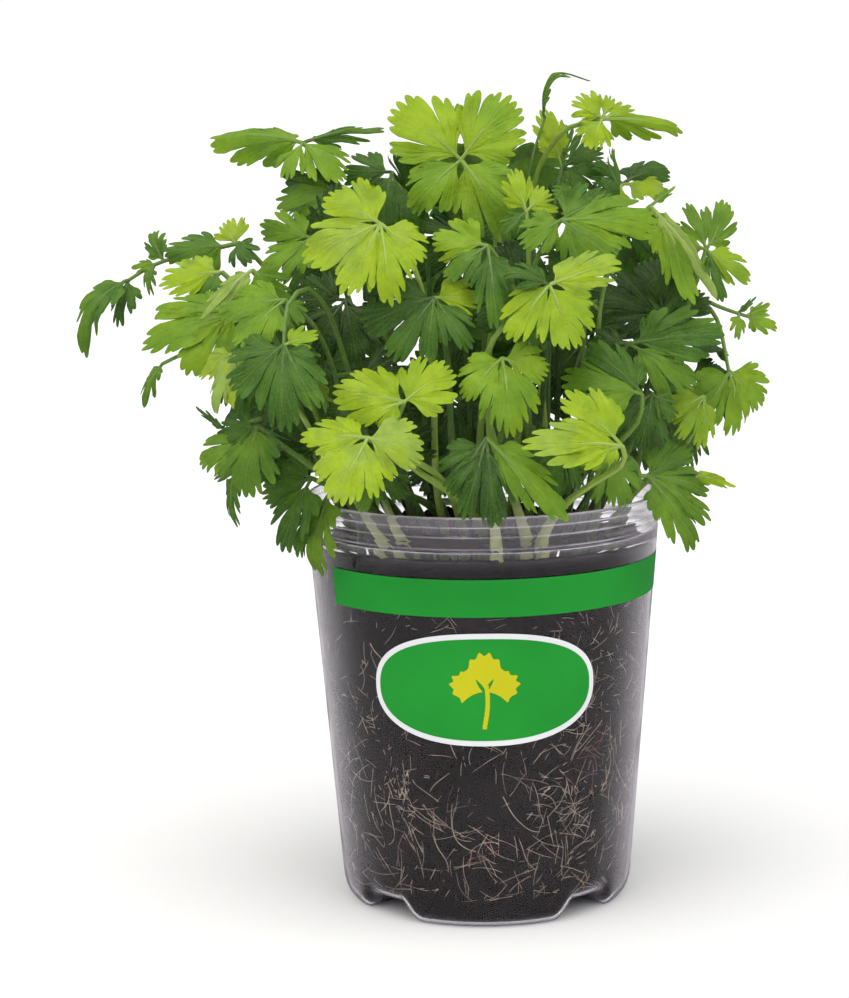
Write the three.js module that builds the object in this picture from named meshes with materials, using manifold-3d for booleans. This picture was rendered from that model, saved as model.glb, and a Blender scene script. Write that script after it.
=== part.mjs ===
// Potted coriander: a clump of sown coriander growing in a clear plastic cup.
// Millimetres, +Z up, the front of the cup towards -Y, origin at the middle of the cup's underside.
import * as THREE from "three";
import { mergeVertices } from "three/addons/utils/BufferGeometryUtils.js";
import Module from "manifold-3d";

// ---- driving dimensions ----
const CUP_HEIGHT = 107.5; // foot to lip
const LIP_RADIUS = 45.8; // outside of the lip
const WALL_TOP_RADIUS = 45.8; // outside of the tapered wall where it meets the moulded rings
const WALL_BOTTOM_RADIUS = 38.2; // outside of the tapered wall above the heel
const WALL = 0.8; // wall thickness
const FOOT_RADIUS = 34.4; // flat contact ring
const HEEL_HEIGHT = 6.5; // rounded heel between foot and wall
const RINGS_BOTTOM = 98.3; // lower edge of the moulded rings
const FLOOR = 1.2; // thickness of the floor
const NOTCH_HEIGHT = 5; // the gaps between the four feet
const NOTCH_TOP_WIDTH = 10;
const NOTCH_BOTTOM_WIDTH = 20;
const NOTCH_INNER_RADIUS = 25;
const DRAIN_RADIUS = 2.4; // drain hole in the roof of each notch
const GAP = 0.35; // between touching pieces
const SOIL_CENTRE = 99.6; // height of the compost in the middle
const SOIL_EDGE = 93.3; // and at the wall
const ROUND = 32; // segments round the cup
const BLADE = 0.8; // thickness of a leaflet
const STALK_RADIUS = 0.85;
const ARM_RADIUS = 0.6;
const FAN = 80; // widest half opening of a leaflet's fan, degrees
const WEDGE = 0.6; // a leaflet's foot opens by this share of its toothed edge
const OPEN = 0.9; // share of its fan that a leaflet fills, so that neighbours stay apart
const HUB_RADIUS = 1.7; // the joint of stalk and leaflets

const wasm = await Module();
wasm.setup();

// ---- geometry helpers ----
function toSolid(geometry) {
  const g = geometry.clone();
  g.deleteAttribute("normal");
  g.deleteAttribute("uv");
  const m = mergeVertices(g, 1e-4);
  return new wasm.Manifold(
    new wasm.Mesh({
      numProp: 3,
      vertProperties: new Float32Array(m.attributes.position.array),
      triVerts: new Uint32Array(m.index.array),
    }),
  );
}

function toGeometry(solid) {
  const mesh = solid.getMesh();
  const position = new Float32Array(mesh.numVert * 3);
  for (let i = 0; i < mesh.numVert; i++)
    position.set(
      mesh.vertProperties.subarray(i * mesh.numProp, i * mesh.numProp + 3),
      i * 3,
    );
  const g = new THREE.BufferGeometry();
  g.setAttribute("position", new THREE.BufferAttribute(position, 3));
  g.setIndex(new THREE.BufferAttribute(new Uint32Array(mesh.triVerts), 1));
  g.computeVertexNormals();
  return g;
}

// A profile of [radius, height] turned about the Z axis.
function turned(profile, segments = ROUND) {
  const g = new THREE.LatheGeometry(
    profile.map(([r, z]) => new THREE.Vector2(r, z)),
    segments,
  );
  return g.rotateX(Math.PI / 2);
}

// A rod of four sides along a curve.
function rod(points, radius, steps) {
  const curve = new THREE.CatmullRomCurve3(
    points.map((p) => new THREE.Vector3(...p)),
  );
  const section = new THREE.Shape(
    [0, 1, 2, 3].map(
      (i) =>
        new THREE.Vector2(
          radius * Math.cos((i * Math.PI) / 2),
          radius * Math.sin((i * Math.PI) / 2),
        ),
    ),
  );
  return new THREE.ExtrudeGeometry(section, {
    steps,
    extrudePath: curve,
    bevelEnabled: false,
  });
}

// A leaflet: a thin slab laid out as a fan from its joint to its toothed edge, arched along
// its length by bend and roofed along its midrib by fold.
function blade([
  joint, tip, normal, width, bend, fold, stem, fanLeft, fanRight,
]) {
  const a = new THREE.Vector3(...joint);
  const e = new THREE.Vector3(...tip).sub(a);
  const length = e.length();
  e.normalize();
  const n = new THREE.Vector3(...normal);
  n.addScaledVector(e, -n.dot(e)).normalize();
  const s = new THREE.Vector3().crossVectors(n, e);
  const rows = width > 21 ? 2 : 1;
  const g = new THREE.BoxGeometry(1, 1, 1, rows, width > 13 ? 4 : 2, 1);
  const p = g.attributes.position;
  const fan = length * (1 - stem);
  const narrow = width / (1.35 * fan);
  for (let i = 0; i < p.count; i++) {
    const row = p.getX(i) + 0.5;
    const side = p.getY(i) * 2;
    const face = p.getZ(i) * 2;
    let u, v;
    if (row < 0.01) {
      u = 0.55;
      v = 0.35 * side;
    } else {
      // the wedge-shaped foot of the leaflet opens less than its toothed edge
      const inner = rows === 2 && row < 0.6;
      const open = OPEN * (side > 0 ? fanLeft : fanRight);
      const angle = (side * open * (inner ? WEDGE : 1) * Math.PI) / 180;
      const reach =
        fan *
        (inner ? 0.45 : 1) *
        (1 - 0.42 * Math.abs((side * open) / FAN) ** 2.2);
      u = stem * length + reach * Math.cos(angle);
      v = reach * Math.sin(angle) * narrow;
    }
    const q = u / length;
    const lift = row < 0.01 ? 0 : -4 * bend * length * (q * q - q);
    const out = lift - Math.abs(v) * Math.sin(fold) + (face * BLADE) / 2;
    const w = v * Math.cos(fold);
    p.setXYZ(
      i,
      a.x + e.x * u + s.x * w + n.x * out,
      a.y + e.y * u + s.y * w + n.y * out,
      a.z + e.z * u + s.z * w + n.z * out,
    );
  }
  return g;
}

// ---- the cup ----
const wallRadius = (z) =>
  WALL_BOTTOM_RADIUS +
  ((WALL_TOP_RADIUS - WALL_BOTTOM_RADIUS) * (z - HEEL_HEIGHT)) /
    (RINGS_BOTTOM - HEEL_HEIGHT);
const cupOutside = turned([
  [0, 0],
  [FOOT_RADIUS, 0],
  [FOOT_RADIUS + 1.3, 0.5],
  [FOOT_RADIUS + 2.7, 2.2],
  [FOOT_RADIUS + 3.5, 4.4],
  [WALL_BOTTOM_RADIUS, HEEL_HEIGHT],
  [wallRadius(50), 50],
  [WALL_TOP_RADIUS, RINGS_BOTTOM],
  [WALL_TOP_RADIUS - 0.5, RINGS_BOTTOM + 0.7],
  [WALL_TOP_RADIUS - 0.5, RINGS_BOTTOM + 2.0],
  [LIP_RADIUS + 0.05, RINGS_BOTTOM + 2.9],
  [LIP_RADIUS + 0.05, RINGS_BOTTOM + 3.9],
  [LIP_RADIUS - 0.5, RINGS_BOTTOM + 4.7],
  [LIP_RADIUS - 0.5, RINGS_BOTTOM + 5.5],
  [LIP_RADIUS, CUP_HEIGHT - 2.7],
  [LIP_RADIUS, CUP_HEIGHT - 0.5],
  [LIP_RADIUS - 0.4, CUP_HEIGHT],
  [0, CUP_HEIGHT],
]);
const cupInside = turned([
  [0, FLOOR],
  [FOOT_RADIUS - 0.4, FLOOR],
  [FOOT_RADIUS + 1.8, 2.6],
  [FOOT_RADIUS + 2.7, 4.6],
  [WALL_BOTTOM_RADIUS - WALL, HEEL_HEIGHT + 0.3],
  [wallRadius(50) - WALL, 50],
  [WALL_TOP_RADIUS - WALL - 0.45, RINGS_BOTTOM],
  [LIP_RADIUS - WALL - 0.45, CUP_HEIGHT - 0.8],
  [LIP_RADIUS - WALL - 0.1, CUP_HEIGHT + 1],
  [0, CUP_HEIGHT + 1],
]);

// The wedge between two feet, grown by `more` for the shell and the compost over it.
function notch(more, turn) {
  const h = NOTCH_HEIGHT + more;
  const shape = new THREE.Shape([
    new THREE.Vector2(-NOTCH_BOTTOM_WIDTH / 2 - more - 2, -2),
    new THREE.Vector2(NOTCH_BOTTOM_WIDTH / 2 + more + 2, -2),
    new THREE.Vector2(NOTCH_TOP_WIDTH / 2 + more, h),
    new THREE.Vector2(-NOTCH_TOP_WIDTH / 2 - more, h),
  ]);
  const g = new THREE.ExtrudeGeometry(shape, {
    depth: 60,
    steps: 1,
    bevelEnabled: false,
  });
  g.translate(0, 0, NOTCH_INNER_RADIUS - more);
  g.rotateX(Math.PI / 2); // section upright, the wedge running outwards along -Y
  g.rotateZ(turn);
  return toSolid(g);
}
const NOTCH_TURNS = [1, 3, 5, 7].map((k) => (k * Math.PI) / 4);

let cup = toSolid(cupOutside);
for (const turn of NOTCH_TURNS) cup = cup.subtract(notch(0, turn));
let hollow = toSolid(cupInside);
for (const turn of NOTCH_TURNS) hollow = hollow.subtract(notch(1.0, turn));
cup = cup.subtract(hollow);
for (const turn of NOTCH_TURNS) {
  const r = NOTCH_INNER_RADIUS + 5;
  const hole = new THREE.CylinderGeometry(DRAIN_RADIUS, DRAIN_RADIUS, 6, 12);
  hole.rotateX(Math.PI / 2);
  hole.translate(r * Math.sin(turn), -r * Math.cos(turn), NOTCH_HEIGHT + 0.5);
  cup = cup.subtract(toSolid(hole));
}

// ---- the compost ----
let soil = toSolid(
  turned(
    [
      [0, FLOOR + GAP],
      [FOOT_RADIUS - 0.7, FLOOR + GAP],
      [FOOT_RADIUS + 1.4, 3.0],
      [FOOT_RADIUS + 2.3, 4.9],
      [WALL_BOTTOM_RADIUS - WALL - GAP, HEEL_HEIGHT + 0.6],
      [wallRadius(50) - WALL - GAP, 50],
      [wallRadius(SOIL_EDGE) - WALL - GAP - 0.45, SOIL_EDGE],
      [36, SOIL_CENTRE - 4.3],
      [22, SOIL_CENTRE - 1.6],
      [0, SOIL_CENTRE],
    ],
    32,
  ),
);
for (const turn of NOTCH_TURNS) soil = soil.subtract(notch(1.0 + GAP, turn));

// ---- the leaves: each one is a stalk from the compost, side arms where the leaf forks, and
// its leaflets as [joint, tip, upper face, width, bend, fold, bare share of
// the length, and how far its fan opens to either side in degrees] ----
const LEAVES = {
  leaf_top: {
    stalk: [[-1.5,-12.2,99.9], [-1.2,-13.1,116.0], [0.6,-14.5,131.9], [2.8,-16.0,147.8], [4.2,-17.1,163.8], [2.9,-16.9,179.8], [-4.3,-14.0,193.6]],
    arms: [],
    leaflets: [
      [[-4.3,-14.0,193.6],[-16.7,-18.7,182.0],[-0.0,-0.93,0.37],15.0,0.10,0.16,0.11,45,45],
      [[-4.3,-14.0,193.6],[8.5,-21.6,174.8],[0.0,-0.93,0.37],17.7,0.10,0.16,0.12,63,55],
      [[-4.3,-14.0,193.6],[9.3,-7.9,208.8],[0.0,-0.93,0.37],20.5,0.10,0.16,0.13,48,63],
      [[-4.3,-14.0,193.6],[-20.6,-8.5,207.3],[-0.0,-0.93,0.37],22.1,0.10,0.16,0.10,57,51],
    ],
  },
  leaf_upper_left_arch: {
    stalk: [[-18.2,0.4,99.3], [-21.9,2.4,116.4], [-23.8,4.4,133.7], [-25.2,6.0,151.1], [-27.9,6.7,168.5], [-34.3,5.6,184.7], [-45.0,2.0,198.1]],
    arms: [[[-34.3,5.6,184.7], [-38.2,12.8,185.9]]],
    leaflets: [
      [[-38.2,12.8,185.9],[-50.2,19.4,181.2],[-0.76,-0.1,0.64],19.1,0.10,0.23,0.12,69,75],
      [[-45.0,2.0,198.1],[-49.7,-3.7,189.4],[-0.2,-0.76,0.62],9.4,0.10,0.16,0.09,39,39],
      [[-45.0,2.0,198.1],[-34.7,-7.0,190.3],[-0.2,-0.76,0.62],13.2,0.10,0.30,0.10,38,50],
      [[-45.0,2.0,198.1],[-24.0,-1.2,201.2],[-0.2,-0.76,0.62],9.9,0.10,0.90,0.12,78,55],
      [[-45.0,2.0,198.1],[-70.6,10.4,200.1],[-0.2,-0.76,0.62],16.6,0.10,0.80,0.06,69,80],
    ],
  },
  leaf_upper_left_back: {
    stalk: [[-13.3,12.6,99.3], [-14.7,12.9,114.8], [-14.6,12.4,130.3], [-13.8,11.6,145.8], [-13.5,11.2,161.4], [-15.6,12.1,176.7], [-22.7,16.0,189.8]],
    arms: [[[-15.6,12.1,176.7], [-13.8,4.9,181.4]]],
    leaflets: [
      [[-22.7,16.0,189.8],[-34.8,16.6,188.9],[-0.08,-0.9,0.42],12.9,0.10,0.16,0.16,38,80],
      [[-22.7,16.0,189.8],[-25.3,9.3,175.0],[-0.08,-0.9,0.42],15.1,0.10,0.16,0.14,35,49],
      [[-22.7,16.0,189.8],[-14.9,8.4,174.9],[-0.08,-0.9,0.42],13.5,0.10,0.16,0.11,80,42],
      [[-13.8,4.9,181.4],[-18.6,-6.8,194.8],[-0.7,-0.69,-0.16],17.7,0.10,0.27,0.12,78,74],
    ],
  },
  leaf_upper_left: {
    stalk: [[-28.5,4.6,97.7], [-29.3,2.4,112.6], [-29.0,-0.6,127.5], [-28.4,-3.6,142.4], [-28.2,-5.8,157.4], [-29.5,-5.8,172.5], [-34.3,-1.5,186.0]],
    arms: [[[-29.5,-5.8,172.5], [-35.0,0.7,170.2]], [[-29.0,-0.6,127.5], [-26.0,-1.3,129.3]]],
    leaflets: [
      [[-34.3,-1.5,186.0],[-53.0,4.1,182.7],[-0.32,-0.88,0.34],13.7,0.10,0.16,0.12,80,43],
      [[-35.0,0.7,170.2],[-45.4,7.8,165.7],[-0.63,-0.77,0.1],18.2,0.11,0.16,0.12,69,68],
      [[-26.0,-1.3,129.3],[-23.2,-9.9,139.5],[-0.55,-0.55,0.62],19.5,0.07,0.15,0.12,80,70],
      [[-34.3,-1.5,186.0],[-50.5,8.0,189.4],[-0.4,-0.91,0.09],8.8,0.10,0.16,0.09,56,80],
    ],
  },
  leaf_left_front_bright: {
    stalk: [[-9.4,-17.6,99.1], [-11.6,-23.6,112.4], [-12.1,-28.7,126.2], [-12.0,-33.1,140.3], [-12.6,-37.2,154.5], [-15.6,-41.5,168.3], [-23.6,-46.0,179.6]],
    arms: [],
    leaflets: [
      [[-23.6,-46.0,179.6],[-42.0,-48.5,170.9],[-0.08,-0.9,0.42],16.4,0.10,0.16,0.07,40,41],
      [[-23.6,-46.0,179.6],[-32.0,-53.2,162.7],[-0.08,-0.9,0.42],13.3,0.10,0.16,0.10,45,45],
      [[-23.6,-46.0,179.6],[-20.7,-54.8,161.3],[-0.08,-0.9,0.42],13.9,0.10,0.16,0.11,44,44],
      [[-23.6,-46.0,179.6],[-13.5,-51.1,170.7],[-0.08,-0.9,0.42],11.8,0.10,0.16,0.17,80,37],
      [[-23.6,-46.0,179.6],[-36.9,-41.5,186.8],[-0.08,-0.9,0.42],16.5,0.10,0.16,0.11,33,80],
    ],
  },
  leaf_left_mid: {
    stalk: [[-27.1,-0.8,98.0], [-29.5,-4.4,110.9], [-30.3,-8.2,124.0], [-30.5,-11.7,137.1], [-31.4,-14.6,150.4], [-34.7,-16.3,163.4], [-42.1,-16.0,174.7]],
    arms: [[[-34.7,-16.3,163.4], [-35.0,-20.9,171.0]]],
    leaflets: [
      [[-42.1,-16.0,174.7],[-54.6,-15.1,165.3],[-0.32,-0.88,0.34],13.5,0.10,0.16,0.12,80,37],
      [[-35.0,-20.9,171.0],[-35.6,-18.8,187.2],[-0.57,-0.61,0.54],18.2,0.11,0.22,0.12,66,69],
      [[-42.1,-16.0,174.7],[-55.7,-10.1,177.1],[-0.32,-0.88,0.34],11.3,0.10,0.16,0.11,41,80],
    ],
  },
  leaf_far_left: {
    stalk: [[-34.2,7.4,96.4], [-39.0,3.7,109.2], [-42.1,-0.3,122.4], [-44.5,-4.1,135.9], [-47.3,-7.3,149.4], [-52.1,-9.1,162.6], [-61.1,-8.0,173.3]],
    arms: [[[-61.1,-8.0,173.3], [-71.7,-4.4,170.9], [-81.4,-1.3,168.5], [-85.8,-0.3,166.7], [-90.9,0.2,163.6]], [[-52.1,-9.1,162.6], [-58.3,-7.6,162.0]]],
    leaflets: [
      [[-64.8,-6.8,172.4],[-80.4,-1.0,169.8],[-0.37,-0.8,0.47],15.3,0.10,0.50,0.06,80,46],
      [[-83.6,-0.8,167.6],[-90.4,1.8,166.6],[-0.37,-0.8,0.47],4.4,0.10,0.16,0.06,62,49],
      [[-84.0,-0.7,167.4],[-85.5,-4.1,160.5],[-0.37,-0.8,0.47],4.4,0.10,0.16,0.30,80,55],
      [[-90.9,0.2,163.6],[-94.5,-4.5,152.7],[-0.37,-0.8,0.47],8.3,0.05,0.16,0.06,80,46],
      [[-90.9,0.2,163.6],[-102.4,-5.5,144.6],[-0.37,-0.8,0.47],9.4,0.28,0.16,0.06,59,80],
      [[-58.3,-7.6,162.0],[-70.9,-2.6,154.8],[-0.25,-0.55,0.79],20.7,0.14,0.25,0.12,69,79],
      [[-62.1,-7.6,173.0],[-58.3,-12.1,168.4],[-0.37,-0.8,0.47],8.2,0.10,0.16,0.12,73,46],
      [[-62.1,-7.6,173.0],[-64.9,-3.3,178.2],[-0.37,-0.8,0.47],11.5,0.10,0.16,0.06,32,80],
      [[-81.6,-1.2,168.4],[-84.8,4.8,176.2],[-0.37,-0.8,0.47],7.2,0.10,0.16,0.06,58,80],
    ],
  },
  leaf_left_yellow: {
    stalk: [[-33.5,-2.1,96.7], [-38.9,-6.5,108.3], [-42.9,-11.3,120.3], [-46.3,-16.0,132.6], [-50.1,-20.1,144.9], [-55.6,-22.7,156.9], [-64.6,-22.0,166.9]],
    arms: [[[-46.3,-16.0,132.6], [-47.8,-16.7,139.6]], [[-55.6,-22.7,156.9], [-58.6,-20.6,155.4]], [[-42.9,-11.3,120.3], [-50.1,-9.4,118.3]]],
    leaflets: [
      [[-64.6,-22.0,166.9],[-80.9,-16.0,163.7],[-0.38,-0.82,0.42],11.2,0.10,0.16,0.10,46,80],
      [[-64.6,-22.0,166.9],[-71.2,-22.7,159.6],[-0.38,-0.82,0.42],9.1,0.10,0.16,0.16,80,34],
      [[-58.6,-20.6,155.4],[-70.4,-16.6,149.0],[-0.65,0.7,0.3],19.0,0.10,0.18,0.12,80,76],
      [[-50.1,-9.4,118.3],[-69.8,-8.2,114.1],[-0.55,-0.53,0.65],17.1,0.08,0.16,0.12,72,68],
      [[-47.8,-16.7,139.6],[-48.8,-15.8,154.5],[-0.44,-0.5,0.75],20.7,0.10,0.29,0.12,75,77],
    ],
  },
  leaf_left_big: {
    stalk: [[-29.6,-9.2,97.2], [-34.2,-13.5,107.5], [-37.8,-18.3,118.0], [-41.1,-23.0,128.6], [-44.8,-27.4,139.2], [-50.2,-30.5,149.5], [-58.5,-30.8,158.1]],
    arms: [[[-58.5,-30.8,158.1], [-68.4,-31.1,150.3], [-79.4,-29.8,144.8]], [[-50.2,-30.5,149.5], [-53.7,-29.5,147.0]]],
    leaflets: [
      [[-59.0,-30.8,157.7],[-82.4,-22.7,156.9],[-0.31,-0.85,0.42],10.6,0.10,0.16,0.08,58,80],
      [[-59.9,-30.9,157.0],[-84.8,-25.7,149.2],[-0.31,-0.85,0.42],13.2,0.10,0.16,0.06,54,54],
      [[-79.4,-29.8,144.8],[-84.1,-33.1,134.7],[-0.31,-0.85,0.42],4.3,0.10,0.16,0.06,80,80],
      [[-60.6,-30.9,156.4],[-73.7,-33.0,142.6],[-0.31,-0.85,0.42],14.3,0.10,0.16,0.06,80,43],
      [[-53.7,-29.5,147.0],[-64.0,-18.6,135.2],[-0.86,-0.36,0.36],18.9,0.08,0.12,0.12,79,72],
    ],
  },
  leaf_left_pale: {
    stalk: [[-26.1,-13.0,97.6], [-31.4,-17.4,109.1], [-35.7,-21.4,121.2], [-39.5,-25.2,133.5], [-43.6,-28.7,145.8], [-48.6,-32.3,157.7], [-55.8,-36.0,168.3]],
    arms: [[[-35.7,-21.4,121.2], [-40.8,-22.5,122.2]]],
    leaflets: [
      [[-55.8,-36.0,168.3],[-68.3,-38.2,156.9],[-0.23,-0.88,0.42],5.8,0.10,0.40,0.06,70,80],
      [[-40.8,-22.5,122.2],[-57.7,-15.3,120.4],[-0.4,-0.9,0.17],17.3,0.07,0.14,0.12,68,73],
      [[-55.8,-36.0,168.3],[-46.7,-39.2,161.3],[-0.36,-0.9,0.26],9.9,0.10,0.16,0.13,80,69],
    ],
  },
  leaf_left_center: {
    stalk: [[-23.2,-19.8,97.3], [-28.8,-23.1,107.8], [-31.8,-27.1,119.1], [-33.7,-31.4,130.5], [-35.7,-35.9,141.9], [-39.3,-40.3,152.8], [-47.1,-44.0,161.5]],
    arms: [[[-35.7,-35.9,141.9], [-29.9,-39.8,143.0]], [[-39.3,-40.3,152.8], [-41.2,-41.2,151.2]]],
    leaflets: [
      [[-47.1,-44.0,161.5],[-63.3,-43.3,157.8],[-0.15,-0.85,0.5],13.4,0.10,0.16,0.10,40,80],
      [[-47.1,-44.0,161.5],[-58.7,-48.5,150.4],[-0.15,-0.85,0.5],12.9,0.10,0.16,0.21,58,37],
      [[-41.2,-41.2,151.2],[-43.5,-44.4,136.5],[-0.95,-0.12,0.3],20.9,0.10,0.13,0.12,72,78],
      [[-47.1,-44.0,161.5],[-42.6,-48.6,155.0],[-0.15,-0.85,0.5],6.7,0.10,0.16,0.21,80,38],
      [[-29.9,-39.8,143.0],[-17.4,-43.4,140.4],[0.02,-0.98,0.18],16.3,0.07,0.28,0.12,66,69],
    ],
  },
  leaf_left_hanging: {
    stalk: [[-20.1,-24.2,97.1], [-25.3,-28.9,111.3], [-29.0,-31.8,126.4], [-32.3,-34.2,141.6], [-36.3,-37.8,156.5], [-43.8,-47.5,164.2], [-47.1,-54.0,151.5]],
    arms: [],
    leaflets: [
      [[-47.1,-54.0,151.5],[-58.9,-54.8,140.9],[-0.17,-0.95,0.26],15.3,0.10,0.16,0.12,34,80],
      [[-47.1,-54.0,151.5],[-47.2,-59.3,132.1],[-0.17,-0.95,0.26],12.8,0.10,0.16,0.06,48,48],
      [[-47.1,-54.0,151.5],[-38.5,-59.6,136.4],[-0.17,-0.95,0.26],11.2,0.10,0.16,0.10,66,47],
      [[-47.1,-54.0,151.5],[-38.8,-54.7,154.1],[-0.17,-0.95,0.26],6.6,0.10,0.16,0.18,80,39],
    ],
  },
  leaf_left_curled: {
    stalk: [[-24.4,-24.5,96.5], [-29.7,-28.4,105.6], [-34.4,-32.8,114.8], [-39.0,-37.4,124.0], [-44.2,-41.8,133.1], [-50.6,-45.0,141.8], [-58.9,-46.0,149.2]],
    arms: [],
    leaflets: [
      [[-58.9,-46.0,149.2],[-69.7,-42.3,143.0],[-0.47,-0.81,0.34],6.2,0.10,0.16,0.19,51,80],
      [[-58.9,-46.0,149.2],[-65.2,-48.5,134.6],[-0.47,-0.81,0.34],7.2,0.10,0.16,0.06,57,57],
      [[-58.9,-46.0,149.2],[-60.3,-50.7,136.1],[-0.47,-0.81,0.34],7.8,0.10,0.16,0.07,80,51],
    ],
  },
  leaf_lower_left: {
    stalk: [[-31.2,-17.1,96.2], [-31.2,-22.0,103.1], [-33.5,-27.6,109.2], [-37.3,-32.9,114.6], [-42.4,-37.5,119.6], [-48.5,-40.4,124.8], [-55.0,-40.1,130.2]],
    arms: [[[-55.0,-40.1,130.2], [-59.7,-39.2,123.7], [-61.3,-39.5,118.3]], [[-54.0,-40.2,132.2], [-63.3,-36.5,128.9]], [[-48.5,-40.4,124.8], [-53.1,-35.3,123.0]]],
    leaflets: [
      [[-55.0,-40.1,130.2],[-64.8,-36.3,126.4],[-0.42,-0.89,0.17],8.9,0.10,0.16,0.14,39,80],
      [[-57.1,-39.7,127.3],[-70.1,-35.2,119.3],[-0.42,-0.89,0.17],11.0,0.10,0.16,0.09,44,44],
      [[-53.1,-35.3,123.0],[-59.2,-20.4,120.4],[-0.71,-0.56,0.42],16.2,0.08,0.23,0.12,71,69],
      [[-61.3,-39.5,118.3],[-62.2,-41.6,105.3],[-0.42,-0.89,0.17],4.7,0.10,0.16,0.06,80,80],
      [[-55.0,-40.1,130.2],[-58.3,-42.0,112.6],[-0.42,-0.89,0.17],16.7,0.10,0.16,0.07,80,40],
      [[-63.3,-36.5,128.9],[-70.5,-32.2,133.9],[-0.42,-0.89,0.17],1.8,0.10,0.16,0.06,80,80],
    ],
  },
  leaf_rim_left: {
    stalk: [[-20.3,-8.0,98.8], [-22.5,-10.2,104.3], [-25.5,-14.1,108.4], [-29.0,-18.8,110.8], [-32.8,-23.8,112.2], [-37.2,-28.2,113.3], [-42.6,-30.0,115.6]],
    arms: [],
    leaflets: [
      [[-42.6,-30.0,115.6],[-55.1,-26.4,110.6],[-0.34,-0.93,0.17],12.2,0.10,0.16,0.11,37,37],
      [[-42.6,-30.0,115.6],[-50.0,-30.6,98.0],[-0.34,-0.93,0.17],10.6,0.14,0.16,0.16,80,48],
      [[-42.6,-30.0,115.6],[-51.9,-26.0,119.2],[-0.34,-0.93,0.17],8.0,0.10,0.16,0.14,40,80],
    ],
  },
  leaf_over_rim_left: {
    stalk: [[-20.9,-15.1,98.2], [-23.8,-15.3,101.9], [-27.0,-17.1,104.7], [-30.1,-20.0,106.6], [-33.1,-23.4,108.1], [-35.9,-27.0,109.3], [-38.4,-30.0,111.5]],
    arms: [],
    leaflets: [
      [[-38.4,-30.0,111.5],[-46.4,-25.9,94.8],[-0.58,-0.81,0.07],9.6,0.10,0.16,0.16,51,80],
      [[-38.4,-30.0,111.5],[-40.8,-30.5,90.9],[-0.69,-0.71,0.08],12.8,0.10,0.16,0.08,80,48],
    ],
  },
  leaf_front_bright_upper: {
    stalk: [[0.5,-26.6,98.1], [-1.9,-31.9,105.6], [-6.8,-37.3,111.6], [-12.9,-42.6,116.7], [-18.6,-47.6,122.5], [-20.7,-51.8,130.6], [-18.4,-57.6,137.8]],
    arms: [[[-20.7,-51.8,130.6], [-25.6,-49.1,131.8]]],
    leaflets: [
      [[-25.6,-49.1,131.8],[-41.3,-44.4,126.9],[0.07,-0.62,0.78],17.5,0.11,0.11,0.12,66,75],
      [[-18.4,-57.6,137.8],[-29.0,-59.7,133.4],[0.0,-0.91,0.42],7.1,0.10,0.16,0.18,80,45],
      [[-18.4,-57.6,137.8],[-6.9,-54.1,145.4],[-0.0,-0.91,0.42],15.7,0.10,0.16,0.07,72,80],
      [[-18.4,-57.6,137.8],[-35.5,-56.4,140.3],[0.0,-0.91,0.42],14.7,0.10,0.16,0.06,39,73],
    ],
  },
  leaf_front_bright_lower: {
    stalk: [[-4.4,-21.7,98.8], [-6.6,-27.1,106.7], [-9.1,-33.9,113.4], [-12.0,-41.8,118.6], [-15.7,-50.1,122.4], [-20.6,-57.9,125.8], [-27.0,-64.1,130.1]],
    arms: [[[-20.6,-57.9,125.8], [-23.7,-59.7,124.8]]],
    leaflets: [
      [[-23.7,-59.7,124.8],[-35.8,-50.6,118.6],[0.05,-0.54,0.84],19.5,0.14,0.10,0.12,77,77],
      [[-27.0,-64.1,130.1],[-34.1,-69.3,114.8],[-0.12,-0.91,0.39],19.1,0.10,0.16,0.09,56,49],
      [[-27.0,-64.1,130.1],[-14.1,-66.9,126.0],[-0.08,-0.92,0.37],15.1,0.12,0.16,0.08,80,45],
      [[-27.0,-64.1,130.1],[-43.2,-62.5,130.6],[-0.08,-0.92,0.37],10.1,0.10,0.16,0.08,48,80],
    ],
  },
  leaf_front_low_dark: {
    stalk: [[-10.3,-11.8,99.6], [-12.4,-15.7,104.5], [-15.0,-20.9,107.9], [-17.7,-26.4,110.3], [-20.6,-32.0,112.5], [-23.6,-37.2,115.5], [-26.1,-40.0,120.9]],
    arms: [],
    leaflets: [
      [[-26.1,-40.0,120.9],[-30.2,-42.1,108.8],[-0.0,-0.98,0.17],9.4,0.10,0.16,0.19,39,80],
      [[-26.1,-40.0,120.9],[-19.8,-41.6,111.8],[-0.0,-0.98,0.17],8.9,0.10,0.16,0.17,80,37],
    ],
  },
  leaf_center_left_dark: {
    stalk: [[-5.8,-15.3,99.5], [-6.6,-20.3,109.7], [-7.1,-25.1,120.1], [-7.5,-29.6,130.6], [-8.1,-34.2,141.1], [-9.2,-38.9,151.4], [-11.1,-44.0,161.5]],
    arms: [],
    leaflets: [
      [[-11.1,-44.0,161.5],[-27.7,-46.0,156.0],[0.0,-0.94,0.34],14.4,0.10,0.16,0.09,39,80],
      [[-11.1,-44.0,161.5],[-20.9,-48.9,148.0],[-0.0,-0.94,0.34],13.9,0.10,0.16,0.10,40,40],
      [[-11.1,-44.0,161.5],[-12.7,-49.3,146.9],[0.0,-0.94,0.34],10.8,0.10,0.16,0.13,43,43],
      [[-11.1,-44.0,161.5],[-3.0,-48.5,149.1],[0.0,-0.94,0.34],10.3,0.10,0.16,0.14,44,44],
      [[-11.1,-44.0,161.5],[0.5,-44.2,160.8],[0.0,-0.94,0.34],10.8,0.10,0.16,0.13,80,35],
    ],
  },
  leaf_center: {
    stalk: [[2.0,-13.9,99.7], [3.0,-20.0,112.0], [5.1,-25.4,124.3], [7.6,-30.4,136.8], [9.2,-35.1,149.5], [8.3,-39.5,162.4], [2.1,-43.1,173.8]],
    arms: [],
    leaflets: [
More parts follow.
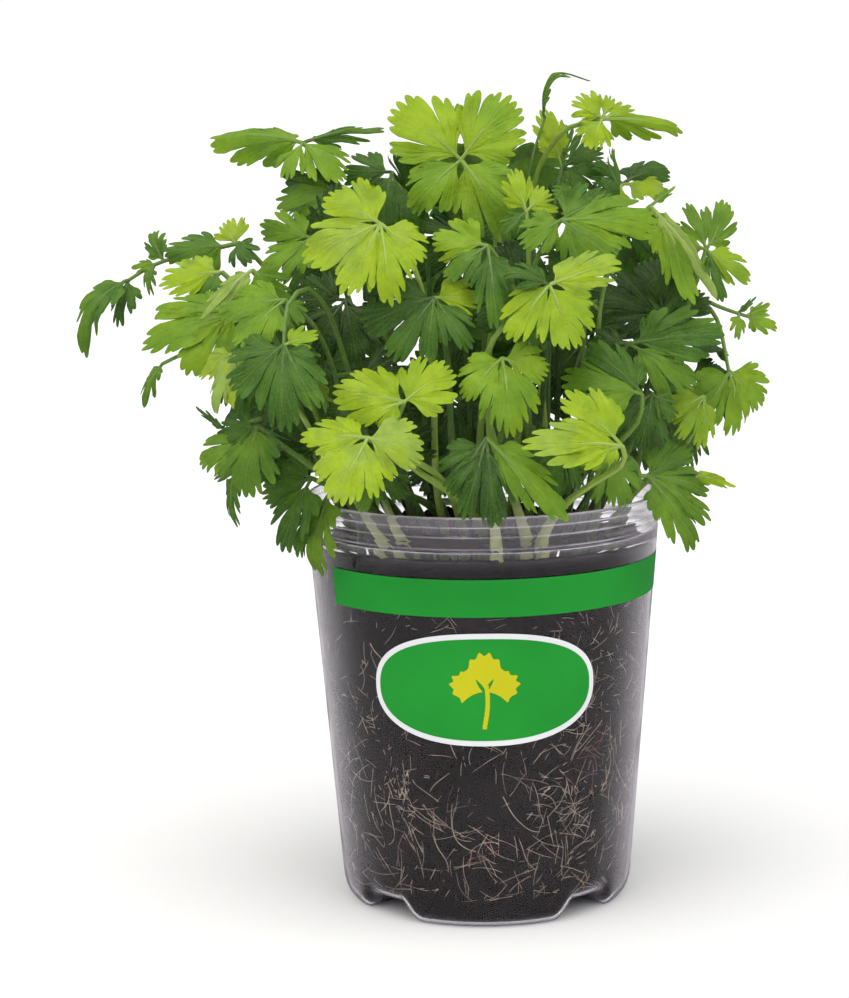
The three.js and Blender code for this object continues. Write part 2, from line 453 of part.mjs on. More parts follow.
      [[2.1,-43.1,173.8],[-8.1,-46.5,166.5],[-0.0,-0.91,0.42],10.8,0.10,0.16,0.14,38,37],
      [[2.1,-43.1,173.8],[4.3,-52.0,154.7],[0.0,-0.91,0.42],10.8,0.10,0.16,0.16,80,51],
      [[2.1,-43.1,173.8],[-11.4,-42.3,175.4],[-0.0,-0.91,0.42],12.9,0.10,0.16,0.16,33,80],
    ],
  },
  leaf_center_right: {
    stalk: [[11.2,-27.4,97.5], [8.2,-31.8,109.4], [4.3,-36.1,121.2], [1.0,-40.4,133.1], [0.8,-44.5,145.4], [7.0,-47.8,156.2], [16.7,-50.0,164.7]],
    arms: [],
    leaflets: [
      [[16.7,-50.0,164.7],[6.6,-56.7,152.2],[0.08,-0.9,0.42],12.8,0.10,0.16,0.07,43,56],
      [[16.7,-50.0,164.7],[22.3,-56.3,150.1],[0.08,-0.9,0.42],16.9,0.10,0.16,0.11,59,36],
      [[16.7,-50.0,164.7],[34.4,-46.1,169.7],[0.08,-0.9,0.42],11.3,0.10,0.16,0.08,80,56],
      [[16.7,-50.0,164.7],[6.6,-52.2,168.1],[0.12,-0.8,0.59],7.7,0.10,0.16,0.10,42,71],
    ],
  },
  leaf_center_bright: {
    stalk: [[3.3,-34.6,96.4], [3.0,-36.3,105.2], [2.5,-39.1,113.8], [1.9,-42.4,122.2], [1.9,-46.0,130.4], [2.7,-49.1,138.8], [5.2,-50.8,147.3]],
    arms: [],
    leaflets: [
      [[5.2,-50.8,147.3],[-4.1,-54.1,138.1],[0.0,-0.94,0.34],12.3,0.10,0.16,0.10,36,80],
      [[5.2,-50.8,147.3],[7.3,-57.4,129.7],[0.03,-0.94,0.34],16.4,0.10,0.16,0.10,45,37],
      [[5.2,-50.8,147.3],[16.2,-52.2,143.4],[-0.0,-0.94,0.34],12.3,0.11,0.16,0.12,80,32],
    ],
  },
  leaf_right_yellow: {
    stalk: [[14.6,-29.3,96.9], [16.5,-32.9,103.5], [20.0,-37.4,109.0], [24.2,-42.3,113.3], [28.9,-47.5,117.0], [33.2,-52.9,120.7], [33.6,-57.3,126.4]],
    arms: [],
    leaflets: [
      [[33.6,-57.3,126.4],[23.4,-60.6,123.2],[0.16,-0.89,0.42],6.6,0.10,0.16,0.16,80,46],
      [[33.6,-57.3,126.4],[19.9,-53.7,139.0],[0.13,-0.91,0.4],13.8,0.10,0.16,0.21,39,80],
      [[33.6,-57.3,126.4],[9.6,-61.1,127.3],[0.16,-0.89,0.42],13.2,0.10,0.16,0.06,52,52],
    ],
  },
  leaf_over_rim_right: {
    stalk: [[27.8,-15.5,97.1], [28.7,-17.4,102.8], [29.2,-19.9,108.5], [30.1,-22.7,113.9], [31.9,-26.1,118.7], [36.8,-29.0,119.9], [39.6,-28.1,114.7]],
    arms: [[[39.6,-28.1,114.7], [45.3,-25.5,114.5], [53.1,-22.0,114.2]]],
    leaflets: [
      [[41.3,-27.3,114.7],[53.8,-28.2,95.8],[0.4,-0.86,0.31],11.2,0.10,0.16,0.13,53,80],
      [[41.4,-27.3,114.7],[58.0,-24.0,102.1],[0.4,-0.86,0.31],10.7,0.10,0.16,0.10,53,53],
      [[42.1,-26.9,114.7],[58.5,-21.0,109.9],[0.4,-0.86,0.31],9.1,0.10,0.16,0.06,54,54],
      [[53.1,-22.0,114.2],[64.6,-18.1,110.1],[0.4,-0.86,0.31],3.2,0.10,0.16,0.06,80,80],
      [[41.3,-27.3,114.7],[53.3,-19.8,120.0],[0.4,-0.86,0.31],11.7,0.10,0.16,0.06,80,42],
    ],
  },
  leaf_front_dark: {
    stalk: [[7.3,-23.9,98.3], [6.5,-28.1,104.2], [5.7,-33.5,109.0], [4.8,-39.4,113.2], [3.8,-45.3,117.4], [2.6,-50.6,122.1], [1.1,-54.0,128.4]],
    arms: [],
    leaflets: [
      [[1.1,-54.0,128.4],[-7.3,-56.7,115.7],[-0.0,-0.98,0.21],12.3,0.10,0.16,0.20,37,80],
      [[1.1,-54.0,128.4],[-4.0,-57.8,110.3],[0.0,-0.98,0.21],9.2,0.10,0.16,0.23,50,50],
      [[1.1,-54.0,128.4],[3.0,-58.2,108.5],[-0.0,-0.98,0.21],11.2,0.10,0.16,0.22,46,46],
      [[1.1,-54.0,128.4],[20.0,-58.2,108.8],[-0.0,-0.98,0.21],10.7,0.10,0.16,0.14,80,58],
    ],
  },
  leaf_front_striped: {
    stalk: [[6.0,-19.5,99.0], [7.7,-23.3,104.7], [9.7,-28.1,109.3], [11.8,-33.5,113.3], [14.2,-38.8,117.2], [16.8,-43.4,121.7], [19.6,-46.0,127.5]],
    arms: [],
    leaflets: [
      [[19.6,-46.0,127.5],[15.5,-49.4,113.1],[0.09,-0.97,0.21],11.9,0.10,0.16,0.10,41,80],
      [[19.6,-46.0,127.5],[23.8,-48.4,114.5],[0.09,-0.97,0.21],7.2,0.10,0.16,0.15,80,50],
    ],
  },
  leaf_right_fan: {
    stalk: [[14.9,-15.3,98.9], [17.2,-18.2,103.7], [20.2,-22.2,107.1], [23.5,-26.5,109.8], [26.9,-30.9,112.4], [30.1,-34.7,115.8], [32.2,-36.3,121.1]],
    arms: [[[30.1,-34.7,115.8], [26.7,-34.7,118.3]]],
    leaflets: [
      [[32.2,-36.3,121.1],[26.8,-39.8,110.2],[0.34,-0.94,0.05],6.3,0.10,0.16,0.13,52,80],
      [[32.2,-36.3,121.1],[34.6,-37.7,108.7],[0.17,-0.98,0.14],13.1,0.10,0.16,0.14,80,32],
      [[26.7,-34.7,118.3],[12.4,-30.8,122.7],[-0.03,-0.96,0.29],17.7,0.15,0.28,0.12,71,74],
    ],
  },
  leaf_right_pale: {
    stalk: [[14.6,-19.8,98.4], [16.5,-23.1,106.2], [20.7,-27.1,112.7], [26.2,-31.2,118.0], [32.3,-35.2,122.9], [37.9,-38.5,128.6], [39.5,-39.1,136.7]],
    arms: [],
    leaflets: [
      [[39.5,-39.1,136.7],[26.5,-35.8,148.9],[0.08,-0.94,0.34],12.5,0.10,0.16,0.12,43,80],
      [[39.5,-39.1,136.7],[19.7,-39.1,141.5],[0.08,-0.94,0.34],13.1,0.10,0.16,0.12,80,45],
    ],
  },
  leaf_right_dark: {
    stalk: [[26.2,-8.8,97.9], [29.9,-10.1,107.1], [33.9,-11.9,116.0], [38.0,-13.9,124.9], [41.9,-15.4,134.0], [45.1,-15.8,143.4], [46.6,-14.0,153.1]],
    arms: [],
    leaflets: [
      [[46.6,-14.0,153.1],[58.1,-10.5,157.2],[0.16,-0.93,0.34],11.9,0.10,0.16,0.11,44,80],
      [[46.6,-14.0,153.1],[42.9,-9.5,167.0],[0.16,-0.93,0.34],14.1,0.10,0.16,0.18,33,49],
      [[46.6,-14.0,153.1],[28.4,-14.7,160.0],[0.16,-0.93,0.34],15.7,0.10,0.16,0.12,80,40],
    ],
  },
  leaf_right_mid: {
    stalk: [[19.9,-11.0,98.7], [22.1,-13.8,107.2], [23.8,-17.1,115.7], [25.5,-20.7,124.0], [27.7,-24.0,132.4], [31.1,-26.2,140.6], [36.8,-26.0,147.8]],
    arms: [],
    leaflets: [
      [[36.8,-26.0,147.8],[53.7,-27.0,137.1],[0.16,-0.93,0.34],14.9,0.10,0.16,0.21,38,80],
      [[36.8,-26.0,147.8],[60.7,-21.2,149.5],[0.16,-0.93,0.34],15.4,0.10,0.16,0.14,80,45],
      [[36.8,-26.0,147.8],[27.3,-27.6,148.1],[0.16,-0.93,0.34],8.0,0.10,0.16,0.24,57,66],
    ],
  },
  leaf_right_low_dark: {
    stalk: [[20.5,-20.8,97.6], [23.5,-23.4,104.2], [27.2,-26.2,110.3], [31.4,-28.8,116.2], [35.6,-31.0,122.3], [39.6,-32.2,128.7], [42.4,-31.7,135.8]],
    arms: [],
    leaflets: [
      [[42.4,-31.7,135.8],[30.8,-35.6,129.0],[0.17,-0.95,0.26],12.1,-0.01,0.16,0.15,36,80],
      [[42.4,-31.7,135.8],[39.7,-35.7,122.9],[0.17,-0.95,0.26],12.7,0.02,0.16,0.19,40,33],
      [[42.4,-31.7,135.8],[47.8,-32.4,129.8],[0.17,-0.95,0.26],6.9,0.11,0.16,0.17,80,36],
    ],
  },
  leaf_right_light: {
    stalk: [[31.4,-9.6,96.8], [35.3,-10.8,103.4], [40.2,-12.2,109.1], [45.5,-13.6,114.4], [50.7,-15.2,119.8], [54.7,-16.7,126.2], [56.4,-17.9,133.5]],
    arms: [],
    leaflets: [
      [[56.4,-17.9,133.5],[46.0,-22.5,128.6],[0.24,-0.91,0.34],9.7,0.10,0.16,0.13,39,80],
      [[56.4,-17.9,133.5],[48.9,-23.8,123.1],[0.24,-0.91,0.34],7.0,0.10,0.16,0.22,49,49],
      [[56.4,-17.9,133.5],[54.8,-23.1,120.7],[0.24,-0.91,0.34],8.1,0.10,0.16,0.17,80,46],
    ],
  },
  leaf_far_right: {
    stalk: [[35.1,-4.5,96.3], [38.6,-4.5,106.7], [41.3,-5.2,117.4], [43.8,-6.1,128.1], [46.7,-6.6,138.7], [50.7,-5.6,148.9], [56.8,-1.5,157.0]],
    arms: [[[56.8,-1.5,157.0], [61.4,-1.6,150.7], [63.9,-5.0,138.1]], [[56.8,-1.5,157.0], [62.6,0.2,154.2], [69.0,2.3,151.8]], [[46.7,-6.6,138.7], [53.1,-1.3,137.4]], [[50.7,-5.6,148.9], [52.1,-1.8,145.5]]],
    leaflets: [
      [[63.9,-5.0,138.1],[53.2,-14.5,125.4],[0.4,-0.86,0.31],13.7,0.10,0.16,0.09,43,80],
      [[63.9,-5.0,138.1],[65.3,-9.9,122.6],[0.4,-0.86,0.31],10.4,0.10,0.16,0.10,46,46],
      [[53.1,-1.3,137.4],[67.5,4.0,129.3],[0.76,-0.47,0.45],16.9,0.14,0.18,0.12,78,76],
      [[63.9,-4.9,138.5],[72.0,-4.6,128.6],[0.4,-0.86,0.31],13.2,0.10,0.16,0.08,80,33],
      [[52.1,-1.8,145.5],[57.2,17.2,145.0],[0.25,-0.55,0.8],20.6,0.07,0.11,0.12,69,71],
      [[67.0,1.7,152.5],[66.1,-1.2,146.0],[0.4,-0.86,0.31],5.0,0.10,0.16,0.17,50,80],
      [[69.0,2.3,151.8],[77.6,5.1,148.3],[0.4,-0.86,0.31],6.7,0.10,0.16,0.06,45,64],
      [[69.0,2.3,151.8],[76.2,6.7,154.7],[0.4,-0.86,0.31],3.3,0.10,0.16,0.10,61,61],
      [[66.8,1.6,152.6],[71.6,5.2,156.5],[0.4,-0.86,0.31],1.7,0.10,0.16,0.06,80,71],
    ],
  },
  leaf_right_upper: {
    stalk: [[27.8,-3.7,97.8], [33.7,-6.6,109.4], [39.1,-10.0,121.1], [44.1,-13.4,133.0], [48.8,-16.1,145.2], [53.2,-17.2,157.7], [57.2,-15.2,170.2]],
    arms: [],
    leaflets: [
      [[57.2,-15.2,170.2],[61.0,-17.2,158.2],[0.33,-0.91,0.26],7.0,0.10,0.16,0.16,48,70],
      [[57.2,-15.2,170.2],[68.2,-13.6,161.6],[0.33,-0.91,0.26],8.6,0.10,0.16,0.08,62,48],
      [[57.2,-15.2,170.2],[63.5,-9.5,182.1],[0.33,-0.91,0.26],10.8,0.10,0.16,0.13,41,65],
      [[57.2,-15.2,170.2],[52.5,-13.5,182.0],[0.33,-0.91,0.26],8.1,0.10,0.16,0.12,46,46],
      [[57.2,-15.2,170.2],[46.4,-18.0,174.1],[0.33,-0.91,0.26],9.2,0.10,0.16,0.18,75,38],
    ],
  },
  leaf_right_upper_pale: {
    stalk: [[24.7,-13.7,97.8], [27.8,-16.1,112.0], [28.9,-18.8,126.6], [29.2,-21.4,141.2], [30.2,-23.3,155.8], [34.1,-23.8,170.0], [42.7,-22.0,181.8]],
    arms: [[[30.2,-23.3,155.8], [25.5,-25.2,160.2]], [[34.1,-23.8,170.0], [31.6,-23.4,178.2]]],
    leaflets: [
      [[25.5,-25.2,160.2],[19.0,-33.2,172.5],[0.34,-0.87,0.37],19.0,0.10,0.21,0.12,71,68],
      [[42.7,-22.0,181.8],[53.5,-23.5,157.8],[0.33,-0.92,0.21],10.7,0.10,0.16,0.18,56,80],
      [[42.7,-22.0,181.8],[59.2,-21.1,159.1],[0.33,-0.92,0.21],5.9,0.10,0.30,0.09,80,73],
      [[42.7,-22.0,181.8],[48.9,-18.7,186.3],[0.33,-0.92,0.21],2.4,0.10,0.16,0.30,80,63],
      [[31.6,-23.4,178.2],[35.5,-14.6,195.2],[0.96,-0.19,-0.19],18.1,0.12,0.16,0.12,78,76],
    ],
  },
  leaf_upper_right_round: {
    stalk: [[22.0,3.5,98.8], [24.9,3.5,113.6], [26.1,2.6,128.7], [26.7,1.4,143.7], [27.5,0.7,158.8], [30.3,1.6,173.6], [37.2,6.0,186.2]],
    arms: [[[30.3,1.6,173.6], [28.6,1.1,175.4]]],
    leaflets: [
      [[28.6,1.1,175.4],[19.6,-3.3,186.0],[0.48,-0.38,0.79],18.7,0.10,0.16,0.12,78,74],
      [[37.2,6.0,186.2],[34.3,-0.1,178.8],[0.21,-0.79,0.57],7.2,0.10,0.16,0.26,50,54],
      [[37.2,6.0,186.2],[48.7,7.4,183.9],[0.21,-0.79,0.57],11.1,0.10,0.16,0.21,32,65],
      [[37.2,6.0,186.2],[49.8,12.6,190.7],[0.21,-0.79,0.57],15.5,0.10,0.70,0.15,69,32],
      [[37.2,6.0,186.2],[30.3,7.9,191.4],[0.21,-0.79,0.57],10.5,0.10,0.50,0.17,64,44],
    ],
  },
  leaf_top_right: {
    stalk: [[15.2,-6.1,99.5], [16.3,-2.0,118.7], [15.1,2.6,137.7], [13.3,6.8,156.8], [12.8,9.3,176.2], [17.7,6.7,194.7], [31.8,-2.2,203.1]],
    arms: [],
    leaflets: [
      [[31.8,-2.2,203.1],[28.2,-6.4,195.7],[0.16,-0.89,0.42],10.4,0.10,0.16,0.14,55,56],
      [[31.8,-2.2,203.1],[52.6,0.1,200.2],[0.16,-0.89,0.42],10.4,0.10,0.80,0.09,54,74],
      [[31.8,-2.2,203.1],[40.6,0.5,205.7],[0.16,-0.89,0.42],6.6,0.10,0.16,0.19,41,41],
      [[31.8,-2.2,203.1],[34.5,1.1,209.1],[0.16,-0.89,0.42],6.6,0.10,0.16,0.21,33,33],
      [[31.8,-2.2,203.1],[25.0,-0.6,209.0],[0.16,-0.89,0.42],9.9,0.10,0.16,0.12,55,45],
    ],
  },
  leaf_top_sprig: {
    stalk: [[7.2,7.9,100.0], [9.5,8.2,117.3], [10.3,7.6,134.8], [10.4,6.8,152.2], [10.7,6.4,169.7], [12.6,7.2,187.0], [17.5,10.5,203.4]],
    arms: [],
    leaflets: [
      [[17.5,10.5,203.4],[29.0,10.5,213.2],[-0.63,-0.25,0.74],4.5,0.46,0.16,0.06,80,80],
    ],
  },
  leaf_upper_right_inner: {
    stalk: [[16.0,1.2,99.6], [17.1,2.9,114.8], [17.6,3.4,130.1], [17.7,3.4,145.5], [18.0,3.7,160.9], [19.1,5.5,176.1], [21.8,10.3,190.4]],
    arms: [[[19.1,5.5,176.1], [16.6,2.6,178.7]], [[17.7,3.4,145.5], [13.7,0.6,145.7]], [[18.0,3.7,160.9], [18.5,-0.2,161.6]]],
    leaflets: [
      [[16.6,2.6,178.7],[8.9,-7.9,180.3],[0.38,-0.73,0.57],16.8,0.10,0.16,0.12,68,80],
      [[18.5,-0.2,161.6],[10.7,-9.1,170.9],[0.29,-0.49,0.82],16.5,0.08,0.19,0.12,73,76],
      [[13.7,0.6,145.7],[5.9,-9.7,152.4],[0.37,-0.63,0.69],20.7,0.08,0.12,0.12,71,73],
      [[21.8,10.3,190.4],[31.2,10.3,188.2],[0.08,-0.94,0.34],7.8,0.10,0.16,0.20,36,80],
      [[21.8,10.3,190.4],[30.3,12.7,194.9],[0.08,-0.94,0.34],10.6,0.10,0.16,0.16,34,32],
      [[21.8,10.3,190.4],[21.5,13.6,199.6],[0.08,-0.94,0.34],9.5,0.10,0.16,0.23,32,32],
      [[21.8,10.3,190.4],[17.4,14.8,203.8],[0.08,-0.94,0.34],7.8,0.10,0.16,0.19,80,49],
    ],
  },
  leaf_upper_center_yellow: {
    stalk: [[6.9,-12.6,99.7], [8.2,-17.1,113.1], [9.6,-21.8,126.3], [10.9,-26.3,139.6], [12.0,-29.9,153.2], [12.4,-31.6,167.2], [11.7,-30.0,181.2]],
    arms: [],
    leaflets: [
      [[11.7,-30.0,181.2],[5.2,-33.0,175.1],[0.08,-0.92,0.37],6.3,0.10,0.16,0.12,74,64],
      [[11.7,-30.0,181.2],[17.4,-27.4,186.4],[0.08,-0.92,0.37],12.1,0.10,0.16,0.23,32,80],
      [[11.7,-30.0,181.2],[8.4,-26.2,191.4],[0.08,-0.92,0.37],8.9,0.10,0.16,0.14,76,39],
    ],
  },
  leaf_right_inner_dark: {
    stalk: [[18.1,13.4,98.7], [19.3,13.0,111.8], [19.9,12.0,124.8], [20.2,10.7,137.9], [20.7,10.0,150.9], [22.1,10.7,163.9], [25.2,14.0,176.1]],
    arms: [],
    leaflets: [
      [[25.2,14.0,176.1],[37.5,13.5,171.8],[0.08,-0.94,0.34],9.5,0.10,0.16,0.16,40,80],
      [[25.2,14.0,176.1],[33.6,17.1,182.7],[0.08,-0.94,0.34],12.3,0.10,0.16,0.17,43,34],
      [[25.2,14.0,176.1],[19.9,16.6,184.5],[0.08,-0.94,0.34],11.2,0.10,0.16,0.18,80,39],
    ],
  },
  leaf_right_center_mid: {
    stalk: [[10.9,-19.6,98.7], [12.0,-23.6,112.3], [11.8,-27.4,125.9], [11.0,-30.9,139.6], [10.9,-33.9,153.5], [13.1,-35.9,167.3], [20.1,-36.0,179.4]],
    arms: [],
    leaflets: [
      [[20.1,-36.0,179.4],[10.2,-42.5,174.2],[0.16,-0.95,0.27],10.4,0.10,0.16,0.12,54,80],
      [[20.1,-36.0,179.4],[32.8,-38.8,169.7],[0.08,-0.92,0.37],14.6,0.10,0.16,0.13,36,68],
      [[20.1,-36.0,179.4],[44.3,-34.3,178.5],[0.08,-0.92,0.37],15.1,0.10,0.16,0.06,48,48],
      [[20.1,-36.0,179.4],[32.7,-32.5,185.4],[0.08,-0.92,0.37],13.6,0.10,0.16,0.09,80,36],
    ],
  },
  leaf_center_inner_dark: {
    stalk: [[12.0,-10.9,99.5], [12.4,-13.3,109.8], [13.8,-16.0,120.0], [15.3,-18.7,130.1], [16.3,-21.1,140.3], [15.5,-22.7,150.7], [10.6,-22.3,159.9]],
    arms: [[[13.8,-16.0,120.0], [11.5,-12.4,122.3]], [[15.5,-22.7,150.7], [14.8,-28.6,152.3]]],
    leaflets: [
      [[10.6,-22.3,159.9],[1.5,-24.3,153.6],[0.0,-0.95,0.31],9.6,0.10,0.16,0.19,46,59],
      [[11.5,-12.4,122.3],[3.5,6.2,122.2],[0.91,0.4,0.09],17.8,0.13,0.10,0.12,74,73],
      [[10.6,-22.3,159.9],[14.4,-25.0,151.5],[-0.0,-0.95,0.31],9.6,0.10,0.16,0.15,80,43],
      [[14.8,-28.6,152.3],[22.6,-42.7,156.4],[-0.12,-0.53,0.84],19.6,0.13,0.27,0.12,79,70],
      [[10.6,-22.3,159.9],[7.2,-18.6,171.2],[-0.0,-0.95,0.31],10.7,0.10,0.16,0.12,66,80],
    ],
  },
  leaf_left_inner_dark: {
    stalk: [[-9.4,-3.1,100.1], [-13.1,-6.8,110.2], [-15.9,-10.9,120.5], [-18.4,-15.0,130.9], [-21.4,-18.7,141.2], [-26.1,-21.5,151.2], [-33.8,-22.0,159.5]],
    arms: [],
    leaflets: [
      [[-33.8,-22.0,159.5],[-41.2,-24.4,148.2],[-0.08,-0.96,0.26],13.9,0.10,0.16,0.12,33,38],
      [[-33.8,-22.0,159.5],[-31.2,-25.8,146.2],[-0.08,-0.96,0.26],11.7,0.10,0.16,0.13,80,37],
      [[-33.8,-22.0,159.5],[-43.7,-21.1,159.5],[-0.08,-0.96,0.26],10.7,0.10,0.16,0.19,32,80],
    ],
  },
  leaf_left_inner_low: {
    stalk: [[-14.0,-15.0,99.0], [-16.8,-15.3,105.5], [-20.0,-15.8,111.8], [-23.7,-16.3,117.9], [-27.9,-16.3,123.6], [-32.6,-15.2,128.8], [-37.7,-12.0,132.5]],
    arms: [[[-23.7,-16.3,117.9], [-23.9,-21.9,120.7]]],
    leaflets: [
      [[-37.7,-12.0,132.5],[-45.3,-10.7,127.6],[-0.09,-0.96,0.26],9.2,0.08,0.16,0.21,44,38],
      [[-37.7,-12.0,132.5],[-33.1,-14.1,123.9],[-0.04,-0.96,0.28],9.8,0.09,0.16,0.12,80,51],
      [[-23.9,-21.9,120.7],[-23.0,-32.4,133.7],[-0.45,-0.88,0.16],20.8,0.07,0.18,0.12,70,69],
      [[-37.7,-12.0,132.5],[-46.4,-10.2,136.6],[-0.08,-0.96,0.26],4.9,0.10,0.16,0.19,50,80],
    ],
  },
  leaf_inner_center: {
    stalk: [[-5.8,8.0,100.1], [-6.3,7.4,105.3], [-6.8,8.0,110.6], [-7.2,9.7,115.7], [-7.5,12.1,120.4], [-7.7,15.3,124.6], [-7.8,19.1,128.4]],
    arms: [[[-7.2,9.7,115.7], [-8.9,7.8,116.7]]],
    leaflets: [
      [[-7.8,19.1,128.4],[-21.3,16.8,119.7],[-0.0,-0.97,0.26],17.6,0.10,0.16,0.10,34,65],
      [[-7.8,19.1,128.4],[-6.9,14.9,109.4],[0.03,-0.97,0.26],15.9,0.10,0.16,0.08,40,40],
      [[-8.9,7.8,116.7],[-4.1,-4.3,108.4],[0.07,-0.71,0.7],20.2,0.16,0.24,0.12,80,68],
      [[-7.8,19.1,128.4],[7.0,16.4,118.3],[0.0,-0.97,0.26],17.6,0.10,0.16,0.09,67,35],
      [[-7.8,19.1,128.4],[-7.6,23.2,143.5],[0.0,-0.97,0.26],17.6,0.12,0.16,0.06,65,65],
    ],
  },
  leaf_inner_upper: {
    stalk: [[-2.3,9.6,100.1], [-2.4,10.5,112.6], [-3.1,9.6,125.2], [-3.8,8.3,137.7], [-4.1,8.2,150.2], [-3.4,11.4,162.3], [-1.3,19.0,172.0]],
    arms: [],
    leaflets: [
      [[-1.3,19.0,172.0],[-16.2,16.9,166.0],[-0.0,-0.94,0.34],16.9,0.10,0.16,0.07,41,61],
      [[-1.3,19.0,172.0],[-0.5,13.6,157.1],[-0.0,-0.94,0.34],16.4,0.09,0.16,0.07,49,40],
      [[-1.3,19.0,172.0],[13.5,19.1,172.3],[0.0,-0.94,0.34],16.9,0.10,0.16,0.07,50,48],
      [[-1.3,19.0,172.0],[-2.2,23.9,185.5],[0.0,-0.94,0.34],15.8,0.10,0.16,0.08,56,48],
    ],
  },
  leaf_inner_left: {
    stalk: [[-18.4,7.9,99.1], [-22.3,8.0,106.1], [-27.1,7.9,112.5], [-32.4,7.8,118.6], [-37.4,7.8,124.8], [-41.4,8.3,131.8], [-41.8,9.8,139.5]],
    arms: [],
    leaflets: [
      [[-41.8,9.8,139.5],[-53.2,8.9,131.4],[-0.18,-0.94,0.28],16.2,0.10,0.16,0.09,39,69],
      [[-41.8,9.8,139.5],[-37.7,5.0,124.7],[-0.17,-0.95,0.26],14.6,0.10,0.16,0.07,38,42],
      [[-41.8,9.8,139.5],[-27.2,5.2,137.4],[-0.14,-0.92,0.37],16.2,0.10,0.16,0.07,55,38],
      [[-41.8,9.8,139.5],[-40.7,13.2,152.9],[-0.17,-0.95,0.26],15.1,0.10,0.16,0.08,66,51],
    ],
  },
  leaf_inner_right: {
    stalk: [[21.2,8.3,98.7], [21.9,9.0,106.7], [22.5,9.3,114.8], [23.0,9.4,122.9], [23.8,10.0,131.0], [25.3,12.0,138.7], [28.0,16.4,144.8]],
    arms: [],
    leaflets: [
      [[28.0,16.4,144.8],[17.4,14.3,133.0],[0.13,-0.96,0.26],16.4,0.10,0.16,0.08,33,76],
      [[28.0,16.4,144.8],[31.5,12.5,128.6],[0.13,-0.96,0.26],15.8,0.10,0.16,0.10,36,36],
      [[28.0,16.4,144.8],[41.2,16.4,137.7],[0.13,-0.96,0.26],16.4,0.10,0.16,0.07,63,32],
      [[28.0,16.4,144.8],[28.8,20.5,158.7],[-0.06,-0.96,0.27],15.2,0.11,0.16,0.07,72,60],
    ],
  },
  leaf_back_left_low: {
    stalk: [[-28.8,16.1,96.8], [-31.0,18.7,102.8], [-33.5,22.2,108.3], [-36.2,26.2,113.3], [-39.4,30.0,118.2], [-43.3,33.0,123.0], [-48.0,34.0,128.0]],
    arms: [],
    leaflets: [
      [[-48.0,34.0,128.0],[-39.9,51.4,119.5],[-0.66,0.56,0.5],26.4,0.12,0.20,0.08,32,80],
      [[-48.0,34.0,128.0],[-57.6,42.0,106.3],[-0.66,0.56,0.5],31.2,0.12,0.20,0.08,33,33],
      [[-48.0,34.0,128.0],[-63.7,23.0,119.5],[-0.66,0.56,0.5],26.4,0.12,0.20,0.08,51,32],
      [[-48.0,34.0,128.0],[-47.9,24.7,138.5],[-0.66,0.56,0.5],19.2,0.12,0.20,0.08,60,34],
    ],
  },
  leaf_back_low: {
    stalk: [[-5.4,25.7,98.1], [-5.8,29.6,103.4], [-6.8,34.5,107.7], [-7.9,40.0,111.3], [-8.6,45.7,114.5], [-8.3,51.4,117.9], [-6.0,56.0,122.0]],
    arms: [],
    leaflets: [
      [[-6.0,56.0,122.0],[13.6,61.2,113.5],[-0.03,0.88,0.47],28.8,0.12,0.20,0.08,32,48],
      [[-6.0,56.0,122.0],[-6.4,68.2,99.0],[-0.03,0.88,0.47],33.6,0.12,0.20,0.08,33,33],
      [[-6.0,56.0,122.0],[-25.9,59.8,113.5],[-0.03,0.88,0.47],28.8,0.12,0.20,0.08,80,32],
      [[-6.0,56.0,122.0],[1.7,50.2,133.5],[-0.03,0.88,0.47],21.6,0.12,0.20,0.08,33,59],
    ],
  },
  leaf_back_right_low: {
    stalk: [[21.9,18.8,97.6], [25.1,21.4,104.0], [29.1,24.1,109.8], [33.5,27.2,115.1], [37.9,30.6,120.1], [41.7,34.9,125.0], [44.0,40.0,130.0]],
    arms: [[[33.5,27.2,115.1], [36.2,20.4,118.2]], [[41.7,34.9,125.0], [36.8,36.0,126.5]], [[37.9,30.6,120.1], [38.2,34.1,119.9]]],
    leaflets: [
      [[44.0,40.0,130.0],[60.4,30.1,121.5],[0.62,0.6,0.5],26.4,0.12,0.20,0.08,32,80],
      [[44.0,40.0,130.0],[53.0,48.7,108.3],[0.62,0.6,0.5],31.2,0.12,0.20,0.08,33,33],
      [[38.2,34.1,119.9],[39.9,46.7,116.8],[0.55,0.5,0.67],19.5,0.11,0.20,0.12,69,80],
      [[44.0,40.0,130.0],[34.7,56.8,121.5],[0.62,0.6,0.5],26.4,0.12,0.20,0.08,56,32],
      [[36.8,36.0,126.5],[26.3,49.2,128.0],[0.23,0.15,0.96],19.6,0.12,0.25,0.12,80,71],
      [[44.0,40.0,130.0],[35.9,38.9,141.4],[0.62,0.6,0.5],19.2,0.12,0.20,0.08,56,38],
      [[36.2,20.4,118.2],[34.4,0.4,117.1],[0.49,-0.1,0.87],19.0,0.14,0.15,0.12,77,70],
    ],
  },
  leaf_back_left_high: {
    stalk: [[-17.3,19.3,98.2], [-21.6,20.9,111.0], [-24.0,21.8,124.4], [-25.1,22.3,138.0], [-25.9,23.0,151.6], [-28.0,25.1,164.9], [-34.0,30.0,176.0]],
    arms: [[[-25.1,22.3,138.0], [-29.4,26.9,139.2]], [[-25.9,23.0,151.6], [-25.6,21.1,153.3]]],
    leaflets: [
      [[-34.0,30.0,176.0],[-23.6,47.1,169.7],[-0.5,0.55,0.67],27.6,0.12,0.20,0.08,32,63],
      [[-29.4,26.9,139.2],[-25.7,29.2,153.3],[-0.7,0.54,0.47],17.0,0.14,0.27,0.12,66,78],
      [[-34.0,30.0,176.0],[-45.2,42.4,157.4],[-0.5,0.55,0.67],31.2,0.12,0.20,0.08,35,35],
      [[-34.0,30.0,176.0],[-52.1,21.4,169.7],[-0.5,0.55,0.67],27.6,0.12,0.20,0.08,63,32],
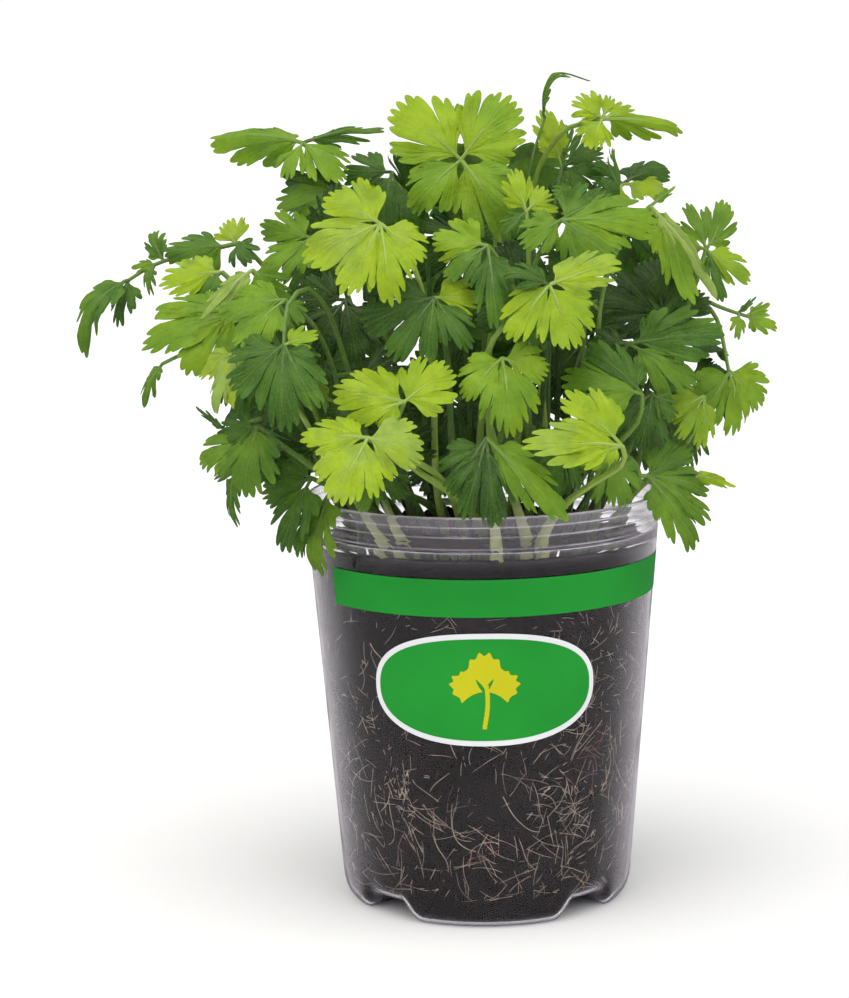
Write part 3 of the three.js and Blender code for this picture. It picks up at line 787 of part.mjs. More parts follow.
      [[-25.6,21.1,153.3],[-28.2,11.2,163.6],[-0.74,-0.26,0.62],20.2,0.12,0.27,0.12,80,71],
      [[-34.0,30.0,176.0],[-27.3,22.5,187.1],[-0.5,0.55,0.67],21.6,0.12,0.20,0.08,46,46],
    ],
  },
  leaf_back_high: {
    stalk: [[-0.3,18.2,99.3], [0.6,21.5,114.3], [1.1,22.7,129.7], [1.5,23.1,145.1], [1.9,23.9,160.5], [2.6,27.3,175.6], [4.0,36.0,188.0]],
    arms: [[[1.1,22.7,129.7], [5.1,22.8,130.5]], [[1.5,23.1,145.1], [4.3,30.6,149.0]]],
    leaflets: [
      [[4.0,36.0,188.0],[23.4,41.4,182.0],[0.02,0.71,0.71],28.8,0.12,0.20,0.08,32,63],
      [[5.1,22.8,130.5],[21.5,23.4,125.8],[0.53,-0.24,0.81],20.3,0.11,0.22,0.12,79,71],
      [[4.3,30.6,149.0],[11.6,40.0,156.9],[0.94,0.35,-0.05],20.0,0.14,0.26,0.12,75,80],
      [[4.0,36.0,188.0],[4.6,53.7,170.3],[0.02,0.71,0.71],32.4,0.12,0.20,0.08,34,34],
      [[4.0,36.0,188.0],[-15.0,42.7,182.0],[0.02,0.71,0.71],28.8,0.12,0.20,0.08,63,32],
      [[4.0,36.0,188.0],[3.6,25.4,198.6],[0.02,0.71,0.71],21.6,0.12,0.20,0.08,45,45],
    ],
  },
  leaf_back_right_high: {
    stalk: [[22.5,14.6,98.0], [25.6,17.3,110.5], [27.5,19.0,123.4], [29.0,20.3,136.4], [30.7,21.8,149.4], [33.9,24.6,161.8], [40.0,30.0,172.0]],
    arms: [[[33.9,24.6,161.8], [31.6,27.2,163.0]], [[30.7,21.8,149.4], [36.4,26.2,151.2]]],
    leaflets: [
      [[40.0,30.0,172.0],[57.0,19.9,164.9],[0.57,0.51,0.64],27.6,0.12,0.20,0.08,32,80],
      [[36.4,26.2,151.2],[50.6,33.1,154.9],[0.74,-0.66,0.15],20.4,0.15,0.13,0.12,79,67],
      [[40.0,30.0,172.0],[51.9,40.8,152.8],[0.57,0.51,0.64],31.2,0.12,0.20,0.08,34,34],
      [[40.0,30.0,172.0],[31.8,48.0,164.9],[0.57,0.51,0.64],27.6,0.12,0.20,0.08,80,32],
      [[31.6,27.2,163.0],[23.7,39.1,167.6],[0.07,0.23,0.97],20.8,0.07,0.25,0.12,70,68],
    ],
  },
  leaf_back_mid: {
    stalk: [[-0.7,24.3,98.4], [-0.3,28.6,107.9], [0.1,32.5,117.6], [0.4,36.2,127.4], [0.8,40.2,137.0], [1.3,45.3,146.1], [2.0,52.0,154.0]],
    arms: [[[0.8,40.2,137.0], [1.4,44.0,137.2]], [[1.3,45.3,146.1], [9.3,45.8,146.2]]],
    leaflets: [
      [[9.3,45.8,146.2],[25.1,44.4,140.4],[0.15,-0.13,0.98],18.3,0.10,0.30,0.12,67,66],
      [[2.0,52.0,154.0],[21.8,57.1,145.8],[0.0,0.85,0.53],28.8,0.12,0.20,0.08,32,80],
      [[1.4,44.0,137.2],[7.6,56.8,139.1],[0.14,-0.18,0.97],20.1,0.11,0.12,0.12,69,76],
      [[2.0,52.0,154.0],[2.0,65.8,132.0],[0.0,0.85,0.53],33.6,0.12,0.20,0.08,33,33],
      [[2.0,52.0,154.0],[-17.8,57.1,145.8],[-0.0,0.85,0.53],28.8,0.12,0.20,0.08,80,32],
    ],
  },
  leaf_back_left_mid: {
    stalk: [[-23.8,11.5,98.1], [-28.8,12.2,107.6], [-33.4,12.9,117.3], [-37.9,13.5,127.1], [-42.8,14.1,136.7], [-48.6,15.0,145.8], [-56.1,16.0,153.4]],
    arms: [[[-33.4,12.9,117.3], [-40.0,14.0,113.8]], [[-48.6,15.0,145.8], [-53.9,16.3,139.7]]],
    leaflets: [
      [[-56.1,16.0,153.4],[-55.0,34.5,145.9],[-0.81,0.26,0.53],26.4,0.12,0.20,0.08,32,80],
      [[-40.0,14.0,113.8],[-53.9,17.4,109.2],[-0.47,0.06,0.88],16.2,0.15,0.29,0.12,76,77],
      [[-53.9,16.3,139.7],[-68.0,19.4,126.1],[-0.85,-0.1,0.52],20.8,0.06,0.24,0.12,68,71],
      [[-56.1,16.0,153.4],[-68.2,19.9,133.0],[-0.81,0.26,0.53],31.2,0.12,0.20,0.08,33,33],
      [[-56.1,16.0,153.4],[-66.1,0.3,145.9],[-0.81,0.26,0.53],26.4,0.12,0.20,0.08,80,32],
    ],
  },
};

const object = new THREE.Group();
function add(name, solid, color, roughness, extra = {}) {
  const mesh = new THREE.Mesh(
    toGeometry(solid),
    new THREE.MeshStandardMaterial({ color, roughness, metalness: 0, ...extra }),
  );
  mesh.name = name;
  object.add(mesh);
}
add("pot", cup, 0xdedbe4, 0.12, { transparent: true, opacity: 0.35 });
add("soil", soil, 0x2a2324, 0.95);

const GREENS = [0x5f8f2f, 0x8fb83a, 0x3f6a28, 0x76a536];
Object.entries(LEAVES).forEach(([name, { stalk, arms, leaflets }], k) => {
  let leaf = toSolid(rod(stalk, STALK_RADIUS, 6));
  for (const arm of arms)
    leaf = leaf.add(toSolid(rod(arm, ARM_RADIUS, arm.length - 1)));
  // a small knot where the leaflets spring from a stalk or an arm
  const knots = [];
  for (const [joint] of leaflets)
    if (!knots.some((k) => Math.hypot(...k.map((c, i) => c - joint[i])) < 0.5))
      knots.push(joint);
  for (const k of knots)
    leaf = leaf.add(
      toSolid(new THREE.OctahedronGeometry(HUB_RADIUS, 0).translate(...k)),
    );
  for (const data of leaflets) leaf = leaf.add(toSolid(blade(data)));
  add(name, leaf, GREENS[k % GREENS.length], 0.55);
});

export default object;
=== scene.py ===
"""Potted coriander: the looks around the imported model. Metres, +Z up, the front of the cup towards -Y."""

import math

import bpy
import numpy as np
from mathutils import Matrix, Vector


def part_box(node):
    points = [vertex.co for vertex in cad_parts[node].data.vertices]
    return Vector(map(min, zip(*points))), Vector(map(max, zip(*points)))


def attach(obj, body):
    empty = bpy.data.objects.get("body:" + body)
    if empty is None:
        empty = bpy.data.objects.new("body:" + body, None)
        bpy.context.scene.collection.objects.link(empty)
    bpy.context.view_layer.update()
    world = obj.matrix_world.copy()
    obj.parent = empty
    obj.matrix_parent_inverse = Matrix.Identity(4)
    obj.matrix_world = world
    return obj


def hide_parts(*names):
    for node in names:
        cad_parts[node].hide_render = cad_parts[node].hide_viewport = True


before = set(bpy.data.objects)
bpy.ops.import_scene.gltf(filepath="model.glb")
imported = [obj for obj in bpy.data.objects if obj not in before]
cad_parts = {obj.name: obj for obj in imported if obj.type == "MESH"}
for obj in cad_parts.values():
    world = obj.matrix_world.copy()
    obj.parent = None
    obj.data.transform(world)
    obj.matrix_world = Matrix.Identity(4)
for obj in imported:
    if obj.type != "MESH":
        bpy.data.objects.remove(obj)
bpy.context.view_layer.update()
SCENE = bpy.context.scene
MM = 0.001

# ---- the plant's layout, in millimetres, as in the CAD model ----
# name: (slot, stalk points, arms, leaflets); a leaflet is
# (foot, tip, upper side's normal, width, arch, fold, tone, share of its own stalk, opening left, opening right)
# a leaflet's tone is partly its own colour and partly painted light and shade: bright on lit leaves, dark on shaded,
# inner and back ones
LEAVES = {
    "leaf_top": ("leaf_young",
        [(-1.5,-12.2,99.9),(-1.6,-12.7,109.5),(-0.9,-13.4,119.2),(0.1,-14.2,128.7),(1.4,-15.2,138.3),(2.8,-16,147.8),(3.8,-16.8,157.4),(4.3,-17.2,167),(3.5,-17.1,176.6),(0.9,-16.1,185.8),(-4.3,-14,193.6)],
        [],
        [
            ((-4.3,-14,193.6),(-20.6,-8.5,207.3),(0.00,-0.93,0.37),22.1,0.10,0.16,2.5,0.10,57,51),
            ((-4.3,-14,193.6),(9.3,-7.9,208.8),(0.00,-0.93,0.37),20.5,0.10,0.16,2.5,0.13,48,63),
            ((-4.3,-14,193.6),(-16.7,-18.7,182),(0.00,-0.93,0.37),15.0,0.10,0.16,2.0,0.11,45,45),
            ((-4.3,-14,193.6),(8.5,-21.6,174.8),(0.00,-0.93,0.37),17.7,0.10,0.16,2.2,0.12,63,55),
        ]),
    "leaf_upper_left_arch": ("leaf_mid",
        [(-18.2,0.4,99.3),(-20.6,1.5,109.5),(-22.4,2.8,119.8),(-23.5,4,130.2),(-24.3,5.1,140.7),(-25.2,6,151.1),(-26.5,6.6,161.6),(-28.8,6.7,171.9),(-32.6,6.1,181.7),(-38.4,4.3,190.3),(-45,2,198.1)],
        [[(-34.3,5.6,184.7),(-38.2,12.8,185.9)]],
        [
            ((-45,2,198.1),(-70.6,10.4,200.1),(-0.20,-0.76,0.62),16.6,0.10,0.80,1.9,0.06,69,80),
            ((-45,2,198.1),(-49.7,-3.7,189.4),(-0.20,-0.76,0.62),9.4,0.10,0.16,2.1,0.09,39,39),
            ((-45,2,198.1),(-34.7,-7,190.3),(-0.20,-0.76,0.62),13.2,0.10,0.30,2.1,0.10,38,50),
            ((-45,2,198.1),(-24,-1.2,201.2),(-0.20,-0.76,0.62),9.9,0.10,0.90,1.2,0.12,78,55),
            ((-38.2,12.8,185.9),(-50.2,19.4,181.2),(-0.76,-0.10,0.64),19.1,0.10,0.23,0.8,0.12,69,75),
        ]),
    "leaf_upper_left_back": ("leaf_mature",
        [(-13.3,12.6,99.3),(-14.4,12.9,108.5),(-14.8,12.9,117.9),(-14.7,12.6,127.2),(-14.3,12.1,136.5),(-13.8,11.6,145.8),(-13.5,11.3,155.1),(-13.7,11.2,164.5),(-14.9,11.8,173.7),(-17.7,13.3,182.4),(-22.7,16,189.8)],
        [[(-15.6,12.1,176.7),(-13.8,4.9,181.4)]],
        [
            ((-22.7,16,189.8),(-34.8,16.6,188.9),(-0.08,-0.90,0.42),12.9,0.10,0.16,0.4,0.16,38,80),
            ((-22.7,16,189.8),(-25.3,9.3,175),(-0.08,-0.90,0.42),15.1,0.10,0.16,0.9,0.14,35,49),
            ((-22.7,16,189.8),(-14.9,8.4,174.9),(-0.08,-0.90,0.42),13.5,0.10,0.16,1.1,0.11,80,42),
            ((-13.8,4.9,181.4),(-18.6,-6.8,194.8),(-0.70,-0.69,-0.16),17.7,0.10,0.27,0.3,0.12,78,74),
        ]),
    "leaf_upper_left": ("leaf_mid",
        [(-28.5,4.6,97.7),(-29.1,3.4,106.7),(-29.3,1.8,115.6),(-29.1,0,124.5),(-28.8,-1.8,133.5),(-28.4,-3.6,142.4),(-28.1,-5.1,151.4),(-28.2,-6.1,160.4),(-29,-6.1,169.5),(-30.9,-4.7,178.3),(-34.3,-1.5,186)],
        [[(-29.5,-5.8,172.5),(-35,0.7,170.2)],[(-29,-0.6,127.5),(-26,-1.3,129.3)]],
        [
            ((-34.3,-1.5,186),(-50.5,8,189.4),(-0.40,-0.91,0.09),8.8,0.10,0.16,0.5,0.09,56,80),
            ((-34.3,-1.5,186),(-53,4.1,182.7),(-0.32,-0.88,0.34),13.7,0.10,0.16,1.4,0.12,80,43),
            ((-35,0.7,170.2),(-45.4,7.8,165.7),(-0.63,-0.77,0.10),18.2,0.11,0.16,0.4,0.12,69,68),
            ((-26,-1.3,129.3),(-23.2,-9.9,139.5),(-0.55,-0.55,0.62),19.5,0.07,0.15,0.1,0.12,80,70),
        ]),
    "leaf_left_front_bright": ("leaf_young",
        [(-9.4,-17.6,99.1),(-11,-21.4,107),(-11.8,-24.7,115.1),(-12.1,-27.8,123.4),(-12.1,-30.5,131.9),(-12,-33.1,140.3),(-12.2,-35.6,148.8),(-12.9,-38.1,157.3),(-14.7,-40.6,165.6),(-18.1,-43.2,173.3),(-23.6,-46,179.6)],
        [],
        [
            ((-23.6,-46,179.6),(-36.9,-41.5,186.8),(-0.08,-0.90,0.42),16.5,0.10,0.16,3.1,0.11,33,80),
            ((-23.6,-46,179.6),(-42,-48.5,170.9),(-0.08,-0.90,0.42),16.4,0.10,0.16,3.1,0.07,40,41),
            ((-23.6,-46,179.6),(-32,-53.2,162.7),(-0.08,-0.90,0.42),13.3,0.10,0.16,3.1,0.10,45,45),
            ((-23.6,-46,179.6),(-20.7,-54.8,161.3),(-0.08,-0.90,0.42),13.9,0.10,0.16,2.9,0.11,44,44),
            ((-23.6,-46,179.6),(-13.5,-51.1,170.7),(-0.08,-0.90,0.42),11.8,0.10,0.16,2.9,0.17,80,37),
        ]),
    "leaf_left_mid": ("leaf_mid",
        [(-27.1,-0.8,98),(-28.8,-2.9,105.7),(-29.7,-5.2,113.5),(-30.2,-7.4,121.3),(-30.4,-9.6,129.2),(-30.5,-11.7,137.1),(-30.8,-13.5,145.1),(-31.8,-15.1,153),(-33.7,-16.1,160.9),(-37.2,-16.4,168.3),(-42.1,-16,174.7)],
        [[(-34.7,-16.3,163.4),(-35,-20.9,171)]],
        [
            ((-42.1,-16,174.7),(-55.7,-10.1,177.1),(-0.32,-0.88,0.34),11.3,0.10,0.16,1.7,0.11,41,80),
            ((-42.1,-16,174.7),(-54.6,-15.1,165.3),(-0.32,-0.88,0.34),13.5,0.10,0.16,1.7,0.12,80,37),
            ((-35,-20.9,171),(-35.6,-18.8,187.2),(-0.57,-0.61,0.54),18.2,0.11,0.22,0.0,0.12,66,69),
        ]),
    "leaf_far_left": ("leaf_mid",
        [(-34.2,7.4,96.4),(-37.3,5.2,104),(-39.7,2.9,111.8),(-41.6,0.5,119.7),(-43.1,-1.9,127.8),(-44.5,-4.1,135.9),(-46,-6.2,144),(-48,-7.9,152.1),(-50.8,-9,160),(-55.1,-9.1,167.4),(-61.1,-8,173.3)],
        [[(-61.1,-8,173.3),(-71.7,-4.4,170.9),(-81.4,-1.3,168.5),(-85.8,-0.3,166.7),(-90.9,0.2,163.6)],[(-52.1,-9.1,162.6),(-58.3,-7.6,162)]],
        [
            ((-64.8,-6.8,172.4),(-80.4,-1,169.8),(-0.37,-0.80,0.47),15.3,0.10,0.50,1.3,0.06,80,46),
            ((-62.1,-7.6,173),(-64.9,-3.3,178.2),(-0.37,-0.80,0.47),11.5,0.10,0.16,3.0,0.06,32,80),
            ((-62.1,-7.6,173),(-58.3,-12.1,168.4),(-0.37,-0.80,0.47),8.2,0.10,0.16,0.7,0.12,73,46),
            ((-81.6,-1.2,168.4),(-84.8,4.8,176.2),(-0.37,-0.80,0.47),7.2,0.10,0.16,1.3,0.06,58,80),
            ((-83.6,-0.8,167.6),(-90.4,1.8,166.6),(-0.37,-0.80,0.47),4.4,0.10,0.16,1.6,0.06,62,49),
            ((-90.9,0.2,163.6),(-94.5,-4.5,152.7),(-0.37,-0.80,0.47),8.3,0.05,0.16,1.0,0.06,80,46),
            ((-90.9,0.2,163.6),(-102.4,-5.5,144.6),(-0.37,-0.80,0.47),9.4,0.28,0.16,1.2,0.06,59,80),
            ((-84,-0.7,167.4),(-85.5,-4.1,160.5),(-0.37,-0.80,0.47),4.4,0.10,0.16,1.0,0.30,80,55),
            ((-58.3,-7.6,162),(-70.9,-2.6,154.8),(-0.25,-0.55,0.79),20.7,0.14,0.25,1.1,0.12,69,79),
        ]),
    "leaf_left_yellow": ("leaf_young",
        [(-33.5,-2.1,96.7),(-37,-4.6,103.6),(-39.8,-7.4,110.7),(-42.2,-10.3,117.9),(-44.3,-13.2,125.2),(-46.3,-16,132.6),(-48.5,-18.6,140),(-51,-20.8,147.3),(-54.3,-22.4,154.6),(-58.8,-22.9,161.4),(-64.6,-22,166.9)],
        [[(-46.3,-16,132.6),(-47.8,-16.7,139.6)],[(-55.6,-22.7,156.9),(-58.6,-20.6,155.4)],[(-42.9,-11.3,120.3),(-50.1,-9.4,118.3)]],
        [
            ((-64.6,-22,166.9),(-80.9,-16,163.7),(-0.38,-0.82,0.42),11.2,0.10,0.16,3.2,0.10,46,80),
            ((-64.6,-22,166.9),(-71.2,-22.7,159.6),(-0.38,-0.82,0.42),9.1,0.10,0.16,1.3,0.16,80,34),
            ((-47.8,-16.7,139.6),(-48.8,-15.8,154.5),(-0.44,-0.50,0.75),20.7,0.10,0.29,1.2,0.12,75,77),
            ((-58.6,-20.6,155.4),(-70.4,-16.6,149),(-0.65,0.70,0.30),19.0,0.10,0.18,1.0,0.12,80,76),
            ((-50.1,-9.4,118.3),(-69.8,-8.2,114.1),(-0.55,-0.53,0.65),17.1,0.08,0.16,1.1,0.12,72,68),
        ]),
    "leaf_left_big": ("leaf_mid",
        [(-29.6,-9.2,97.2),(-32.5,-11.7,103.4),(-34.9,-14.5,109.6),(-37.1,-17.3,115.9),(-39.1,-20.2,122.2),(-41.1,-23,128.6),(-43.2,-25.8,135),(-45.7,-28.2,141.3),(-48.9,-30.1,147.5),(-53.1,-31.1,153.3),(-58.5,-30.8,158.1)],
        [[(-58.5,-30.8,158.1),(-68.4,-31.1,150.3),(-79.4,-29.8,144.8)],[(-50.2,-30.5,149.5),(-53.7,-29.5,147)]],
        [
            ((-59,-30.8,157.7),(-82.4,-22.7,156.9),(-0.31,-0.85,0.42),10.6,0.10,0.16,2.1,0.08,58,80),
            ((-59.9,-30.9,157),(-84.8,-25.7,149.2),(-0.31,-0.85,0.42),13.2,0.10,0.16,2.1,0.06,54,54),
            ((-60.6,-30.9,156.4),(-73.7,-33,142.6),(-0.31,-0.85,0.42),14.3,0.10,0.16,2.1,0.06,80,43),
            ((-79.4,-29.8,144.8),(-84.1,-33.1,134.7),(-0.31,-0.85,0.42),4.3,0.10,0.16,1.2,0.06,80,80),
            ((-53.7,-29.5,147),(-64,-18.6,135.2),(-0.86,-0.36,0.36),18.9,0.08,0.12,0.6,0.12,79,72),
        ]),
    "leaf_left_pale": ("leaf_young",
        [(-26.1,-13,97.6),(-29.4,-15.7,104.4),(-32.3,-18.2,111.5),(-34.9,-20.7,118.7),(-37.3,-23,126.1),(-39.5,-25.2,133.5),(-41.9,-27.3,140.9),(-44.5,-29.4,148.2),(-47.5,-31.6,155.3),(-51.2,-33.8,162.1),(-55.8,-36,168.3)],
        [[(-35.7,-21.4,121.2),(-40.8,-22.5,122.2)]],
        [
            ((-55.8,-36,168.3),(-68.3,-38.2,156.9),(-0.23,-0.88,0.42),5.8,0.10,0.40,4.0,0.06,70,80),
            ((-55.8,-36,168.3),(-46.7,-39.2,161.3),(-0.36,-0.90,0.26),9.9,0.10,0.16,1.6,0.13,80,69),
            ((-40.8,-22.5,122.2),(-57.7,-15.3,120.4),(-0.40,-0.90,0.17),17.3,0.07,0.14,0.3,0.12,68,73),
        ]),
    "leaf_left_center": ("leaf_mid",
        [(-23.2,-19.8,97.3),(-26.9,-21.7,103.5),(-29.5,-23.9,110),(-31.4,-26.3,116.8),(-32.7,-28.8,123.6),(-33.7,-31.4,130.5),(-34.8,-34.1,137.3),(-36.2,-36.8,144.1),(-38.4,-39.5,150.7),(-41.8,-42,156.7),(-47.1,-44,161.5)],
        [[(-35.7,-35.9,141.9),(-29.9,-39.8,143)],[(-39.3,-40.3,152.8),(-41.2,-41.2,151.2)]],
        [
            ((-47.1,-44,161.5),(-63.3,-43.3,157.8),(-0.15,-0.85,0.50),13.4,0.10,0.16,1.9,0.10,40,80),
            ((-47.1,-44,161.5),(-58.7,-48.5,150.4),(-0.15,-0.85,0.50),12.9,0.10,0.16,1.9,0.21,58,37),
            ((-47.1,-44,161.5),(-42.6,-48.6,155),(-0.15,-0.85,0.50),6.7,0.10,0.16,1.2,0.21,80,38),
            ((-29.9,-39.8,143),(-17.4,-43.4,140.4),(0.02,-0.98,0.18),16.3,0.07,0.28,0.2,0.12,66,69),
            ((-41.2,-41.2,151.2),(-43.5,-44.4,136.5),(-0.95,-0.12,0.30),20.9,0.10,0.13,1.0,0.12,72,78),
        ]),
    "leaf_left_hanging": ("leaf_mature",
        [(-20.1,-24.2,97.1),(-23.4,-27.4,105.4),(-26.1,-29.6,114.2),(-28.3,-31.3,123.3),(-30.3,-32.7,132.5),(-32.3,-34.2,141.6),(-34.5,-36,150.7),(-37.4,-39,159.2),(-42,-45,164.4),(-46.3,-51.7,160.6),(-47.1,-54,151.5)],
        [],
        [
            ((-47.1,-54,151.5),(-47.2,-59.3,132.1),(-0.17,-0.95,0.26),12.8,0.10,0.16,0.8,0.06,48,48),
            ((-47.1,-54,151.5),(-58.9,-54.8,140.9),(-0.17,-0.95,0.26),15.3,0.10,0.16,0.8,0.12,34,80),
            ((-47.1,-54,151.5),(-38.5,-59.6,136.4),(-0.17,-0.95,0.26),11.2,0.10,0.16,1.0,0.10,66,47),
            ((-47.1,-54,151.5),(-38.8,-54.7,154.1),(-0.17,-0.95,0.26),6.6,0.10,0.16,2.7,0.18,80,39),
        ]),
    "leaf_left_curled": ("leaf_young",
        [(-24.4,-24.5,96.5),(-27.7,-26.7,101.9),(-30.7,-29.2,107.5),(-33.5,-31.9,113),(-36.2,-34.7,118.5),(-39,-37.4,124),(-42,-40.1,129.5),(-45.3,-42.5,134.9),(-49.1,-44.5,140.1),(-53.7,-45.7,145),(-58.9,-46,149.2)],
        [],
        [
            ((-58.9,-46,149.2),(-65.2,-48.5,134.6),(-0.47,-0.81,0.34),7.2,0.10,0.16,4.0,0.06,57,57),
            ((-58.9,-46,149.2),(-60.3,-50.7,136.1),(-0.47,-0.81,0.34),7.8,0.10,0.16,3.2,0.07,80,51),
            ((-58.9,-46,149.2),(-69.7,-42.3,143),(-0.47,-0.81,0.34),6.2,0.10,0.16,3.2,0.19,51,80),
        ]),
    "leaf_lower_left": ("leaf_mid",
        [(-31.2,-17.1,96.2),(-30.9,-19.9,100.4),(-31.5,-23.1,104.4),(-32.9,-26.5,108),(-34.8,-29.8,111.4),(-37.3,-32.9,114.6),(-40.3,-35.8,117.6),(-43.6,-38.2,120.6),(-47.3,-40,123.7),(-51.2,-40.8,126.9),(-55,-40.1,130.2)],
        [[(-55,-40.1,130.2),(-59.7,-39.2,123.7),(-61.3,-39.5,118.3)],[(-54,-40.2,132.2),(-63.3,-36.5,128.9)],[(-48.5,-40.4,124.8),(-53.1,-35.3,123)]],
        [
            ((-55,-40.1,130.2),(-58.3,-42,112.6),(-0.42,-0.89,0.17),16.7,0.10,0.16,1.5,0.07,80,40),
            ((-55,-40.1,130.2),(-64.8,-36.3,126.4),(-0.42,-0.89,0.17),8.9,0.10,0.16,0.8,0.14,39,80),
            ((-57.1,-39.7,127.3),(-70.1,-35.2,119.3),(-0.42,-0.89,0.17),11.0,0.10,0.16,1.8,0.09,44,44),
            ((-61.3,-39.5,118.3),(-62.2,-41.6,105.3),(-0.42,-0.89,0.17),4.7,0.10,0.16,1.0,0.06,80,80),
            ((-63.3,-36.5,128.9),(-70.5,-32.2,133.9),(-0.42,-0.89,0.17),1.8,0.10,0.16,0.8,0.06,80,80),
            ((-53.1,-35.3,123),(-59.2,-20.4,120.4),(-0.71,-0.56,0.42),16.2,0.08,0.23,1.3,0.12,71,69),
        ]),
    "leaf_rim_left": ("leaf_mature",
        [(-20.3,-8,98.8),(-21.5,-9.1,102.3),(-23.1,-10.9,105.3),(-24.9,-13.2,107.7),(-26.9,-15.9,109.5),(-29,-18.8,110.8),(-31.2,-21.8,111.7),(-33.6,-24.7,112.4),(-36.3,-27.4,113),(-39.3,-29.6,113.9),(-42.6,-30,115.6)],
        [],
        [
            ((-42.6,-30,115.6),(-55.1,-26.4,110.6),(-0.34,-0.93,0.17),12.2,0.10,0.16,0.9,0.11,37,37),
            ((-42.6,-30,115.6),(-50,-30.6,98),(-0.34,-0.93,0.17),10.6,0.14,0.16,0.9,0.16,80,48),
            ((-42.6,-30,115.6),(-51.9,-26,119.2),(-0.34,-0.93,0.17),8.0,0.10,0.16,0.7,0.14,40,80),
        ]),
    "leaf_over_rim_left": ("leaf_mid",
        [(-20.9,-15.1,98.2),(-22.5,-15,100.5),(-24.4,-15.5,102.5),(-26.4,-16.7,104.2),(-28.3,-18.2,105.5),(-30.1,-20,106.6),(-31.9,-22,107.5),(-33.7,-24.1,108.3),(-35.3,-26.2,109.1),(-37,-28.4,109.9),(-38.4,-30,111.5)],
        [],
        [
            ((-38.4,-30,111.5),(-40.8,-30.5,90.9),(-0.69,-0.71,0.08),12.8,0.10,0.16,1.5,0.08,80,48),
            ((-38.4,-30,111.5),(-46.4,-25.9,94.8),(-0.58,-0.81,0.07),9.6,0.10,0.16,1.3,0.16,51,80),
        ]),
    "leaf_front_bright_upper": ("leaf_young",
        [(0.5,-26.6,98.1),(-0.5,-29.7,102.7),(-2.7,-33,106.9),(-5.7,-36.3,110.5),(-9.2,-39.5,113.6),(-12.9,-42.6,116.7),(-16.5,-45.6,120),(-19.4,-48.5,123.9),(-20.7,-51.1,128.8),(-20.1,-54.2,133.5),(-18.4,-57.6,137.8)],
        [[(-20.7,-51.8,130.6),(-25.6,-49.1,131.8)]],
        [
            ((-18.4,-57.6,137.8),(-35.5,-56.4,140.3),(0.00,-0.91,0.42),14.7,0.10,0.16,2.9,0.06,39,73),
            ((-18.4,-57.6,137.8),(-29,-59.7,133.4),(0.00,-0.91,0.42),7.1,0.10,0.16,2.9,0.18,80,45),
            ((-18.4,-57.6,137.8),(-6.9,-54.1,145.4),(0.00,-0.91,0.42),15.7,0.10,0.16,2.9,0.07,72,80),
            ((-25.6,-49.1,131.8),(-41.3,-44.4,126.9),(0.07,-0.62,0.78),17.5,0.11,0.11,0.5,0.12,66,75),
        ]),
    "leaf_front_bright_lower": ("leaf_young",
        [(-4.4,-21.7,98.8),(-5.7,-24.8,103.7),(-7.1,-28.4,108.2),(-8.6,-32.4,112.2),(-10.2,-37,115.7),(-12,-41.8,118.6),(-14.2,-46.7,121),(-16.6,-51.7,123.1),(-19.5,-56.4,125.1),(-23,-60.7,127.4),(-27,-64.1,130.1)],
        [[(-20.6,-57.9,125.8),(-23.7,-59.7,124.8)]],
        [
            ((-27,-64.1,130.1),(-43.2,-62.5,130.6),(-0.08,-0.92,0.37),10.1,0.10,0.16,3.3,0.08,48,80),
            ((-27,-64.1,130.1),(-34.1,-69.3,114.8),(-0.12,-0.91,0.39),19.1,0.10,0.16,3.3,0.09,56,49),
            ((-27,-64.1,130.1),(-14.1,-66.9,126),(-0.08,-0.92,0.37),15.1,0.12,0.16,3.3,0.08,80,45),
            ((-23.7,-59.7,124.8),(-35.8,-50.6,118.6),(0.05,-0.54,0.84),19.5,0.14,0.10,0.6,0.12,77,77),
        ]),
    "leaf_front_low_dark": ("leaf_mature",
        [(-10.3,-11.8,99.6),(-11.5,-13.9,102.8),(-12.9,-16.7,105.3),(-14.4,-19.8,107.3),(-16,-23.1,108.9),(-17.7,-26.4,110.3),(-19.5,-29.8,111.6),(-21.2,-33.1,113),(-23,-36.2,114.8),(-24.8,-38.8,117.3),(-26.1,-40,120.9)],
        [],
        [
            ((-26.1,-40,120.9),(-19.8,-41.6,111.8),(0.00,-0.98,0.17),8.9,0.10,0.16,0.4,0.17,80,37),
            ((-26.1,-40,120.9),(-30.2,-42.1,108.8),(0.00,-0.98,0.17),9.4,0.10,0.16,1.1,0.19,39,80),
        ]),
    "leaf_center_left_dark": ("leaf_mature",
        [(-5.8,-15.3,99.5),(-6.3,-18.3,105.6),(-6.7,-21.3,111.8),(-7,-24.1,118),(-7.3,-26.9,124.3),(-7.5,-29.6,130.6),(-7.8,-32.3,136.9),(-8.2,-35.1,143.2),(-8.9,-37.9,149.4),(-9.8,-40.9,155.5),(-11.1,-44,161.5)],
        [],
        [
            ((-11.1,-44,161.5),(-27.7,-46,156),(0.00,-0.94,0.34),14.4,0.10,0.16,0.4,0.09,39,80),
            ((-11.1,-44,161.5),(-20.9,-48.9,148),(0.00,-0.94,0.34),13.9,0.10,0.16,0.7,0.10,40,40),
            ((-11.1,-44,161.5),(-12.7,-49.3,146.9),(0.00,-0.94,0.34),10.8,0.10,0.16,1.2,0.13,43,43),
            ((-11.1,-44,161.5),(-3,-48.5,149.1),(0.00,-0.94,0.34),10.3,0.10,0.16,1.1,0.14,44,44),
            ((-11.1,-44,161.5),(0.5,-44.2,160.8),(0.00,-0.94,0.34),10.8,0.10,0.16,2.7,0.13,80,35),
        ]),
    "leaf_center": ("leaf_mid",
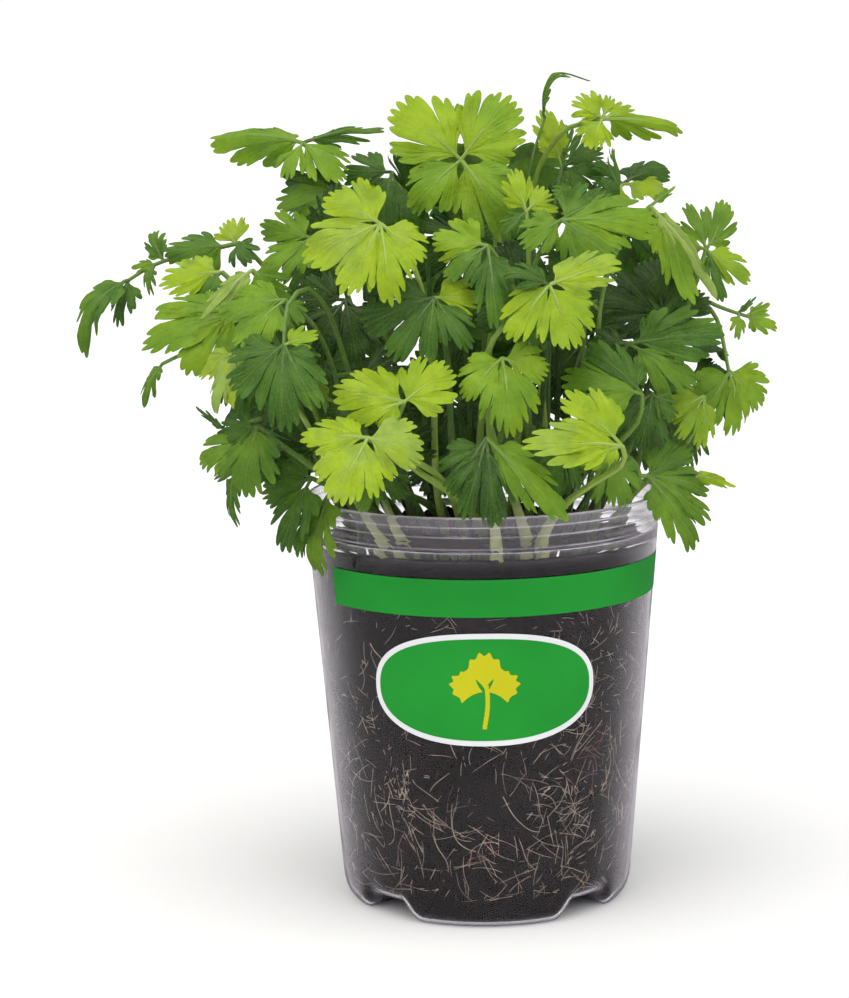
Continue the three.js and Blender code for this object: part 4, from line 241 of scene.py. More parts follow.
        [(2,-13.9,99.7),(2.4,-17.6,107.1),(3.3,-21.1,114.4),(4.6,-24.4,121.8),(6.1,-27.5,129.3),(7.6,-30.4,136.8),(8.7,-33.3,144.4),(9.3,-36,152.1),(8.9,-38.6,159.8),(6.6,-41.1,167.3),(2.1,-43.1,173.8)],
        [],
        [
            ((2.1,-43.1,173.8),(-11.4,-42.3,175.4),(0.00,-0.91,0.42),12.9,0.10,0.16,2.3,0.16,33,80),
            ((2.1,-43.1,173.8),(-8.1,-46.5,166.5),(0.00,-0.91,0.42),10.8,0.10,0.16,1.3,0.14,38,37),
            ((2.1,-43.1,173.8),(4.3,-52,154.7),(0.00,-0.91,0.42),10.8,0.10,0.16,1.1,0.16,80,51),
        ]),
    "leaf_center_right": ("leaf_young",
        [(11.2,-27.4,97.5),(9.5,-30.1,104.7),(7.4,-32.7,111.8),(5.1,-35.3,118.8),(2.8,-37.8,125.9),(1,-40.4,133.1),(0.3,-42.9,140.4),(1.4,-45.3,147.8),(5.2,-47.3,154.3),(10.8,-48.7,159.6),(16.7,-50,164.7)],
        [],
        [
            ((16.7,-50,164.7),(34.4,-46.1,169.7),(0.08,-0.90,0.42),11.3,0.10,0.16,3.4,0.08,80,56),
            ((16.7,-50,164.7),(6.6,-56.7,152.2),(0.08,-0.90,0.42),12.8,0.10,0.16,2.6,0.07,43,56),
            ((16.7,-50,164.7),(22.3,-56.3,150.1),(0.08,-0.90,0.42),16.9,0.10,0.16,2.6,0.11,59,36),
            ((16.7,-50,164.7),(6.6,-52.2,168.1),(0.12,-0.80,0.59),7.7,0.10,0.16,0.6,0.10,42,71),
        ]),
    "leaf_center_bright": ("leaf_mid",
        [(3.3,-34.6,96.4),(3.2,-35.5,101.7),(2.9,-36.8,107),(2.6,-38.5,112.1),(2.2,-40.4,117.2),(1.9,-42.4,122.2),(1.8,-44.6,127.1),(1.9,-46.7,132.1),(2.4,-48.5,137.2),(3.5,-50,142.3),(5.2,-50.8,147.3)],
        [],
        [
            ((5.2,-50.8,147.3),(-4.1,-54.1,138.1),(0.00,-0.94,0.34),12.3,0.10,0.16,2.3,0.10,36,80),
            ((5.2,-50.8,147.3),(7.3,-57.4,129.7),(0.03,-0.94,0.34),16.4,0.10,0.16,2.3,0.10,45,37),
            ((5.2,-50.8,147.3),(16.2,-52.2,143.4),(0.00,-0.94,0.34),12.3,0.11,0.16,2.3,0.12,80,32),
        ]),
    "leaf_right_yellow": ("leaf_young",
        [(14.6,-29.3,96.9),(15.6,-31.3,101),(17.1,-33.7,104.7),(19.2,-36.4,108),(21.6,-39.3,110.8),(24.2,-42.3,113.3),(27,-45.4,115.5),(29.8,-48.5,117.7),(32.4,-51.8,119.9),(34.4,-55.1,122.6),(33.6,-57.3,126.4)],
        [],
        [
            ((33.6,-57.3,126.4),(9.6,-61.1,127.3),(0.16,-0.89,0.42),13.2,0.10,0.16,3.1,0.06,52,52),
            ((33.6,-57.3,126.4),(19.9,-53.7,139),(0.13,-0.91,0.40),13.8,0.10,0.16,2.8,0.21,39,80),
            ((33.6,-57.3,126.4),(23.4,-60.6,123.2),(0.16,-0.89,0.42),6.6,0.10,0.16,2.6,0.16,80,46),
        ]),
    "leaf_over_rim_right": ("leaf_mid",
        [(27.8,-15.5,97.1),(28.4,-16.6,100.5),(28.8,-17.9,104),(29.1,-19.4,107.4),(29.5,-21,110.7),(30.1,-22.7,113.9),(31,-24.7,116.9),(32.6,-26.8,119.4),(35.6,-28.6,120.2),(38.3,-28.8,118.1),(39.6,-28.1,114.7)],
        [[(39.6,-28.1,114.7),(45.3,-25.5,114.5),(53.1,-22,114.2)]],
        [
            ((41.3,-27.3,114.7),(53.3,-19.8,120),(0.40,-0.86,0.31),11.7,0.10,0.16,1.2,0.06,80,42),
            ((42.1,-26.9,114.7),(58.5,-21,109.9),(0.40,-0.86,0.31),9.1,0.10,0.16,1.7,0.06,54,54),
            ((41.4,-27.3,114.7),(58,-24,102.1),(0.40,-0.86,0.31),10.7,0.10,0.16,1.7,0.10,53,53),
            ((41.3,-27.3,114.7),(53.8,-28.2,95.8),(0.40,-0.86,0.31),11.2,0.10,0.16,1.7,0.13,53,80),
            ((53.1,-22,114.2),(64.6,-18.1,110.1),(0.40,-0.86,0.31),3.2,0.10,0.16,2.7,0.06,80,80),
        ]),
    "leaf_front_dark": ("leaf_mature",
        [(7.3,-23.9,98.3),(6.8,-26.3,102),(6.4,-29.1,105.2),(5.9,-32.4,108.1),(5.4,-35.8,110.8),(4.8,-39.4,113.2),(4.2,-43,115.7),(3.6,-46.4,118.2),(2.8,-49.7,121.1),(2,-52.3,124.4),(1.1,-54,128.4)],
        [],
        [
            ((1.1,-54,128.4),(-7.3,-56.7,115.7),(0.00,-0.98,0.21),12.3,0.10,0.16,0.5,0.20,37,80),
            ((1.1,-54,128.4),(-4,-57.8,110.3),(0.00,-0.98,0.21),9.2,0.10,0.16,0.5,0.23,50,50),
            ((1.1,-54,128.4),(3,-58.2,108.5),(0.00,-0.98,0.21),11.2,0.10,0.16,0.5,0.22,46,46),
            ((1.1,-54,128.4),(20,-58.2,108.8),(0.00,-0.98,0.21),10.7,0.10,0.16,1.8,0.14,80,58),
        ]),
    "leaf_front_striped": ("leaf_mid",
        [(6,-19.5,99),(7,-21.6,102.5),(8.1,-24.2,105.7),(9.3,-27.1,108.5),(10.5,-30.2,111),(11.8,-33.5,113.3),(13.2,-36.7,115.6),(14.7,-39.8,118),(16.3,-42.6,120.7),(18,-44.8,123.9),(19.6,-46,127.5)],
        [],
        [
            ((19.6,-46,127.5),(15.5,-49.4,113.1),(0.09,-0.97,0.21),11.9,0.10,0.16,1.0,0.10,41,80),
            ((19.6,-46,127.5),(23.8,-48.4,114.5),(0.09,-0.97,0.21),7.2,0.10,0.16,1.0,0.15,80,50),
        ]),
    "leaf_right_fan": ("leaf_mid",
        [(14.9,-15.3,98.9),(16.2,-16.9,101.9),(17.8,-19,104.5),(19.6,-21.4,106.5),(21.5,-23.9,108.3),(23.5,-26.5,109.8),(25.5,-29.1,111.4),(27.6,-31.7,113),(29.5,-34,115),(31.2,-35.8,117.6),(32.2,-36.3,121.1)],
        [[(30.1,-34.7,115.8),(26.7,-34.7,118.3)]],
        [
            ((32.2,-36.3,121.1),(26.8,-39.8,110.2),(0.34,-0.94,0.05),6.3,0.10,0.16,1.3,0.13,52,80),
            ((32.2,-36.3,121.1),(34.6,-37.7,108.7),(0.17,-0.98,0.14),13.1,0.10,0.16,1.3,0.14,80,32),
            ((26.7,-34.7,118.3),(12.4,-30.8,122.7),(-0.03,-0.96,0.29),17.7,0.15,0.28,0.5,0.12,71,74),
        ]),
    "leaf_right_pale": ("leaf_mid",
        [(14.6,-19.8,98.4),(15.4,-21.7,103.2),(17.2,-23.8,107.6),(19.7,-26.2,111.5),(22.8,-28.7,114.9),(26.2,-31.2,118),(29.8,-33.6,120.9),(33.5,-35.9,123.9),(36.9,-37.9,127.3),(39.4,-39.3,131.6),(39.5,-39.1,136.7)],
        [],
        [
            ((39.5,-39.1,136.7),(26.5,-35.8,148.9),(0.08,-0.94,0.34),12.5,0.10,0.16,1.1,0.12,43,80),
            ((39.5,-39.1,136.7),(19.7,-39.1,141.5),(0.08,-0.94,0.34),13.1,0.10,0.16,1.8,0.12,80,45),
        ]),
    "leaf_right_dark": ("leaf_mature",
        [(26.2,-8.8,97.9),(28.3,-9.5,103.4),(30.7,-10.5,108.9),(33.1,-11.6,114.2),(35.6,-12.7,119.6),(38,-13.9,124.9),(40.4,-14.9,130.3),(42.7,-15.6,135.8),(44.6,-15.9,141.5),(46,-15.4,147.3),(46.6,-14,153.1)],
        [],
        [
            ((46.6,-14,153.1),(28.4,-14.7,160),(0.16,-0.93,0.34),15.7,0.10,0.16,0.1,0.12,80,40),
            ((46.6,-14,153.1),(42.9,-9.5,167),(0.16,-0.93,0.34),14.1,0.10,0.16,0.1,0.18,33,49),
            ((46.6,-14,153.1),(58.1,-10.5,157.2),(0.16,-0.93,0.34),11.9,0.10,0.16,0.5,0.11,44,80),
        ]),
    "leaf_right_mid": ("leaf_mid",
        [(19.9,-11,98.7),(21.3,-12.6,103.8),(22.5,-14.4,108.9),(23.5,-16.4,114),(24.5,-18.5,119),(25.5,-20.7,124),(26.7,-22.7,129.1),(28.2,-24.5,134.1),(30.3,-25.9,139),(33.1,-26.5,143.7),(36.8,-26,147.8)],
        [],
        [
            ((36.8,-26,147.8),(60.7,-21.2,149.5),(0.16,-0.93,0.34),15.4,0.10,0.16,1.1,0.14,80,45),
            ((36.8,-26,147.8),(53.7,-27,137.1),(0.16,-0.93,0.34),14.9,0.10,0.16,1.3,0.21,38,80),
            ((36.8,-26,147.8),(27.3,-27.6,148.1),(0.16,-0.93,0.34),8.0,0.10,0.16,0.3,0.24,57,66),
        ]),
    "leaf_right_low_dark": ("leaf_mature",
        [(20.5,-20.8,97.6),(22.1,-22.3,101.6),(24.2,-24,105.4),(26.4,-25.6,109.1),(28.8,-27.3,112.7),(31.4,-28.8,116.2),(33.9,-30.2,119.8),(36.5,-31.3,123.5),(38.9,-32.1,127.4),(40.9,-32.3,131.5),(42.4,-31.7,135.8)],
        [],
        [
            ((42.4,-31.7,135.8),(30.8,-35.6,129),(0.17,-0.95,0.26),12.1,-0.01,0.16,0.4,0.15,36,80),
            ((42.4,-31.7,135.8),(39.7,-35.7,122.9),(0.17,-0.95,0.26),12.7,0.02,0.16,0.4,0.19,40,33),
            ((42.4,-31.7,135.8),(47.8,-32.4,129.8),(0.17,-0.95,0.26),6.9,0.11,0.16,0.4,0.17,80,36),
        ]),
    "leaf_right_light": ("leaf_mid",
        [(31.4,-9.6,96.8),(33.5,-10.3,100.9),(36.2,-11.1,104.6),(39.1,-11.9,108),(42.3,-12.7,111.2),(45.5,-13.6,114.4),(48.7,-14.6,117.6),(51.6,-15.5,121),(54,-16.4,124.8),(55.7,-17.2,129),(56.4,-17.9,133.5)],
        [],
        [
            ((56.4,-17.9,133.5),(46,-22.5,128.6),(0.24,-0.91,0.34),9.7,0.10,0.16,2.5,0.13,39,80),
            ((56.4,-17.9,133.5),(54.8,-23.1,120.7),(0.24,-0.91,0.34),8.1,0.10,0.16,2.3,0.17,80,46),
            ((56.4,-17.9,133.5),(48.9,-23.8,123.1),(0.24,-0.91,0.34),7.0,0.10,0.16,2.3,0.22,49,49),
        ]),
    "leaf_far_right": ("leaf_mid",
        [(35.1,-4.5,96.3),(37.3,-4.4,102.5),(39.2,-4.6,108.8),(40.8,-5.1,115.2),(42.3,-5.6,121.6),(43.8,-6.1,128.1),(45.4,-6.5,134.5),(47.3,-6.5,140.8),(49.7,-5.9,146.9),(52.8,-4.4,152.5),(56.8,-1.5,157)],
        [[(56.8,-1.5,157),(61.4,-1.6,150.7),(63.9,-5,138.1)],[(56.8,-1.5,157),(62.6,0.2,154.2),(69,2.3,151.8)],[(46.7,-6.6,138.7),(53.1,-1.3,137.4)],[(50.7,-5.6,148.9),(52.1,-1.8,145.5)]],
        [
            ((63.9,-5,138.1),(53.2,-14.5,125.4),(0.40,-0.86,0.31),13.7,0.10,0.16,1.7,0.09,43,80),
            ((63.9,-5,138.1),(65.3,-9.9,122.6),(0.40,-0.86,0.31),10.4,0.10,0.16,2.1,0.10,46,46),
            ((63.9,-4.9,138.5),(72,-4.6,128.6),(0.40,-0.86,0.31),13.2,0.10,0.16,2.2,0.08,80,33),
            ((69,2.3,151.8),(77.6,5.1,148.3),(0.40,-0.86,0.31),6.7,0.10,0.16,2.1,0.06,45,64),
            ((69,2.3,151.8),(76.2,6.7,154.7),(0.40,-0.86,0.31),3.3,0.10,0.16,2.1,0.10,61,61),
            ((67,1.7,152.5),(66.1,-1.2,146),(0.40,-0.86,0.31),5.0,0.10,0.16,2.1,0.17,50,80),
            ((66.8,1.6,152.6),(71.6,5.2,156.5),(0.40,-0.86,0.31),1.7,0.10,0.16,1.2,0.06,80,71),
            ((53.1,-1.3,137.4),(67.5,4,129.3),(0.76,-0.47,0.45),16.9,0.14,0.18,0.2,0.12,78,76),
            ((52.1,-1.8,145.5),(57.2,17.2,145),(0.25,-0.55,0.80),20.6,0.07,0.11,0.6,0.12,69,71),
        ]),
    "leaf_right_upper": ("leaf_mid",
        [(27.8,-3.7,97.8),(31.4,-5.3,104.8),(34.8,-7.2,111.8),(38,-9.3,118.8),(41.1,-11.4,125.9),(44.1,-13.4,133),(46.9,-15.2,140.3),(49.7,-16.5,147.7),(52.3,-17.2,155.2),(54.8,-16.8,162.8),(57.2,-15.2,170.2)],
        [],
        [
            ((57.2,-15.2,170.2),(52.5,-13.5,182),(0.33,-0.91,0.26),8.1,0.10,0.16,1.7,0.12,46,46),
            ((57.2,-15.2,170.2),(63.5,-9.5,182.1),(0.33,-0.91,0.26),10.8,0.10,0.16,1.7,0.13,41,65),
            ((57.2,-15.2,170.2),(68.2,-13.6,161.6),(0.33,-0.91,0.26),8.6,0.10,0.16,2.5,0.08,62,48),
            ((57.2,-15.2,170.2),(61,-17.2,158.2),(0.33,-0.91,0.26),7.0,0.10,0.16,0.9,0.16,48,70),
            ((57.2,-15.2,170.2),(46.4,-18,174.1),(0.33,-0.91,0.26),9.2,0.10,0.16,1.9,0.18,75,38),
        ]),
    "leaf_right_upper_pale": ("leaf_young",
        [(24.7,-13.7,97.8),(26.8,-15,106.3),(28.1,-16.6,114.9),(28.8,-18.2,123.7),(29,-19.9,132.4),(29.2,-21.4,141.2),(29.6,-22.7,150),(30.6,-23.6,158.7),(32.9,-23.9,167.3),(36.9,-23.4,175.2),(42.7,-22,181.8)],
        [[(30.2,-23.3,155.8),(25.5,-25.2,160.2)],[(34.1,-23.8,170),(31.6,-23.4,178.2)]],
        [
            ((42.7,-22,181.8),(59.2,-21.1,159.1),(0.33,-0.92,0.21),5.9,0.10,0.30,4.0,0.09,80,73),
            ((42.7,-22,181.8),(53.5,-23.5,157.8),(0.33,-0.92,0.21),10.7,0.10,0.16,2.0,0.18,56,80),
            ((42.7,-22,181.8),(48.9,-18.7,186.3),(0.33,-0.92,0.21),2.4,0.10,0.16,1.6,0.30,80,63),
            ((25.5,-25.2,160.2),(19,-33.2,172.5),(0.34,-0.87,0.37),19.0,0.10,0.21,0.5,0.12,71,68),
            ((31.6,-23.4,178.2),(35.5,-14.6,195.2),(0.96,-0.19,-0.19),18.1,0.12,0.16,1.0,0.12,78,76),
        ]),
    "leaf_upper_right_round": ("leaf_mature",
        [(22,3.5,98.8),(24,3.6,107.6),(25.2,3.4,116.6),(25.9,2.8,125.7),(26.4,2.1,134.7),(26.7,1.4,143.7),(27.1,0.8,152.8),(27.9,0.7,161.9),(29.5,1.2,170.8),(32.5,2.9,179.1),(37.2,6,186.2)],
        [[(30.3,1.6,173.6),(28.6,1.1,175.4)]],
        [
            ((37.2,6,186.2),(30.3,7.9,191.4),(0.21,-0.79,0.57),10.5,0.10,0.50,0.6,0.17,64,44),
            ((37.2,6,186.2),(49.8,12.6,190.7),(0.21,-0.79,0.57),15.5,0.10,0.70,0.6,0.15,69,32),
            ((37.2,6,186.2),(48.7,7.4,183.9),(0.21,-0.79,0.57),11.1,0.10,0.16,3.1,0.21,32,65),
            ((37.2,6,186.2),(34.3,-0.1,178.8),(0.21,-0.79,0.57),7.2,0.10,0.16,2.8,0.26,50,54),
            ((28.6,1.1,175.4),(19.6,-3.3,186),(0.48,-0.38,0.79),18.7,0.10,0.16,1.3,0.12,78,74),
        ]),
    "leaf_top_right": ("leaf_young",
        [(15.2,-6.1,99.5),(16.2,-3.8,111),(16.2,-1.1,122.5),(15.5,1.7,133.9),(14.4,4.4,145.3),(13.3,6.8,156.8),(12.7,8.6,168.4),(13.1,9.3,180.1),(16,7.9,191.4),(22.2,3.4,200.2),(31.8,-2.2,203.1)],
        [],
        [
            ((31.8,-2.2,203.1),(25,-0.6,209),(0.16,-0.89,0.42),9.9,0.10,0.16,2.7,0.12,55,45),
            ((31.8,-2.2,203.1),(34.5,1.1,209.1),(0.16,-0.89,0.42),6.6,0.10,0.16,2.7,0.21,33,33),
            ((31.8,-2.2,203.1),(40.6,0.5,205.7),(0.16,-0.89,0.42),6.6,0.10,0.16,2.7,0.19,41,41),
            ((31.8,-2.2,203.1),(28.2,-6.4,195.7),(0.16,-0.89,0.42),10.4,0.10,0.16,2.9,0.14,55,56),
            ((31.8,-2.2,203.1),(52.6,0.1,200.2),(0.16,-0.89,0.42),10.4,0.10,0.80,2.3,0.09,54,74),
        ]),
    "leaf_top_sprig": ("leaf_mid",
        [(7.2,7.9,100),(8.8,8.2,110.4),(9.7,8.1,120.8),(10.2,7.8,131.3),(10.4,7.3,141.7),(10.4,6.8,152.2),(10.5,6.5,162.7),(10.9,6.5,173.2),(12,6.9,183.6),(14.1,8.2,193.7),(17.5,10.5,203.4)],
        [],
        [
            ((17.5,10.5,203.4),(29,10.5,213.2),(-0.63,-0.25,0.74),4.5,0.46,0.16,1.2,0.06,80,80),
        ]),
    "leaf_upper_right_inner": ("leaf_mature",
        [(16,1.2,99.6),(16.8,2.4,108.7),(17.2,3,117.9),(17.5,3.3,127.1),(17.6,3.4,136.3),(17.7,3.4,145.5),(17.9,3.5,154.7),(18.2,3.9,163.9),(18.8,5,173.1),(20,7,182),(21.8,10.3,190.4)],
        [[(19.1,5.5,176.1),(16.6,2.6,178.7)],[(17.7,3.4,145.5),(13.7,0.6,145.7)],[(18,3.7,160.9),(18.5,-0.2,161.6)]],
        [
            ((21.8,10.3,190.4),(30.3,12.7,194.9),(0.08,-0.94,0.34),10.6,0.10,0.16,0.6,0.16,34,32),
            ((21.8,10.3,190.4),(21.5,13.6,199.6),(0.08,-0.94,0.34),9.5,0.10,0.16,0.9,0.23,32,32),
            ((21.8,10.3,190.4),(31.2,10.3,188.2),(0.08,-0.94,0.34),7.8,0.10,0.16,0.6,0.20,36,80),
            ((21.8,10.3,190.4),(17.4,14.8,203.8),(0.08,-0.94,0.34),7.8,0.10,0.16,2.9,0.19,80,49),
            ((16.6,2.6,178.7),(8.9,-7.9,180.3),(0.38,-0.73,0.57),16.8,0.10,0.16,0.8,0.12,68,80),
            ((13.7,0.6,145.7),(5.9,-9.7,152.4),(0.37,-0.63,0.69),20.7,0.08,0.12,0.2,0.12,71,73),
            ((18.5,-0.2,161.6),(10.7,-9.1,170.9),(0.29,-0.49,0.82),16.5,0.08,0.19,0.4,0.12,73,76),
        ]),
    "leaf_upper_center_yellow": ("leaf_young",
        [(6.9,-12.6,99.7),(7.7,-15.2,107.7),(8.5,-18,115.7),(9.3,-20.8,123.6),(10.1,-23.7,131.6),(10.9,-26.3,139.6),(11.6,-28.6,147.7),(12.1,-30.4,156),(12.4,-31.4,164.4),(12.3,-31.4,172.9),(11.7,-30,181.2)],
        [],
        [
            ((11.7,-30,181.2),(8.4,-26.2,191.4),(0.08,-0.92,0.37),8.9,0.10,0.16,3.1,0.14,76,39),
            ((11.7,-30,181.2),(17.4,-27.4,186.4),(0.08,-0.92,0.37),12.1,0.10,0.16,3.1,0.23,32,80),
            ((11.7,-30,181.2),(5.2,-33,175.1),(0.08,-0.92,0.37),6.3,0.10,0.16,1.0,0.12,74,64),
        ]),
    "leaf_right_inner_dark": ("leaf_mature",
        [(18.1,13.4,98.7),(19,13.3,106.5),(19.5,12.8,114.4),(19.8,12.2,122.2),(20,11.5,130),(20.2,10.7,137.9),(20.4,10.2,145.7),(20.8,10,153.5),(21.7,10.4,161.3),(23.1,11.6,169),(25.2,14,176.1)],
        [],
        [
            ((25.2,14,176.1),(19.9,16.6,184.5),(0.08,-0.94,0.34),11.2,0.10,0.16,0.0,0.18,80,39),
            ((25.2,14,176.1),(33.6,17.1,182.7),(0.08,-0.94,0.34),12.3,0.10,0.16,0.0,0.17,43,34),
            ((25.2,14,176.1),(37.5,13.5,171.8),(0.08,-0.94,0.34),9.5,0.10,0.16,0.2,0.16,40,80),
        ]),
    "leaf_right_center_mid": ("leaf_mid",
        [(10.9,-19.6,98.7),(11.8,-22,106.8),(12.1,-24.3,115),(11.9,-26.6,123.2),(11.5,-28.8,131.4),(11,-30.9,139.6),(10.8,-32.7,147.9),(11.1,-34.4,156.3),(12.3,-35.6,164.6),(15.2,-36.2,172.5),(20.1,-36,179.4)],
        [],
        [
            ((20.1,-36,179.4),(32.7,-32.5,185.4),(0.08,-0.92,0.37),13.6,0.10,0.16,1.2,0.09,80,36),
            ((20.1,-36,179.4),(44.3,-34.3,178.5),(0.08,-0.92,0.37),15.1,0.10,0.16,1.9,0.06,48,48),
            ((20.1,-36,179.4),(32.8,-38.8,169.7),(0.08,-0.92,0.37),14.6,0.10,0.16,1.5,0.13,36,68),
            ((20.1,-36,179.4),(10.2,-42.5,174.2),(0.16,-0.95,0.27),10.4,0.10,0.16,1.4,0.12,54,80),
        ]),
    "leaf_center_inner_dark": ("leaf_mature",
        [(12,-10.9,99.5),(12.1,-12.3,105.7),(12.7,-13.8,111.9),(13.5,-15.4,117.9),(14.4,-17.1,124),(15.3,-18.7,130.1),(16.1,-20.2,136.2),(16.4,-21.6,142.4),(15.9,-22.5,148.6),(14.1,-22.9,154.7),(10.6,-22.3,159.9)],
        [[(13.8,-16,120),(11.5,-12.4,122.3)],[(15.5,-22.7,150.7),(14.8,-28.6,152.3)]],
        [
            ((10.6,-22.3,159.9),(7.2,-18.6,171.2),(0.00,-0.95,0.31),10.7,0.10,0.16,0.1,0.12,66,80),
            ((10.6,-22.3,159.9),(14.4,-25,151.5),(0.00,-0.95,0.31),9.6,0.10,0.16,0.1,0.15,80,43),
            ((10.6,-22.3,159.9),(1.5,-24.3,153.6),(0.00,-0.95,0.31),9.6,0.10,0.16,0.5,0.19,46,59),
            ((11.5,-12.4,122.3),(3.5,6.2,122.2),(0.91,0.40,0.09),17.8,0.13,0.10,0.2,0.12,74,73),
            ((14.8,-28.6,152.3),(22.6,-42.7,156.4),(-0.12,-0.53,0.84),19.6,0.13,0.27,1.2,0.12,79,70),
        ]),
    "leaf_left_inner_dark": ("leaf_mature",
        [(-9.4,-3.1,100.1),(-11.8,-5.3,106.1),(-13.7,-7.6,112.3),(-15.4,-10,118.5),(-16.9,-12.5,124.7),(-18.4,-15,130.9),(-20.1,-17.3,137.1),(-22.1,-19.4,143.3),(-24.9,-21.1,149.3),(-28.8,-22.1,154.9),(-33.8,-22,159.5)],
        [],
        [
            ((-33.8,-22,159.5),(-41.2,-24.4,148.2),(-0.08,-0.96,0.26),13.9,0.10,0.16,0.0,0.12,33,38),
            ((-33.8,-22,159.5),(-31.2,-25.8,146.2),(-0.08,-0.96,0.26),11.7,0.10,0.16,0.0,0.13,80,37),
            ((-33.8,-22,159.5),(-43.7,-21.1,159.5),(-0.08,-0.96,0.26),10.7,0.10,0.16,0.0,0.19,32,80),
        ]),
    "leaf_left_inner_low": ("leaf_mature",
        [(-14,-15,99),(-15.6,-15.1,102.9),(-17.4,-15.4,106.8),(-19.4,-15.7,110.6),(-21.5,-16,114.3),(-23.7,-16.3,117.9),(-26.2,-16.4,121.4),(-28.8,-16.2,124.7),(-31.6,-15.6,127.8),(-34.6,-14.2,130.5),(-37.7,-12,132.5)],
        [[(-23.7,-16.3,117.9),(-23.9,-21.9,120.7)]],
        [
            ((-37.7,-12,132.5),(-46.4,-10.2,136.6),(-0.08,-0.96,0.26),4.9,0.10,0.16,2.9,0.19,50,80),
            ((-37.7,-12,132.5),(-33.1,-14.1,123.9),(-0.04,-0.96,0.28),9.8,0.09,0.16,0.3,0.12,80,51),
            ((-37.7,-12,132.5),(-45.3,-10.7,127.6),(-0.09,-0.96,0.26),9.2,0.08,0.16,0.3,0.21,44,38),
            ((-23.9,-21.9,120.7),(-23,-32.4,133.7),(-0.45,-0.88,0.16),20.8,0.07,0.18,0.2,0.12,70,69),
        ]),
    "leaf_inner_center": ("leaf_mature",
        [(-5.8,8,100.1),(-6.1,7.5,103.2),(-6.4,7.5,106.4),(-6.7,7.8,109.6),(-7,8.6,112.7),(-7.2,9.7,115.7),(-7.4,11.1,118.5),(-7.5,12.7,121.3),(-7.7,14.6,123.8),(-7.8,16.8,126.2),(-7.8,19.1,128.4)],
        [[(-7.2,9.7,115.7),(-8.9,7.8,116.7)]],
        [
            ((-7.8,19.1,128.4),(-21.3,16.8,119.7),(0.00,-0.97,0.26),17.6,0.10,0.16,0.2,0.10,34,65),
            ((-7.8,19.1,128.4),(-7.6,23.2,143.5),(0.00,-0.97,0.26),17.6,0.12,0.16,0.2,0.06,65,65),
            ((-7.8,19.1,128.4),(7,16.4,118.3),(0.00,-0.97,0.26),17.6,0.10,0.16,0.2,0.09,67,35),
            ((-7.8,19.1,128.4),(-6.9,14.9,109.4),(0.03,-0.97,0.26),15.9,0.10,0.16,0.2,0.08,40,40),
            ((-8.9,7.8,116.7),(-4.1,-4.3,108.4),(0.07,-0.71,0.70),20.2,0.16,0.24,0.0,0.12,80,68),
        ]),
    "leaf_inner_upper": ("leaf_mature",
        [(-2.3,9.6,100.1),(-2.3,10.4,107.6),(-2.5,10.4,115.1),(-2.9,9.9,122.7),(-3.4,9.1,130.2),(-3.8,8.3,137.7),(-4.1,8,145.2),(-4.1,8.5,152.7),(-3.7,10.4,160),(-2.7,14,166.6),(-1.3,19,172)],
        [],
        [
            ((-1.3,19,172),(-16.2,16.9,166),(0.00,-0.94,0.34),16.9,0.10,0.16,0.4,0.07,41,61),
            ((-1.3,19,172),(-2.2,23.9,185.5),(0.00,-0.94,0.34),15.8,0.10,0.16,0.4,0.08,56,48),
            ((-1.3,19,172),(13.5,19.1,172.3),(0.00,-0.94,0.34),16.9,0.10,0.16,0.4,0.07,50,48),
            ((-1.3,19,172),(-0.5,13.6,157.1),(0.00,-0.94,0.34),16.4,0.09,0.16,0.4,0.07,49,40),
        ]),
    "leaf_inner_left": ("leaf_mature",
        [(-18.4,7.9,99.1),(-20.6,8,103.4),(-23.2,8,107.4),(-26.1,7.9,111.3),(-29.2,7.9,114.9),(-32.4,7.8,118.6),(-35.5,7.8,122.3),(-38.4,7.8,126.1),(-40.8,8.1,130.3),(-42.1,8.8,134.8),(-41.8,9.8,139.5)],
        [],
        [
            ((-41.8,9.8,139.5),(-53.2,8.9,131.4),(-0.18,-0.94,0.28),16.2,0.10,0.16,0.1,0.09,39,69),
            ((-41.8,9.8,139.5),(-40.7,13.2,152.9),(-0.17,-0.95,0.26),15.1,0.10,0.16,0.1,0.08,66,51),
            ((-41.8,9.8,139.5),(-27.2,5.2,137.4),(-0.14,-0.92,0.37),16.2,0.10,0.16,0.1,0.07,55,38),
            ((-41.8,9.8,139.5),(-37.7,5,124.7),(-0.17,-0.95,0.26),14.6,0.10,0.16,0.1,0.07,38,42),
        ]),
    "leaf_inner_right": ("leaf_mature",
        [(21.2,8.3,98.7),(21.7,8.8,103.5),(22.1,9.1,108.4),(22.4,9.2,113.2),(22.7,9.3,118.1),(23,9.4,122.9),(23.4,9.7,127.8),(24,10.3,132.6),(24.9,11.4,137.2),(26.2,13.4,141.4),(28,16.4,144.8)],
        [],
        [
            ((28,16.4,144.8),(17.4,14.3,133),(0.13,-0.96,0.26),16.4,0.10,0.16,0.1,0.08,33,76),
            ((28,16.4,144.8),(28.8,20.5,158.7),(-0.06,-0.96,0.27),15.2,0.11,0.16,0.1,0.07,72,60),
            ((28,16.4,144.8),(41.2,16.4,137.7),(0.13,-0.96,0.26),16.4,0.10,0.16,0.1,0.07,63,32),
            ((28,16.4,144.8),(31.5,12.5,128.6),(0.13,-0.96,0.26),15.8,0.10,0.16,0.1,0.10,36,36),
        ]),
    "leaf_back_left_low": ("leaf_mid",
        [(-28.8,16.1,96.8),(-30.1,17.5,100.5),(-31.5,19.4,104),(-33,21.5,107.2),(-34.5,23.8,110.3),(-36.2,26.2,113.3),(-38.1,28.5,116.2),(-40.1,30.7,119.1),(-42.5,32.5,122.1),(-45.1,33.8,125),(-48,34,128)],
        [],
        [
